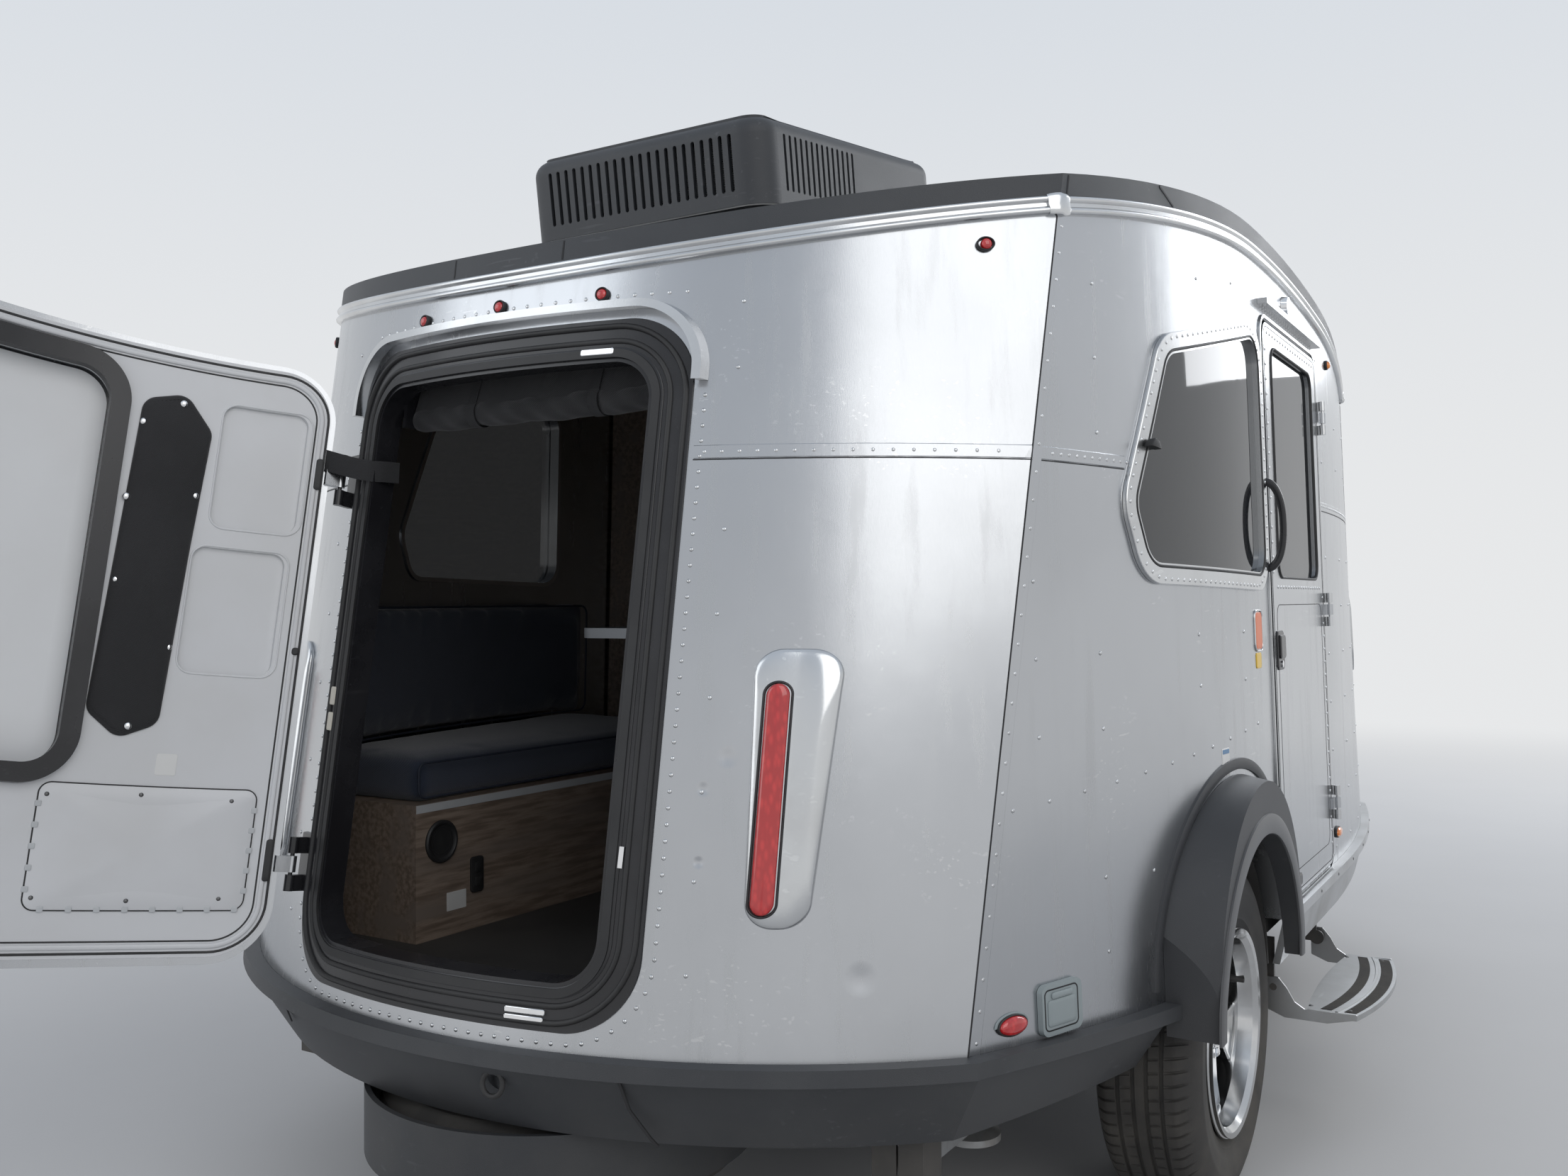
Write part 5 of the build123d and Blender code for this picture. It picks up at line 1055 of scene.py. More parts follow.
# ---- roof edge moulding ----
def build_roof_edge(bead):
    """Double bead moulding round the body below the roof, its corner caps, and the fairing's joint lines."""
    right = np.linspace(0.0, 5.0, 240)
    u = np.concatenate([right, right[::-1][1:-1]])
    left = np.arange(len(u)) >= len(right)
    beads = [
        (-13.6, 10.6), (-10.0, bead), (-6.4, 10.6), (-3.2, 6.6), (3.2, 6.6), (6.4, 10.6), (10.0, bead), (13.6, 10.6),
    ]
    profile = [(16.3, -0.5), (-16.0, -0.5), (-16.0, 6.0), *beads, (16.3, 6.0)]
    ring = swept_ring(frames(u, under_roof(u, -0.5), 0.0, left), profile)
    moulding = piece("roof_beading", ring, OWN, "trim_bright", sharp=50)
    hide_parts("roof_moulding")

    caps, lines = [], []
    for which in (1, 4):
        for is_left in (False, True):
            u = np.linspace(which - 0.022, which + 0.022, 9)
            point, _, _, normal = frames(u, under_roof(u, -0.5), 0.0, is_left)
            placed = along_path(point, normal)
            taper = np.array([0.94, 1.0, 1.03, 1.05, 1.06, 1.05, 1.03, 1.0, 0.94])
            caps.append(swept(placed, mirrored((19, -0.5), (18, 9), (10, bead + 1.6), (0, bead - 1.0)), False, taper))
    piece("moulding_corner_caps", joined(caps), OWN, "trim_bright", sharp=50)
    for u0 in (0.13, 1.02, 4.0):
        for is_left in (False, True):
            z = np.linspace(under_roof(u0, 19.0), under_roof(u0, 52.0), 8)
            lines.append(swept_run(frames(u0, z, 4.0, is_left), mirrored((1.6, -1.5), (1.6, 0.5))))
    for is_left in (False, True):
        x = np.linspace(1013.0, 957.0, 12)
        z = np.linspace(0, 1, 12) * 34.0 + under_roof(side_u(x, np.linspace(1985.0, 2003.0, 12)), 18.5)
        lines.append(swept_run(on_side(x, z, 4.0, is_left), mirrored((3.0, -1.5), (2.0, 0.9))))
    piece("fairing_joints", joined(lines), OWN, "chassis_black", "seam_dark", smooth=False)


# ---- windows and entry door ----
def ring_band(loop, place, half, low, high, lip=1.2):
    """Closed band of flat section carried round an outline on the skin."""
    return swept_ring(place(loop), mirrored((half, low), (half, high - lip), (half - lip, high)))


def build_openings(gasket):
    """Aluminium bands and gaskets of the windows, lines of the entry door, its latch, catch and grip."""
    outline = rounded_polygon(WINDOW_OUTLINE, WINDOW_RADIUS, 12, 24)
    bands, seals = [], []
    for place in (at_side, at_left):
        bands.append(ring_band(grown(outline, 18.0), place, 16.0, 5.0, 9.2))
        seals.append(ring_band(outline, place, gasket, 3.0, 10.4))
    piece("window_bands", joined(bands), OWN, "trim_bright", sharp=40)
    piece("window_gaskets", joined(seals), OWN, "frame_black", "rubber_black", sharp=50)

    glass = rounded_loop(1650, 2130, 1278, 1815, 42, 12, 30)
    piece(
        "door_glass_gasket", ring_band(glass, at_side, gasket, 3.0, 9.6), "entry_door", "frame_black", "rubber_black",
        sharp=50,
    )
    door = rounded_loop(1575, 2205, 535, 1865, 40, 12, 40)
    panel = rounded_loop(1618, 2162, 590, 1215, 30, 10, 30)
    lines = [ring_band(grown(door, -9.0), at_side, 1.1, 5.4, 6.5, 0.3), ring_band(panel, at_side, 1.0, 5.4, 6.4, 0.3)]
    piece("door_panel_lines", joined(lines), "entry_door", "chassis_black", "seam_dark", smooth=False)

    # latch paddle in its dish below the glass
    dish, paddle = rounded_loop(1598, 1668, 1066, 1156, 14), rounded_loop(1606, 1660, 1092, 1146, 8)
    parts = [plate_on(dish, at_side, 5.0, 9.5, 2.0), plate_on(paddle, at_side, 9.0, 15.0, 3.0)]
    piece("latch_paddle", joined(parts), "entry_door", "frame_black", sharp=45)
    barrel = np.array([1633.0, 1079.0]) + 8 * circle(20)
    piece("latch_barrel", plate_on(barrel, at_side, 9.0, 13.0, 1.0), "entry_door", "trim_bright", "chrome", sharp=45)

    # grab handle beside the door: a bow that leaves the wall and comes back to it
    half_turn = np.linspace(0.0, math.pi, 49)
    across, rise = np.cos(half_turn), np.sin(half_turn)
    height = 1395.0 + 97.0 * np.sign(across) * np.abs(across) ** 0.88
    point, along, _, normal = on_side(1548.0, height)
    bow = along_path(point + normal * (2.0 + 39.0 * rise**0.88)[:, None], along)
    grip = piece(
        "grab_bow",
        swept(bow, [(-8, -5), (-6, -7), (6, -7), (8, -5), (8, 5), (6, 7), (-6, 7), (-8, 5)], taper=1.12 - 0.22 * rise),
        OWN, "frame_black", sharp=60,
    )
    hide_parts("entry_grab_handle")

    # hold-back catch low on the door, and the half-round knob by the window that keeps the door off it
    piece(
        "hold_back_catch", plate_on(rounded_loop(1702, 1752, 556, 584, 8), at_side, 5.0, 14.0, 3.0), "entry_door",
        "frame_black", sharp=45,
    )
    point, along, up, normal = on_side(868.0, 1508.0)
    out = np.array([4.0, 12.0, 13.0, 24.0, 27.0, 28.0])
    radius = np.array([13.0, 13.0, 17.0, 17.0, 15.0, 10.0])
    spokes = along * across[:, None] + up * rise[:, None]
    rings = point + normal * out[:, None, None] + spokes * radius[:, None, None]
    piece("door_stop_knob", closed_tube(rings), OWN, "rubber_black", sharp=40)

    # drip caps: row of screws
    screws = stacked(on_side(np.arange(1590, 2200, 26.0), 1893.0), on_tail(np.arange(-372, 380, 31.0), 1757.0))
    piece("cap_screws", scattered(dome_template(3.6, 1.6, 10), screws), OWN, "chassis_black", "rivet_metal")

    # power inlet: lid outline, lid plate and hinge barrel
    lid = rounded_loop(505, 586, 521, 587, 9, 8, 8)
    piece(
        "inlet_lid_line", ring_band(lid, at_side, 1.2, 8.5, 9.7, 0.3), OWN, "chassis_black", "seam_dark", smooth=False,
    )
    plate, hinge = rounded_loop(511, 580, 527, 570, 6), rounded_loop(520, 571, 572, 582, 4)
    parts = [plate_on(plate, at_side, 8.4, 11.4, 2.0), plate_on(hinge, at_side, 8.4, 13.4, 3.0)]
    piece("inlet_lid", joined(parts), OWN, "pale_grey", "inlet_grey", sharp=40)
    # pale half disc behind the upper part of the marker
    loop = np.stack([436 + 37 * across, 546 + 20 * rise], -1)
    piece("marker_ring", plate_on(loop, at_side, -0.3, 2.2, 1.0), OWN, "pale_grey", "inlet_grey", sharp=40)


# ---- hatch ----
def hatch_loop(low_y, high_y, low_z, high_z, radius):
    """Rounded outline with enough points for the size of the hatch."""
    return rounded_loop(low_y, high_y, low_z, high_z, radius, 14, 30)


def opening_loop(reach):
    """Outline of the tail opening moved out by a distance."""
    low_y, high_y, low_z, high_z, radius = OPENING
    return hatch_loop(low_y - reach, high_y + reach, low_z - reach, high_z + reach, radius + reach)


def face_frames(point, normal, out):
    """Frames on an upright face at a distance off it: the second runs level, the third up."""
    side = unit(np.cross([0.0, 0.0, 1.0], normal))
    return point + normal * out, side, np.cross(normal, side), normal


def build_hatch(bead):
    """Beads and plates round the tail opening, and the fittings on the open hatch's inner face."""
    beads = []
    for grow, high in ((62.0, bead), (36.0, bead * 0.8)):
        profile = mirrored((5.0, 2.0), (5.0, high * 0.55), (3.2, high * 0.9), (0, high))
        beads.append(swept_ring(at_tail(opening_loop(grow)), profile))
    piece("opening_beads", joined(beads), OWN, "rubber_black", sharp=50)
    lip = at_tail(opening_loop(16.0))
    piece("opening_lip", swept_ring(lip, mirrored((9, 2.0), (9, 5.0), (7, 6.0))), OWN, "frame_black", sharp=40)

    dome = dome_template(4.0, 1.8, 12)
    strikers, plates = [], []
    for low_y, high_y, low_z, high_z in ((-250, -177, 569, 578), (-248, -177, 558, 566), (-254, -192, 1652, 1663)):
        strikers.append(plate_on(rounded_loop(low_y, high_y, low_z, high_z, 3, 5, 5), at_tail, 3.0, 9.5, 1.0))
    strikers.append(box_mesh((-4.0, -17.0, 3.0), (4.0, 17.0, 9.0), on_tail(-352.0, 820.0)))
    for z in (1004, 1052):
        plates.append(plate_on(rounded_loop(362, 384, z - 17, z + 17, 4, 6, 4), at_tail, 3.0, 8.5, 1.0))
    piece("hatch_strikers", joined(strikers), OWN, "trim_bright", "chrome", smooth=False)
    piece("jamb_plates", joined(plates), OWN, "pale_grey", "plate_cream", sharp=40)

    # inner face of the open hatch: points and normals at a distance beyond the skin of the closed one
    def inner(loop, out):
        point, _, _, normal = swung_frames(on_tail(loop[:, 0], loop[:, 1], out))
        return point, -normal

    def inner_band(loop, half, high, out=LINER_OUT):
        return swept_ring(inner(loop, out), mirrored((half, -1.0), (half * 0.9, high * 0.6), (half * 0.5, high)))

    def inner_plate(loop, out, high, edge):
        return plate_on(loop, lambda outline: inner(outline, out), -1.0, high, edge)

    ridges = [inner_band(hatch_loop(-357, 357, 593, 1642, 74), 5.0, 3.2)]
    for low_y, high_y, low_z, high_z in ((190, 340, 1350, 1580), (170, 330, 1080, 1310)):
        ridges.append(inner_band(rounded_loop(low_y - 3, high_y + 3, low_z - 3, high_z + 3, 27, 10, 12), 2.0, 1.6))
    piece("liner_ridges", joined(ridges), "hatch", "liner_white", sharp=60)

    lines = [
        inner_band(hatch_loop(-368, 368, 582, 1653, 85), 2.4, 1.2),
        inner_band(hatch_loop(-348, 348, 602, 1633, 66), 1.6, 1.2),
        inner_band(rounded_loop(-19, 331, 655, 871, 20, 10, 10), 1.3, 2.0),
    ]
    piece("liner_lines", joined(lines), "hatch", "rubber_black", sharp=60)
    clips = []
    spots = [(y, 657.0) for y in range(10, 330, 44)] + [(y, z) for y in (-17.0, 329.0) for z in range(690, 860, 36)]
    for y, z in spots:
        clips.append(inner_plate(rounded_loop(y - 5, y + 5, z - 5, z + 5, 2, 4, 2), LINER_OUT, 3.2, 0.8))
    piece("panel_clips", joined(clips), "hatch", "liner_white", "pale_grey", sharp=40)
    panel = inner_plate(rounded_loop(-18, 330, 656, 870, 18, 10, 10), LINER_OUT, 2.0, 1.2)
    piece("liner_lower_panel", panel, "hatch", "liner_white", sharp=40)
    window = rounded_loop(-284, 0, 895, 1600, 60, 12, 30)
    blind = inner_plate(rounded_loop(-281, -3, 898, 1597, 57, 12, 30), 35.0, 1.5, 0.5)
    piece("hatch_blind", blind, "hatch", "liner_white", "inset_white", sharp=40)
    latches = []
    for y, z, tall in ((362.0, 1470.0, 60.0), (362.0, 1130.0, 14.0), (362.0, 745.0, 76.0)):
        loop = rounded_loop(y - 6, y + 6, z - tall / 2, z + tall / 2, 5, 5, 5)
        latches.append(inner_plate(loop, LINER_OUT, 5.0, 1.5))
    piece("liner_latches", joined(latches), "hatch", "rubber_black", sharp=40)
    piece("hatch_window_ridge", inner_band(grown(window, 9.0), 6.0, 3.4, 12.0), "hatch", "frame_black", sharp=50)
    spots = np.array([(-6, 676), (290, 676), (-6, 850), (290, 850), (142, 672), (142, 856)], float)
    round_window = spaced_ring(grown(window, 19.0), 175.0)
    screws = stacked(
        face_frames(*inner(round_window, LINER_FACE), 0.1), face_frames(*inner(spots, LINER_OUT), 2.0),
    )
    piece("liner_screws", scattered(dome, screws), "hatch", "chassis_black", "screw_dark")
    label = inner_plate(rounded_loop(158, 192, 892, 930, 3, 4, 3), LINER_OUT, 0.6, 0.3)
    piece("hatch_label", label, "hatch", "pale_grey", "label_blank", smooth=False)

    # cloth cover over the arm of the opening, held by eight snaps
    corners = [(38, 1000), (90, 958), (148, 985), (158, 1300), (168, 1520), (120, 1580), (56, 1560)]
    outline = grown(rounded_polygon(corners, 24, 8, 14), 5.0)
    centre = np.array([100.0, 1275.0])
    rings = []
    for n, share in enumerate((1.0, 1.0, 0.985, 0.94, 0.86, 0.74, 0.58, 0.38, 0.16)):
        loop = centre + (outline - centre) * np.array([share, 1 - (1 - share) * 0.8])
        rise = 2.4 + 13.0 * math.sqrt(max(0.0, 1 - share**2))
        fold = np.sin(loop[:, 1] / 33.0) * 1.1 + np.sin(loop[:, 1] / 14.0 + loop[:, 0] / 19.0) * 0.7
        seamed = 1.0 if n > 2 else 0.25
        out = (rise + seamed * np.clip(fold, -1.6, 1.8))[:, None] if n else -0.8
        rings.append(raised(inner(loop, LINER_FACE), out))
    cover = piece("arm_cover", closed_tube(np.stack(rings)), "hatch", "fabric_black")
    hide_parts("hatch_cover")
    point, normal = inner(spaced_ring(grown(outline, -8.0), 7.0), LINER_FACE)
    ahead = unit(np.roll(point, -1, 0) - np.roll(point, 1, 0))
    verts, faces = dome_template(1.0, 0.9, 6, (1.0, 0.6), 0.4)
    placed = (point + normal * 5.4, ahead, unit(np.cross(normal, ahead)), normal)
    thread = scattered((verts * np.array([2.3, 0.9, 1.0]), faces), placed)
    piece("arm_cover_stitches", thread, "hatch", "fabric_black", "webbing_black")
    snaps = np.array(
        [(118, 1566), (56, 1520), (46, 1380), (50, 1230), (48, 1080), (104, 975), (150, 1120), (158, 1400)], float,
    )
    snap = dome_template(6.5, 3.0, 16, (1.0, 0.92, 0.6, 0.3))
    piece("cover_snaps", scattered(snap, face_frames(*inner(snaps, LINER_FACE), 6.5)), "hatch", "trim_bright", "chrome")


# ---- tyres, wheels, fenders, bumper and step ----
def about_axle(x, z, radius, angle, across):
    """Points at a radius and an angle about a line across the vehicle, and at a place along that line."""
    radius, angle, across = np.broadcast_arrays(radius, angle, across)
    return np.stack([x + radius * np.cos(angle), across, z + radius * np.sin(angle)], -1)


def tyre_surface(depth, flip):
    """Tyre as a closed surface: four grooves and shoulder slots in the tread, fine rings on the sidewalls."""
    half = [
        (190.5, 58.0), (193.0, 68.0), (199.0, 78.5), (206.0, 83.5), (212.0, 86.2), (222.0, 91.0), (226.0, 94.4),
        (230.0, 94.0), (244.0, 98.2), (262.0, 101.6), (276.0, 101.6), (280.0, 102.2), (284.0, 101.2), (297.0, 98.4),
        (312.0, 93.0), (324.0, 86.8), (333.0, 80.0), (339.0, 73.5), (342.6, 67.5),
    ]
    tread = [62.0, 46.5, 45.0, 38.5, 37.0, 30.0, 17.5, 16.0, 9.5, 8.0, 0.0]
    sunk = {46.5: 0, 45.0: 1, 38.5: 1, 37.0: 0, 17.5: 0, 16.0: 1, 9.5: 1, 8.0: 0}
    rows = [(r, y, 0.0, 1.0 if r > 329 else 0.0) for r, y in half]
    rows += [(344.0, y, float(sunk.get(y, 0)), 1.0 if y > 47 else (0.55 if 17 < y < 37 else 0.0)) for y in tread]
    rows += [(r, -y, groove, slot) for r, y, groove, slot in rows[:-1]][::-1]
    rows = np.array(rows)
    blocks = 84
    shares = np.array([0.0, 0.10, 0.16, 0.80, 0.90])
    turn = ((np.arange(blocks)[:, None] + shares[None]) / blocks * 2 * math.pi).ravel()
    slot = np.tile(np.array([1.0, 1.0, 0.0, 0.0, 0.0]), blocks)[:, None]
    lean = rows[:, 1][None] * 0.0016 * 0.35
    radius = rows[:, 0][None] - depth * np.maximum(rows[:, 2][None], slot * rows[:, 3][None] * 0.8)
    angle = turn[:, None] + lean
    point = about_axle(WHEEL[0], WHEEL[2], radius, angle, flip * WHEEL[1] + rows[:, 1])
    return point.reshape(-1, 3), grid_faces(len(turn), len(rows), True, True)


def turned(profile, centre, flip, sides=96):
    """Surface of revolution about an axle from a closed outline of (radius, distance out from the midline)."""
    profile = np.asarray(profile, float)
    angle = np.linspace(0, 2 * math.pi, sides, endpoint=False)[:, None]
    radius, out = profile[None, :, 0], profile[None, :, 1]
    point = about_axle(centre[0], centre[2], radius, angle, flip * out)
    return point.reshape(-1, 3), grid_faces(sides, len(profile), True, True)


# Closed outlines of the small turned parts of a wheel: radius, and distance out from the midline
RIM_LIP = [(203.0, 1040.5), (207.5, 1040.0), (209.5, 1036.5), (208.5, 1033.0), (204.0, 1032.0), (201.0, 1036.0)]
WHEEL_CAP = [
    (2.0, 1022.0), (12.0, 1020.5), (22.0, 1016.5), (29.0, 1010.5), (32.6, 1003.0), (33.4, 996.0), (31.0, 995.0),
    (2.0, 998.0),
]
CAP_COLLAR = [(60.0, 1000.2), (61.2, 1001.2), (62.6, 999.8), (62.8, 992.0), (60.0, 991.0)]
WHEEL_NUT = [(1.0, 1009.5), (6.0, 1009.0), (9.2, 1006.8), (10.2, 1003.5), (10.2, 999.0), (1.0, 998.0)]
NUT_FLANGE = [(9.0, 1001.8), (12.4, 1001.0), (12.8, 999.0), (9.0, 998.4)]
VALVE = [(0.6, 1022.0), (4.4, 1021.5), (4.8, 1019.0), (4.8, 1008.0), (6.4, 1004.0), (6.4, 985.0), (0.6, 984.0)]
NUT_CIRCLE = 47.5
VALVE_CIRCLE = 178.0


def build_wheels(depth):
    """Tyres with a running tread, and the rim lip, nuts, cap and valve of each wheel."""
    for name, flip, node_name in (("wheel_right", -1.0, "tyre_right"), ("wheel_left", 1.0, "tyre_left")):
        made = piece("tread_" + name, tyre_surface(depth, flip), name, "tyre", sharp=38)
        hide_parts(node_name)
        lip = turned(RIM_LIP, WHEEL, flip, 120)
        piece("rim_lip_" + name, lip, name, "trim_bright", "wheel_polished")
        cap = [turned(WHEEL_CAP, WHEEL, flip, 48), turned(CAP_COLLAR, WHEEL, flip, 64)]
        piece("wheel_cap_" + name, joined(cap), name, "chrome", sharp=40)
        nuts = []
        for n in range(5):
            centre = about_axle(WHEEL[0], WHEEL[2], NUT_CIRCLE, math.radians(54 + 72 * n), 0.0)
            nuts += [turned(WHEEL_NUT, centre, flip, 6), turned(NUT_FLANGE, centre, flip, 20)]
        piece("wheel_nuts_" + name, joined(nuts), name, "chrome", smooth=False)
        centre = about_axle(WHEEL[0], WHEEL[2], VALVE_CIRCLE, math.radians(20), 0.0)
        valve = turned(VALVE, centre, flip, 16)
        piece("valve_" + name, valve, name, "chassis_black", "rubber_black", sharp=50)


def step_bow(x):
    """How far the step's front edge stands out at a station."""
    return STEP_BOW * (1 - ((x - STEP_X) / STEP_HALF) ** 2)


def build_running_gear(thickness):
    """Lips of the fenders, ring and joints of the bumper, grips and bead of the step, and screws of the sills."""
    lips, flanges = [], []
    for flip in (1.0, -1.0):
        turn = np.linspace(math.radians(-9.5), math.radians(189.5), 90)
        reach = -90 * np.sin(turn) + np.sqrt(350.0**2 - (90 * np.cos(turn)) ** 2)
        ends = np.clip((np.abs(turn - math.pi / 2) - math.pi / 2) / 0.166, 0.0, 1.0)
        radius = reach + 21.0 - 8.0 * ends
        point = about_axle(ARCH_X, ARCH_Z, radius, turn, flip * 1104.0)
        lips.append(swept_run((point, [0.0, flip, 0.0]), mirrored((21, -0.5), (20, thickness * 0.7), (14, thickness))))
        outline = about_axle(ARCH_X, ARCH_Z, 401.0, turn, 0.0)[:, ::2]
        outline = outline[outline[:, 1] > 514]
        placed = at_left(outline) if flip > 0 else at_side(outline)
        flanges.append(swept_run(placed, mirrored((12, -0.5), (11, 3.5), (5, 5.5))))
    piece("fender_lips", joined(lips), OWN, "fairing_black", "flare_lip", sharp=50)
    piece("fender_flanges", joined(flanges), OWN, "fairing_black", "fender_black", sharp=50)

    # bumper: ring of the hitch hole and joint lines of the skirt
    point, along, up, normal = on_tail(-165.0, 455.0, apron_out(455.0))
    ring = point + 19.5 * circle(36) @ np.stack([along, up])
    piece(
        "bumper_ring", swept_ring((ring, normal), mirrored((4.5, -1.0), (4.0, 2.2), (1.5, 3.6))), OWN, "chassis_black",
        "rubber_black", sharp=60,
    )

    z = np.linspace(487.0, 378.0, 24)
    y = np.interp(z, [378.0, 391.0, 437.0, 487.0], [-436.0, -425.0, -396.0, -384.0])
    joints = []
    for flip, end in ((1.0, 24), (-1.0, 8)):
        placed = on_tail(y[:end], z[:end])
        side = np.array([1.0, flip, 1.0])
        skirt = raised(placed, apron_out(z[:end])[:, None])
        joints.append(swept_run((skirt * side, placed[-1] * side), mirrored((3.0, -2.0), (2.2, 0.6))))
    piece("bumper_joints", joined(joints), OWN, "chassis_black", "seam_dark", smooth=False)

    # step: black strips glued on the tread, a raised bead and screws
    grips = []
    for inner, outer in ((1132.0, 1156.0), (1182.0, 1208.0)):
        x = np.linspace(1640, 2160, 60)
        rings = []
        for x_value, shift in zip(x, step_bow(x)):
            a, b = -(inner + shift * 0.9), -(outer + shift * 0.95)
            rings.append([(x_value, a, 299.6), (x_value, b, 299.6), (x_value, b + 1, 301.2), (x_value, a - 1, 301.2)])
        grips.append(closed_tube(np.array(rings)))
    piece("step_grips", joined(grips), "step", "chassis_black", "grip_black", smooth=False)
    x = np.linspace(1630, 2170, 50)
    line = np.stack([x, -(1170.0 + step_bow(x)), np.full(50, 299.7)], -1)
    piece(
        "step_bead", swept_run((line, [0.0, 0.0, 1.0]), mirrored((4, 0), (2.6, 2.2))), "step", "sill_silver", sharp=50,
    )
    heads = np.array([(x, y, 300.2) for x in (1655.0, 2145.0) for y in (-1112.0, -1196.0)])
    piece(
        "step_screws", scattered(dome_template(5.0, 2.0, 12), (heads, *np.eye(3))), "step", "chassis_black",
        "screw_dark",
    )

    # sill screws
    sill = both_sides(on_side(np.arange(1680, 3300, 240.0), 510.0, 24.0))
    piece("sill_screws", scattered(dome_template(4.0, 1.6, 12), sill), OWN, "chassis_black", "screw_dark")


def apron_out(z):
    """Distance of the bumper skirt from the skin, drawn in towards its lower edge."""
    return np.interp(z, [365.0, 492.0], [-55.0, 24.0])


# ---- roof unit ----
def on_unit(points):
    """Points of the roof unit's own frame (forward, left, up) turned to its lean and moved to its place."""
    x, y, z = points[..., 0], points[..., 1], points[..., 2]
    forward = np.array([math.cos(ROOF_TILT), 0.0, math.sin(ROOF_TILT)])
    up = np.array([-math.sin(ROOF_TILT), 0.0, math.cos(ROOF_TILT)])
    return ROOF_UNIT + (x[..., None] + 400.0) * forward + y[..., None] * np.array([0.0, 1.0, 0.0]) + z[..., None] * up


def at_height(loop, height):
    """A flat outline as points at one height."""
    return np.concatenate([loop, np.full((len(loop), 1), height)], 1)


def build_roof_unit(pitch):
    """Cooling fins seen through the slots of the roof unit, its gasket bead, and the ridge and screws of its cover."""
    fins = []
    for low, high in (
        ((-350.0, -268.0), (0.0, -256.0)), ((-350.0, 256.0), (0.0, 268.0)), ((-364.0, -250.0), (-350.0, 250.0)),
    ):
        for z in np.arange(24.0, 146.0, pitch):
            block, faces = box_mesh((*low, z - 0.8), (*high, z + 0.8))
            fins.append((on_unit(block), faces))
    piece("cooling_fins", joined(fins), OWN, "steel_galvanised", "fin_metal", smooth=False)
    outline = rounded_loop(-394, 394, -299, 299, 58, 12, 12)
    line = on_unit(at_height(outline, 3.0))
    normal = unit(line - on_unit(at_height(outline * 0.98, 3.0)))
    piece(
        "gasket_bead", swept_ring((line, normal), [(-14, -6), (4, -6), (4, 1.0), (2, 3.5), (-11, 3.5), (-14, 1.0)]),
        OWN, "liner_white", "gasket_pale", sharp=60,
    )
    line = on_unit(at_height(rounded_loop(-372, 372, -277, 277, 34, 12, 12), 171.4))
    up = unit(on_unit(np.array([[0.0, 0.0, 1.0]])) - ROOF_UNIT)
    piece("cover_ridge", swept_ring((line, up), mirrored((5, -0.6), (3, 1.6))), OWN, "fairing_black", sharp=60)
    spots = on_unit(np.array([(x, y, 172.0) for x in (-350.0, 350.0) for y in (-250.0, 250.0)]))
    side = np.array([[0.0, 1.0, 0.0]])
    piece(
        "cover_screws", scattered(dome_template(8.0, 2.4, 14), (spots, np.cross(side, up), side, up)), OWN,
        "chassis_black", "screw_dark",
    )


# ---- cabin and soft parts ----
def build_cabin(edge):
    """Speaker, switch plate and label on the bench, and the edge bands of the table and both benches."""
    turn = np.linspace(0, 2 * math.pi, 48, endpoint=False)

    def dish(radii, outs, x, z):
        return closed_tube(np.stack([about_axle(x, z, r, turn, BENCH_FACE - out) for r, out in zip(radii, outs)]))

    speaker = [dish((46, 46, 43, 39, 36, 30, 12), (-1, 4, 7, 7, 3.5, 2.5, 4.5), 492.0, 715.0)]
    for r in (15.0, 20.5, 26.0, 31.5):
        loop = about_axle(492, 715, r, turn, BENCH_FACE - 2.4)
        speaker.append(swept_ring((loop, [0.0, -1.0, 0.0]), mirrored((1.2, -0.4), (1.2, 1.0))))
    piece("speaker", joined(speaker), OWN, "rubber_black", sharp=40)

    def wall_plate(low_x, high_x, low_z, high_z, radius, high, slope):
        loop = rounded_loop(low_x, high_x, low_z, high_z, radius, 6, 4)
        centre = (loop.min(0) + loop.max(0)) / 2
        shares = 1 - slope / ((loop.max(0) - loop.min(0)) / 2)
        rings = []
        for outline, out in ((loop, -1.0), (loop, high - slope * 0.6), (centre + (loop - centre) * shares, high)):
            rings.append(np.stack([outline[:, 0], np.full(len(outline), BENCH_FACE - out), outline[:, 1]], -1))
        return closed_tube(np.stack(rings))

    parts = [wall_plate(578, 616, 588, 666, 8, 6.0, 2.0)]
    parts += [wall_plate(587, 607, low, low + 22, 4, 9.0, 2.0) for low in (632, 600)]
    piece("switch_plate", joined(parts), OWN, "rubber_black", sharp=40)
    piece("bench_label", wall_plate(508, 566, 560, 600, 2, 0.6, 0.3), OWN, "pale_grey", "label_blank", smooth=False)

    line = at_height(rounded_loop(700, 1250, -250, 250, 50, 14, 20), 1161.0)
    table = (line, unit(line - np.array([975.0, 0.0, 1161.0])))
    bands = [swept_ring(table, mirrored((11, -1.0), (11, edge * 0.7), (9.5, edge)))]
    for flip in (1.0, -1.0):
        x = np.linspace(421, 1539, 30)
        line = np.stack([x, np.full(30, flip * BENCH_FACE), np.full(30, 791.0)], -1)
        bands.append(swept_run((line, [0.0, -flip, 0.0]), mirrored((8.5, -0.6), (8.5, edge * 0.6))))
    piece("edge_bands", joined(bands), OWN, "pale_grey", sharp=40)


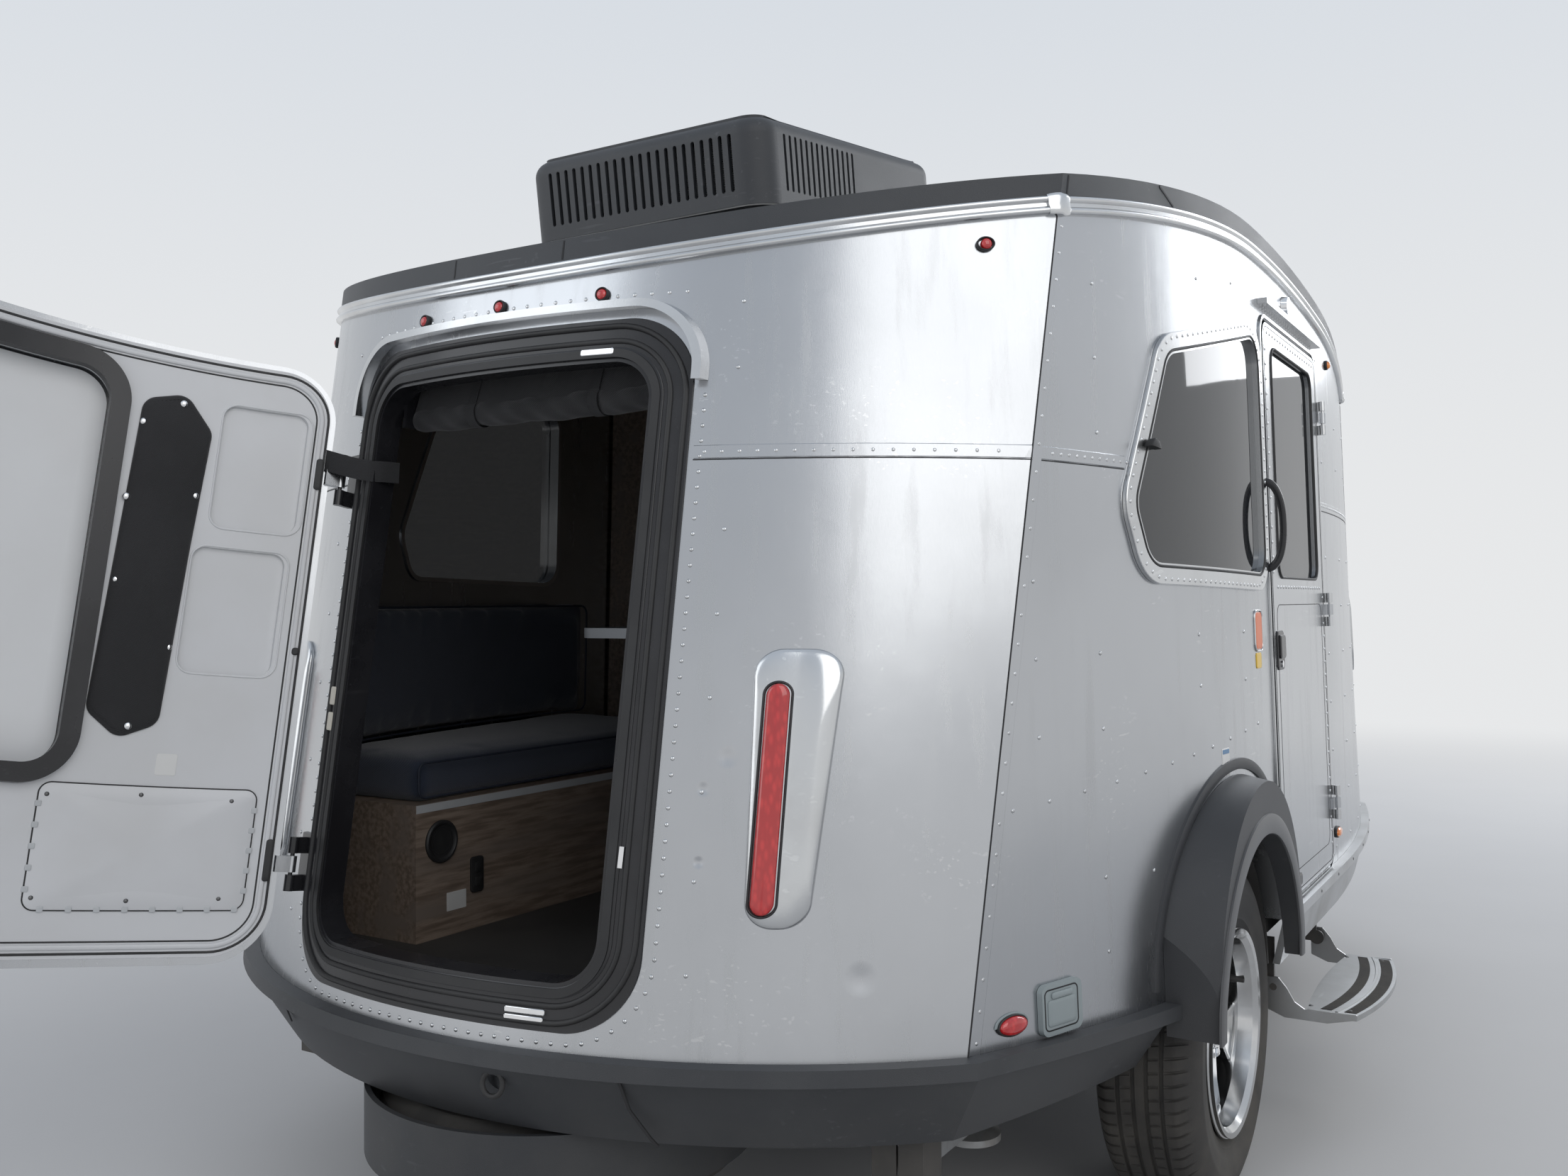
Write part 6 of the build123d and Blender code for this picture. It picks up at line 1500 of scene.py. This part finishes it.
def block_grid(counts, place):
    """Closed surface of a unit block, each point moved by a map to millimetres."""
    verts, faces = [], []
    for axis in range(3):
        a, b = [n for n in range(3) if n != axis]
        s, t = np.meshgrid(np.linspace(0, 1, counts[a] + 1), np.linspace(0, 1, counts[b] + 1), indexing="ij")
        for end in (0.0, 1.0):
            grid = np.zeros(s.shape + (3,))
            grid[..., a], grid[..., b], grid[..., axis] = s, t, end
            quads = grid_faces(counts[a] + 1, counts[b] + 1)
            verts.append(grid.reshape(-1, 3))
            faces.append(quads if (end == 0.0) != (axis == 1) else quads[:, ::-1])
    total, moved = 0, []
    for points, quads in zip(verts, faces):
        moved.append(quads + total)
        total += len(points)
    keys, index = np.unique(np.round(np.concatenate(verts), 6), axis=0, return_inverse=True)
    return place(keys), index.reshape(-1)[np.concatenate(moved)]


def settled(made, voxel, cap):
    """Swells a pad by cloth pressure without gravity after a voxel remesh; no point moves past a cap."""
    scene = bpy.context.scene
    remesh = made.modifiers.new("remesh", "REMESH")
    remesh.mode = "VOXEL"
    remesh.voxel_size = voxel
    keep_mesh(made)
    count = len(made.data.vertices)
    rest = np.empty(count * 3)
    made.data.vertices.foreach_get("co", rest)
    cloth = made.modifiers.new("cloth", "CLOTH")
    cloth.settings.quality = 5
    cloth.settings.use_pressure = True
    cloth.settings.uniform_pressure_force = CLOTH_PRESSURE
    cloth.settings.effector_weights.gravity = 0.0
    cloth.point_cache.frame_start = 1
    cloth.point_cache.frame_end = CLOTH_FRAMES
    for number in range(1, CLOTH_FRAMES + 1):
        scene.frame_set(number)
    solved = made.evaluated_get(bpy.context.evaluated_depsgraph_get())
    moved = np.empty(count * 3)
    solved.data.vertices.foreach_get("co", moved)
    shift = (moved - rest).reshape(-1, 3)
    length = np.linalg.norm(shift, axis=1, keepdims=True)
    shift *= np.minimum(1.0, cap / np.maximum(length, 1e-9))
    made.modifiers.remove(cloth)
    made.data.vertices.foreach_set("co", (rest.reshape(-1, 3) + shift).ravel())
    made.data.update()
    scene.frame_set(1)
    made.data.polygons.foreach_set("use_smooth", np.ones(len(made.data.polygons), bool))
    smooth = made.modifiers.new("round", "SUBSURF")
    smooth.levels = smooth.render_levels = 1


def keep_mesh(made):
    """Replaces an object's mesh by what its modifiers make of it."""
    solved = made.evaluated_get(bpy.context.evaluated_depsgraph_get())
    mesh = bpy.data.meshes.new_from_object(solved)
    made.modifiers.clear()
    made.data = mesh


def inset_y(x, z, inset):
    """Distance from the midline of the skin moved in, at a station and a height."""
    u = side_u(x, z)
    return -skin(u, z, -inset)[..., 1]


def build_soft(crown):
    """Bench pads with piped seams, the rolled screen and the hatch strap."""
    rear, front, low, middle, high = BENCH
    gap = crown * 0.6
    for flip, side in ((-1.0, "right"), (1.0, "left")):
        def seat(p):
            x = rear + gap + (front - rear - 2 * gap) * p[:, 0]
            z = low + 2 + (middle - low - gap) * p[:, 2]
            inner = 462.0 + gap
            outer = inset_y(x, z, 62.0 + gap)
            return np.stack([x, flip * (inner + (outer - inner) * p[:, 1]), z], -1)

        def back(p):
            x = rear + 20 + gap + (front - rear - 20 - 2 * gap) * p[:, 0]
            z = middle + 2 + gap + (high - middle - 2 * gap) * p[:, 2]
            inner, outer = inset_y(x, z, 146.0 - gap), inset_y(x, z, 57.0 + gap * 0.4)
            return np.stack([x, flip * (inner + (outer - inner) * p[:, 1]), z], -1)

        for name, place, counts in (("seat_pad_", seat, (40, 16, 4)), ("back_pad_", back, (40, 4, 14))):
            made = piece(name + side, block_grid(counts, place), OWN, "fabric_navy")
            settled(made, 0.016, 0.012)
            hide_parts("bench_cushions")

        # piping round the front edge of each seat pad and the face of each back pad
        cord = 2.8 * circle(8)
        seams = []
        loop = rounded_loop(rear + 8, front - 8, low + 12, middle - 10, 18, 6, 40)
        line = np.stack([loop[:, 0], np.full(len(loop), flip * 462.0), loop[:, 1]], -1)
        seams.append(swept_ring((line, [0.0, -flip, 0.0]), cord))
        loop = rounded_loop(rear + 30, front - 10, middle + 14, high - 12, 26, 6, 40)
        reach = inset_y(loop[:, 0], loop[:, 1], 145.0)
        line = np.stack([loop[:, 0], flip * reach, loop[:, 1]], -1)
        seams.append(swept_ring((line, [0.0, -flip, 0.0]), cord))
        piece("pad_piping_" + side, joined(seams), OWN, "fabric_navy", "piping_navy")

    build_screen()
    build_strap()


def build_screen():
    """Rolled insect screen: a tube with folds and a spiral lap, its cloth header, two flat straps and end cheeks."""
    y = np.linspace(-SCREEN_HALF, SCREEN_HALF, 180)
    turn = np.linspace(0, 2 * math.pi, 40, endpoint=False)
    s, t = y[:, None], turn[None]
    wave = 1.3 * np.sin(s / 21 + 2.2 * np.sin(t)) + np.sin(s / 9.0 + 3 * t) * np.sin(t / 2) ** 2
    wave += 0.8 * np.sin(s / 47 + t * 2)
    lap = 2.6 * ((t / (2 * math.pi)) % 1.0) - 1.3
    pinch = sum(np.exp(-(((s - at) / 16.0) ** 2)) for at in SCREEN_STRAPS)
    radius = 24.6 + wave + lap * 0.9 - 2.6 * pinch
    radius = radius * np.minimum(1.0, 0.84 + 0.16 * np.sqrt(np.clip((SCREEN_HALF - np.abs(s)) / 14.0, 0, 1)))
    parts = [closed_tube(about_axle(SCREEN[0], SCREEN[2], radius, t, s))]
    header = []
    for at in y[::3]:
        sway = 1.5 * math.sin(at / 26.0)
        top = sway * 0.4
        header.append([(281 + sway, at, 1605), (301 + sway, at, 1611), (312 + top, at, 1676), (306 + top, at, 1676)])
    parts.append(closed_tube(np.array(header)))
    roll = piece("screen_roll", joined(parts), OWN, "fabric_black", sharp=70)
    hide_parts("rolled_screen")
    straps = []
    for at in SCREEN_STRAPS:
        ring = np.linspace(0, 2 * math.pi, 48, endpoint=False)
        line = about_axle(SCREEN[0], SCREEN[2], 26.0, ring, at)
        normal = unit(line - SCREEN - np.array([0.0, at, 0.0]))
        straps.append(swept_ring((line, normal), mirrored((11, -0.8), (11, 0.8))))
        z = np.linspace(1612, 1676, 12)
        line = np.stack([np.interp(z, [1612, 1676], [281.0, 304.0]), np.full(12, at), z], -1)
        straps.append(swept_run((line, [-1.0, 0.0, 0.0]), mirrored((11, -0.8), (11, 0.8))))
    piece("screen_straps", joined(straps), OWN, "fabric_black", "webbing_black", sharp=50)
    cheeks = []
    for at in (-SCREEN_HALF, SCREEN_HALF):
        z = np.linspace(1573, 1683, 12)
        u = rear_u(abs(at), z)
        near, far = frames(u, z, -47.0)[0], frames(u, z, -95.0)[0]
        near[:, 1], far[:, 1] = abs(at), abs(at)
        rings = []
        for a, b in zip(near, far):
            rings.append([(a[0], at - 4, a[2]), (b[0], at - 4, b[2]), (b[0], at + 4, b[2]), (a[0], at + 4, a[2])])
        cheeks.append(closed_tube(np.array(rings)))
    cheek = piece("screen_cheeks", joined(cheeks), OWN, "fabric_black", "frame_black", smooth=False)
    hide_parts("rolled_screen")


def build_strap():
    """Flat webbing strap from the jamb of the opening to the inner frame of the open hatch."""
    inner = on_tail(321.0, 1482.0, -44.0)[0]
    edge_in = on_tail(320.5, 1484.0, -8.0)[0]
    edge_out = on_tail(327.0, 1485.0, 9.0)[0]
    hatch_y, hatch_z = np.array([362.0, 340.0]), np.array([1505.0, 1505.0])
    held = swung_frames(frames(rear_u(hatch_y, hatch_z), hatch_z, 23.5, True))[0]
    knots = np.stack([inner, edge_in, edge_out, held[0], held[1]])
    steps = np.concatenate([[0.0], np.cumsum(np.linalg.norm(np.diff(knots, axis=0), axis=1))])
    at = np.linspace(0, steps[-1], 90)
    line = np.stack([np.interp(at, steps, knots[:, n]) for n in range(3)], -1)
    for _ in range(10):
        line[1:-1] = (line[:-2] + 2 * line[1:-1] + line[2:]) / 4
    line[:, 2] -= 3.0 * np.sin(np.linspace(0, math.pi, 90)) ** 2
    ahead = unit(np.gradient(line, axis=0))
    across = unit(np.array([0.0, 0.0, 1.0]) - ahead * ahead[:, 2:])
    profile = [(-20.0, -1.0), (-18, -1.3), (18, -1.3), (20.0, -1.0), (20.0, 1.0), (18, 1.3), (-18, 1.3), (-20.0, 1.0)]
    shape = swept((line, ahead, across, np.cross(ahead, across)), profile)
    strap = piece("hatch_strap", shape, None, "fabric_black", "webbing_black", smooth=False)
    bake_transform(strap)

    # eye screws at the hatch end
    spots = np.array([[352.0, 1540.0], [345.0, 1478.0]])
    point, along, up, normal = swung_frames(frames(rear_u(spots[:, 0], spots[:, 1]), spots[:, 1], 25.6, True))
    head = dome_template(6.0, 3.4, 14)
    piece("strap_screws", scattered(head, (point, along, -up, -normal)), "hatch", "trim_bright", "chrome")


# ---- stage ----
def stood(name, data, side, up, back, place):
    """A camera or lamp that looks against its back direction from a place."""
    made = bpy.data.objects.new(name, data)
    bpy.context.scene.collection.objects.link(made)
    axes = np.eye(4)
    axes[:3] = np.stack([side, up, back, place], -1)
    made.matrix_world = Matrix(axes.tolist())
    return made


def camera_and_stage(size):
    """Camera at the photograph's viewing angle, plain floor and backdrop, and soft lights."""
    scene = bpy.context.scene
    heading, pitch, roll = np.radians(CAMERA_TURN)
    ahead = np.array([math.cos(heading) * math.cos(pitch), math.sin(heading) * math.cos(pitch), math.sin(pitch)])
    right = np.array([math.sin(heading), -math.cos(heading), 0.0])
    up = np.cross(right, ahead)
    right_rolled = right * math.cos(roll) + up * math.sin(roll)
    up_rolled = up * math.cos(roll) - right * math.sin(roll)
    data = bpy.data.cameras.new("camera")
    data.sensor_width = 36.0
    data.lens = CAMERA_LENS
    data.clip_end = 100.0
    scene.camera = stood("camera", data, right_rolled, up_rolled, -ahead, CAMERA_PLACE)

    reach = 60.0
    verts = np.array([[-reach, -reach, 0], [reach, -reach, 0], [reach, reach, 0], [-reach, reach, 0]], float)
    mesh = bpy.data.meshes.new("floor")
    mesh.from_pydata(verts.tolist(), [], [[0, 1, 2, 3]])
    mesh.update()
    ground = bpy.data.objects.new("stage_floor", mesh)
    scene.collection.objects.link(ground)
    tree, shader = blank("stage_pale")
    place = object_place(tree)
    tone = mixed(tree, noise(tree, place, 1.5), rgba((0.60, 0.60, 0.59)), rgba((0.64, 0.64, 0.63)))
    wire(tree, shader, {"Base Color": tone, "Roughness": 0.85})
    haze = node(tree, "ShaderNodeVectorMath", {0: place, 1: (-2.3, 0.0, 0.0)}, operation="DISTANCE").outputs["Value"]
    rays = tree.nodes.new("ShaderNodeLightPath").outputs
    looked = maths(tree, "MAXIMUM", rays["Is Camera Ray"], rays["Is Glossy Ray"])
    far = maths(tree, "MULTIPLY", spread(tree, haze, 3.2, 11.0), looked)
    glow = node(tree, "ShaderNodeEmission", {"Color": (0.80, 0.81, 0.82, 1.0), "Strength": 1.0}).outputs[0]
    faded = node(tree, "ShaderNodeMixShader", {0: far, 1: shader.outputs[0], 2: glow}).outputs[0]
    below = node(tree, "ShaderNodeNewGeometry").outputs["Backfacing"]
    clear = node(tree, "ShaderNodeBsdfTransparent").outputs[0]
    open_below = node(tree, "ShaderNodeMixShader", {0: below, 1: faded, 2: clear}).outputs[0]
    tree.links.new(open_below, tree.nodes["Material Output"].inputs["Surface"])
    ground.data.materials.append(FINISH["stage_pale"])

    world = bpy.data.worlds.new("stage_world")
    scene.world = world
    world.use_nodes = True
    tree = world.node_tree
    tree.nodes.clear()
    end = tree.nodes.new("ShaderNodeOutputWorld")
    rays = tree.nodes.new("ShaderNodeLightPath").outputs
    looked = maths(tree, "MAXIMUM", rays["Is Camera Ray"], rays["Is Glossy Ray"])
    seen = maths(tree, "MAXIMUM", looked, rays["Is Transmission Ray"])
    soft = node(tree, "ShaderNodeBackground", {"Color": (0.86, 0.90, 1.0, 1.0), "Strength": 0.55}).outputs[0]
    around = node(tree, "ShaderNodeTexCoord").outputs["Generated"]
    height_z = node(tree, "ShaderNodeSeparateXYZ", {"Vector": around}).outputs["Z"]
    sky = mixed(tree, spread(tree, height_z, 0.0, 0.75), rgba((0.80, 0.81, 0.82)), rgba((0.60, 0.66, 0.74)))
    shown = node(tree, "ShaderNodeBackground", {"Color": sky, "Strength": 1.0}).outputs[0]
    blend = node(tree, "ShaderNodeMixShader", {0: seen, 1: soft, 2: shown}).outputs[0]
    tree.links.new(blend, end.inputs["Surface"])

    for name, centre, aim, power, wide, tint in (
        ("key_light", (-7.5, -6.5, 6.0), (-3.2, 0.0, 0.9), 215.0 * size, 7.0, (1.0, 0.98, 0.95)),
        ("fill_light", (-9.5, 4.5, 4.2), (-3.2, 0.0, 1.0), 125.0 * size, 6.0, (0.94, 0.97, 1.0)),
        ("nose_light", (4.5, -3.5, 5.0), (-2.0, 0.0, 1.0), 200.0 * size, 4.0, (0.95, 0.97, 1.0)),
    ):
        lamp = bpy.data.lights.new(name, "AREA")
        lamp.energy, lamp.size, lamp.color = power, wide, tint
        back = unit(np.array(centre) - np.array(aim))
        side = unit(np.cross((0.0, 0.0, 1.0), back))
        stood(name, lamp, side, np.cross(back, side), back, centre)
    scene.view_settings.view_transform = "Standard"


# ---- add-on ----
class CaravanLooks(bpy.types.PropertyGroup):
    rivet_size: bpy.props.FloatProperty(
        name="Rivet width", description="Width of a rivet head in millimetres", default=7.4, min=4.0, max=12.0,
    )
    rivet_spacing: bpy.props.FloatProperty(
        name="Rivet spacing", description="Distance between rivets of a seam in millimetres", default=27.0, min=15.0,
        max=60.0,
    )
    ring_width: bpy.props.FloatProperty(
        name="Lamp rim width", description="Width of the rims round the lamps in millimetres", default=3.0, min=1.0,
        max=6.0,
    )
    bead_height: bpy.props.FloatProperty(
        name="Moulding bead height", description="Height of the two beads of the roof edge moulding in millimetres",
        default=12.0, min=8.0, max=14.0,
    )
    gasket_width: bpy.props.FloatProperty(
        name="Gasket half width", description="Half width of the window gaskets in millimetres", default=2.6, min=1.0,
        max=5.0,
    )
    opening_bead: bpy.props.FloatProperty(
        name="Opening bead height", description="Height of the rubber beads round the tail opening in millimetres",
        default=10.0, min=5.0, max=14.0,
    )
    tread_depth: bpy.props.FloatProperty(
        name="Tread depth", description="Depth of the tyre grooves in millimetres", default=6.5, min=1.0, max=8.0,
    )
    lip_thickness: bpy.props.FloatProperty(
        name="Fender lip thickness", description="Thickness of the lip on each fender in millimetres", default=5.0,
        min=1.0, max=8.0,
    )
    fin_pitch: bpy.props.FloatProperty(
        name="Fin pitch", description="Distance between cooling fins in millimetres", default=4.5, min=3.0, max=10.0,
    )
    edge_band: bpy.props.FloatProperty(
        name="Edge band", description="Thickness of the bands on table and bench edges in millimetres", default=1.6,
        min=0.5, max=4.0,
    )
    pad_crown: bpy.props.FloatProperty(
        name="Pad crown", description="How far the edges of a bench pad fall below its middle in millimetres",
        default=9.0, min=0.0, max=20.0,
    )
    light_power: bpy.props.FloatProperty(
        name="Light power", description="Scale of the power of every lamp", default=1.0, min=0.1, max=4.0,
        subtype="FACTOR",
    )
    cushion_colour: bpy.props.FloatVectorProperty(
        name="Cushion colour", description="Colour of the bench pads between their pale threads",
        default=(0.016, 0.024, 0.045), min=0.0, max=1.0, subtype="COLOR",
    )
    lens_colour: bpy.props.FloatVectorProperty(
        name="Tail lens colour", description="Deep colour of the red lenses",
        default=(0.40, 0.010, 0.012), min=0.0, max=1.0, subtype="COLOR",
    )


def looks(context):
    """Settings of the caravan in the scene."""
    return context.scene.caravan_looks


class CARAVAN_OT_finishes(bpy.types.Operator):
    """Builds the shader groups and finishes and dresses every node of the frame"""
    bl_idname = "caravan.finishes"
    bl_label = "Finishes"

    def execute(self, context):
        make_finishes(tuple(looks(context).cushion_colour), tuple(looks(context).lens_colour))
        dress_nodes()
        return {"FINISHED"}


class CARAVAN_OT_skin(bpy.types.Operator):
    """Adds rivets, seam laps, badges and labels to the aluminium skin"""
    bl_idname = "caravan.skin"
    bl_label = "Riveted skin"

    def execute(self, context):
        build_skin(looks(context).rivet_size, looks(context).rivet_spacing)
        return {"FINISHED"}


class CARAVAN_OT_lamps(bpy.types.Operator):
    """Adds the tail lamp housings, lenses and lamp rims"""
    bl_idname = "caravan.lamps"
    bl_label = "Lamps"

    def execute(self, context):
        build_lamps(looks(context).ring_width)
        return {"FINISHED"}


class CARAVAN_OT_roof_edge(bpy.types.Operator):
    """Adds the beaded moulding round the roof edge"""
    bl_idname = "caravan.roof_edge"
    bl_label = "Roof edge"

    def execute(self, context):
        build_roof_edge(looks(context).bead_height)
        return {"FINISHED"}


class CARAVAN_OT_openings(bpy.types.Operator):
    """Adds bands, gaskets, lines and fittings of the windows and the entry door"""
    bl_idname = "caravan.openings"
    bl_label = "Windows and door"

    def execute(self, context):
        build_openings(looks(context).gasket_width)
        return {"FINISHED"}


class CARAVAN_OT_hatch(bpy.types.Operator):
    """Adds beads round the tail opening and the details of the hatch's inner face"""
    bl_idname = "caravan.hatch"
    bl_label = "Hatch"

    def execute(self, context):
        build_hatch(looks(context).opening_bead)
        return {"FINISHED"}


class CARAVAN_OT_wheels(bpy.types.Operator):
    """Adds the treaded tyres and the fittings of the wheels"""
    bl_idname = "caravan.wheels"
    bl_label = "Wheels"

    def execute(self, context):
        build_wheels(looks(context).tread_depth)
        return {"FINISHED"}


class CARAVAN_OT_running_gear(bpy.types.Operator):
    """Adds fender lips, bumper ring, step grips and sill screws"""
    bl_idname = "caravan.running_gear"
    bl_label = "Fenders, bumper and step"

    def execute(self, context):
        build_running_gear(looks(context).lip_thickness)
        return {"FINISHED"}


class CARAVAN_OT_roof_unit(bpy.types.Operator):
    """Adds fins, gasket bead and screws of the roof unit"""
    bl_idname = "caravan.roof_unit"
    bl_label = "Roof unit"

    def execute(self, context):
        build_roof_unit(looks(context).fin_pitch)
        return {"FINISHED"}


class CARAVAN_OT_cabin(bpy.types.Operator):
    """Adds the small fittings seen in the cabin"""
    bl_idname = "caravan.cabin"
    bl_label = "Cabin fittings"

    def execute(self, context):
        build_cabin(looks(context).edge_band)
        return {"FINISHED"}


class CARAVAN_OT_soft(bpy.types.Operator):
    """Adds the bench pads, the rolled screen and the hatch strap"""
    bl_idname = "caravan.soft"
    bl_label = "Soft parts"

    def execute(self, context):
        build_soft(looks(context).pad_crown)
        return {"FINISHED"}


class CARAVAN_OT_stage(bpy.types.Operator):
    """Sets the camera, floor, backdrop and lamps"""
    bl_idname = "caravan.stage"
    bl_label = "Camera and stage"

    def execute(self, context):
        camera_and_stage(looks(context).light_power)
        return {"FINISHED"}


STEPS = (
    CARAVAN_OT_finishes, CARAVAN_OT_skin, CARAVAN_OT_lamps, CARAVAN_OT_roof_edge, CARAVAN_OT_openings, CARAVAN_OT_hatch,
    CARAVAN_OT_wheels, CARAVAN_OT_running_gear, CARAVAN_OT_roof_unit, CARAVAN_OT_cabin, CARAVAN_OT_soft,
    CARAVAN_OT_stage,
)


class CARAVAN_PT_looks(bpy.types.Panel):
    """Sidebar panel with every size and every step"""
    bl_label = "Caravan"
    bl_idname = "CARAVAN_PT_looks"
    bl_space_type = "VIEW_3D"
    bl_region_type = "UI"
    bl_category = "Caravan"

    def draw(self, context):
        for name in CaravanLooks.__annotations__:
            self.layout.prop(looks(context), name)
        for step in STEPS:
            self.layout.operator(step.bl_idname)


CLASSES = (CaravanLooks,) + STEPS + (CARAVAN_PT_looks,)


def register():
    for cls in CLASSES:
        bpy.utils.register_class(cls)
    bpy.types.Scene.caravan_looks = bpy.props.PointerProperty(type=CaravanLooks)


def unregister():
    del bpy.types.Scene.caravan_looks
    for cls in reversed(CLASSES):
        bpy.utils.unregister_class(cls)


def main():
    """Registers the add-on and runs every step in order."""
    register()
    bpy.ops.caravan.finishes()
    bpy.ops.caravan.skin()
    bpy.ops.caravan.lamps()
    bpy.ops.caravan.roof_edge()
    bpy.ops.caravan.openings()
    bpy.ops.caravan.hatch()
    bpy.ops.caravan.wheels()
    bpy.ops.caravan.running_gear()
    bpy.ops.caravan.roof_unit()
    bpy.ops.caravan.cabin()
    bpy.ops.caravan.soft()
    bpy.ops.caravan.stage()


if __name__ == "__main__":
    main()
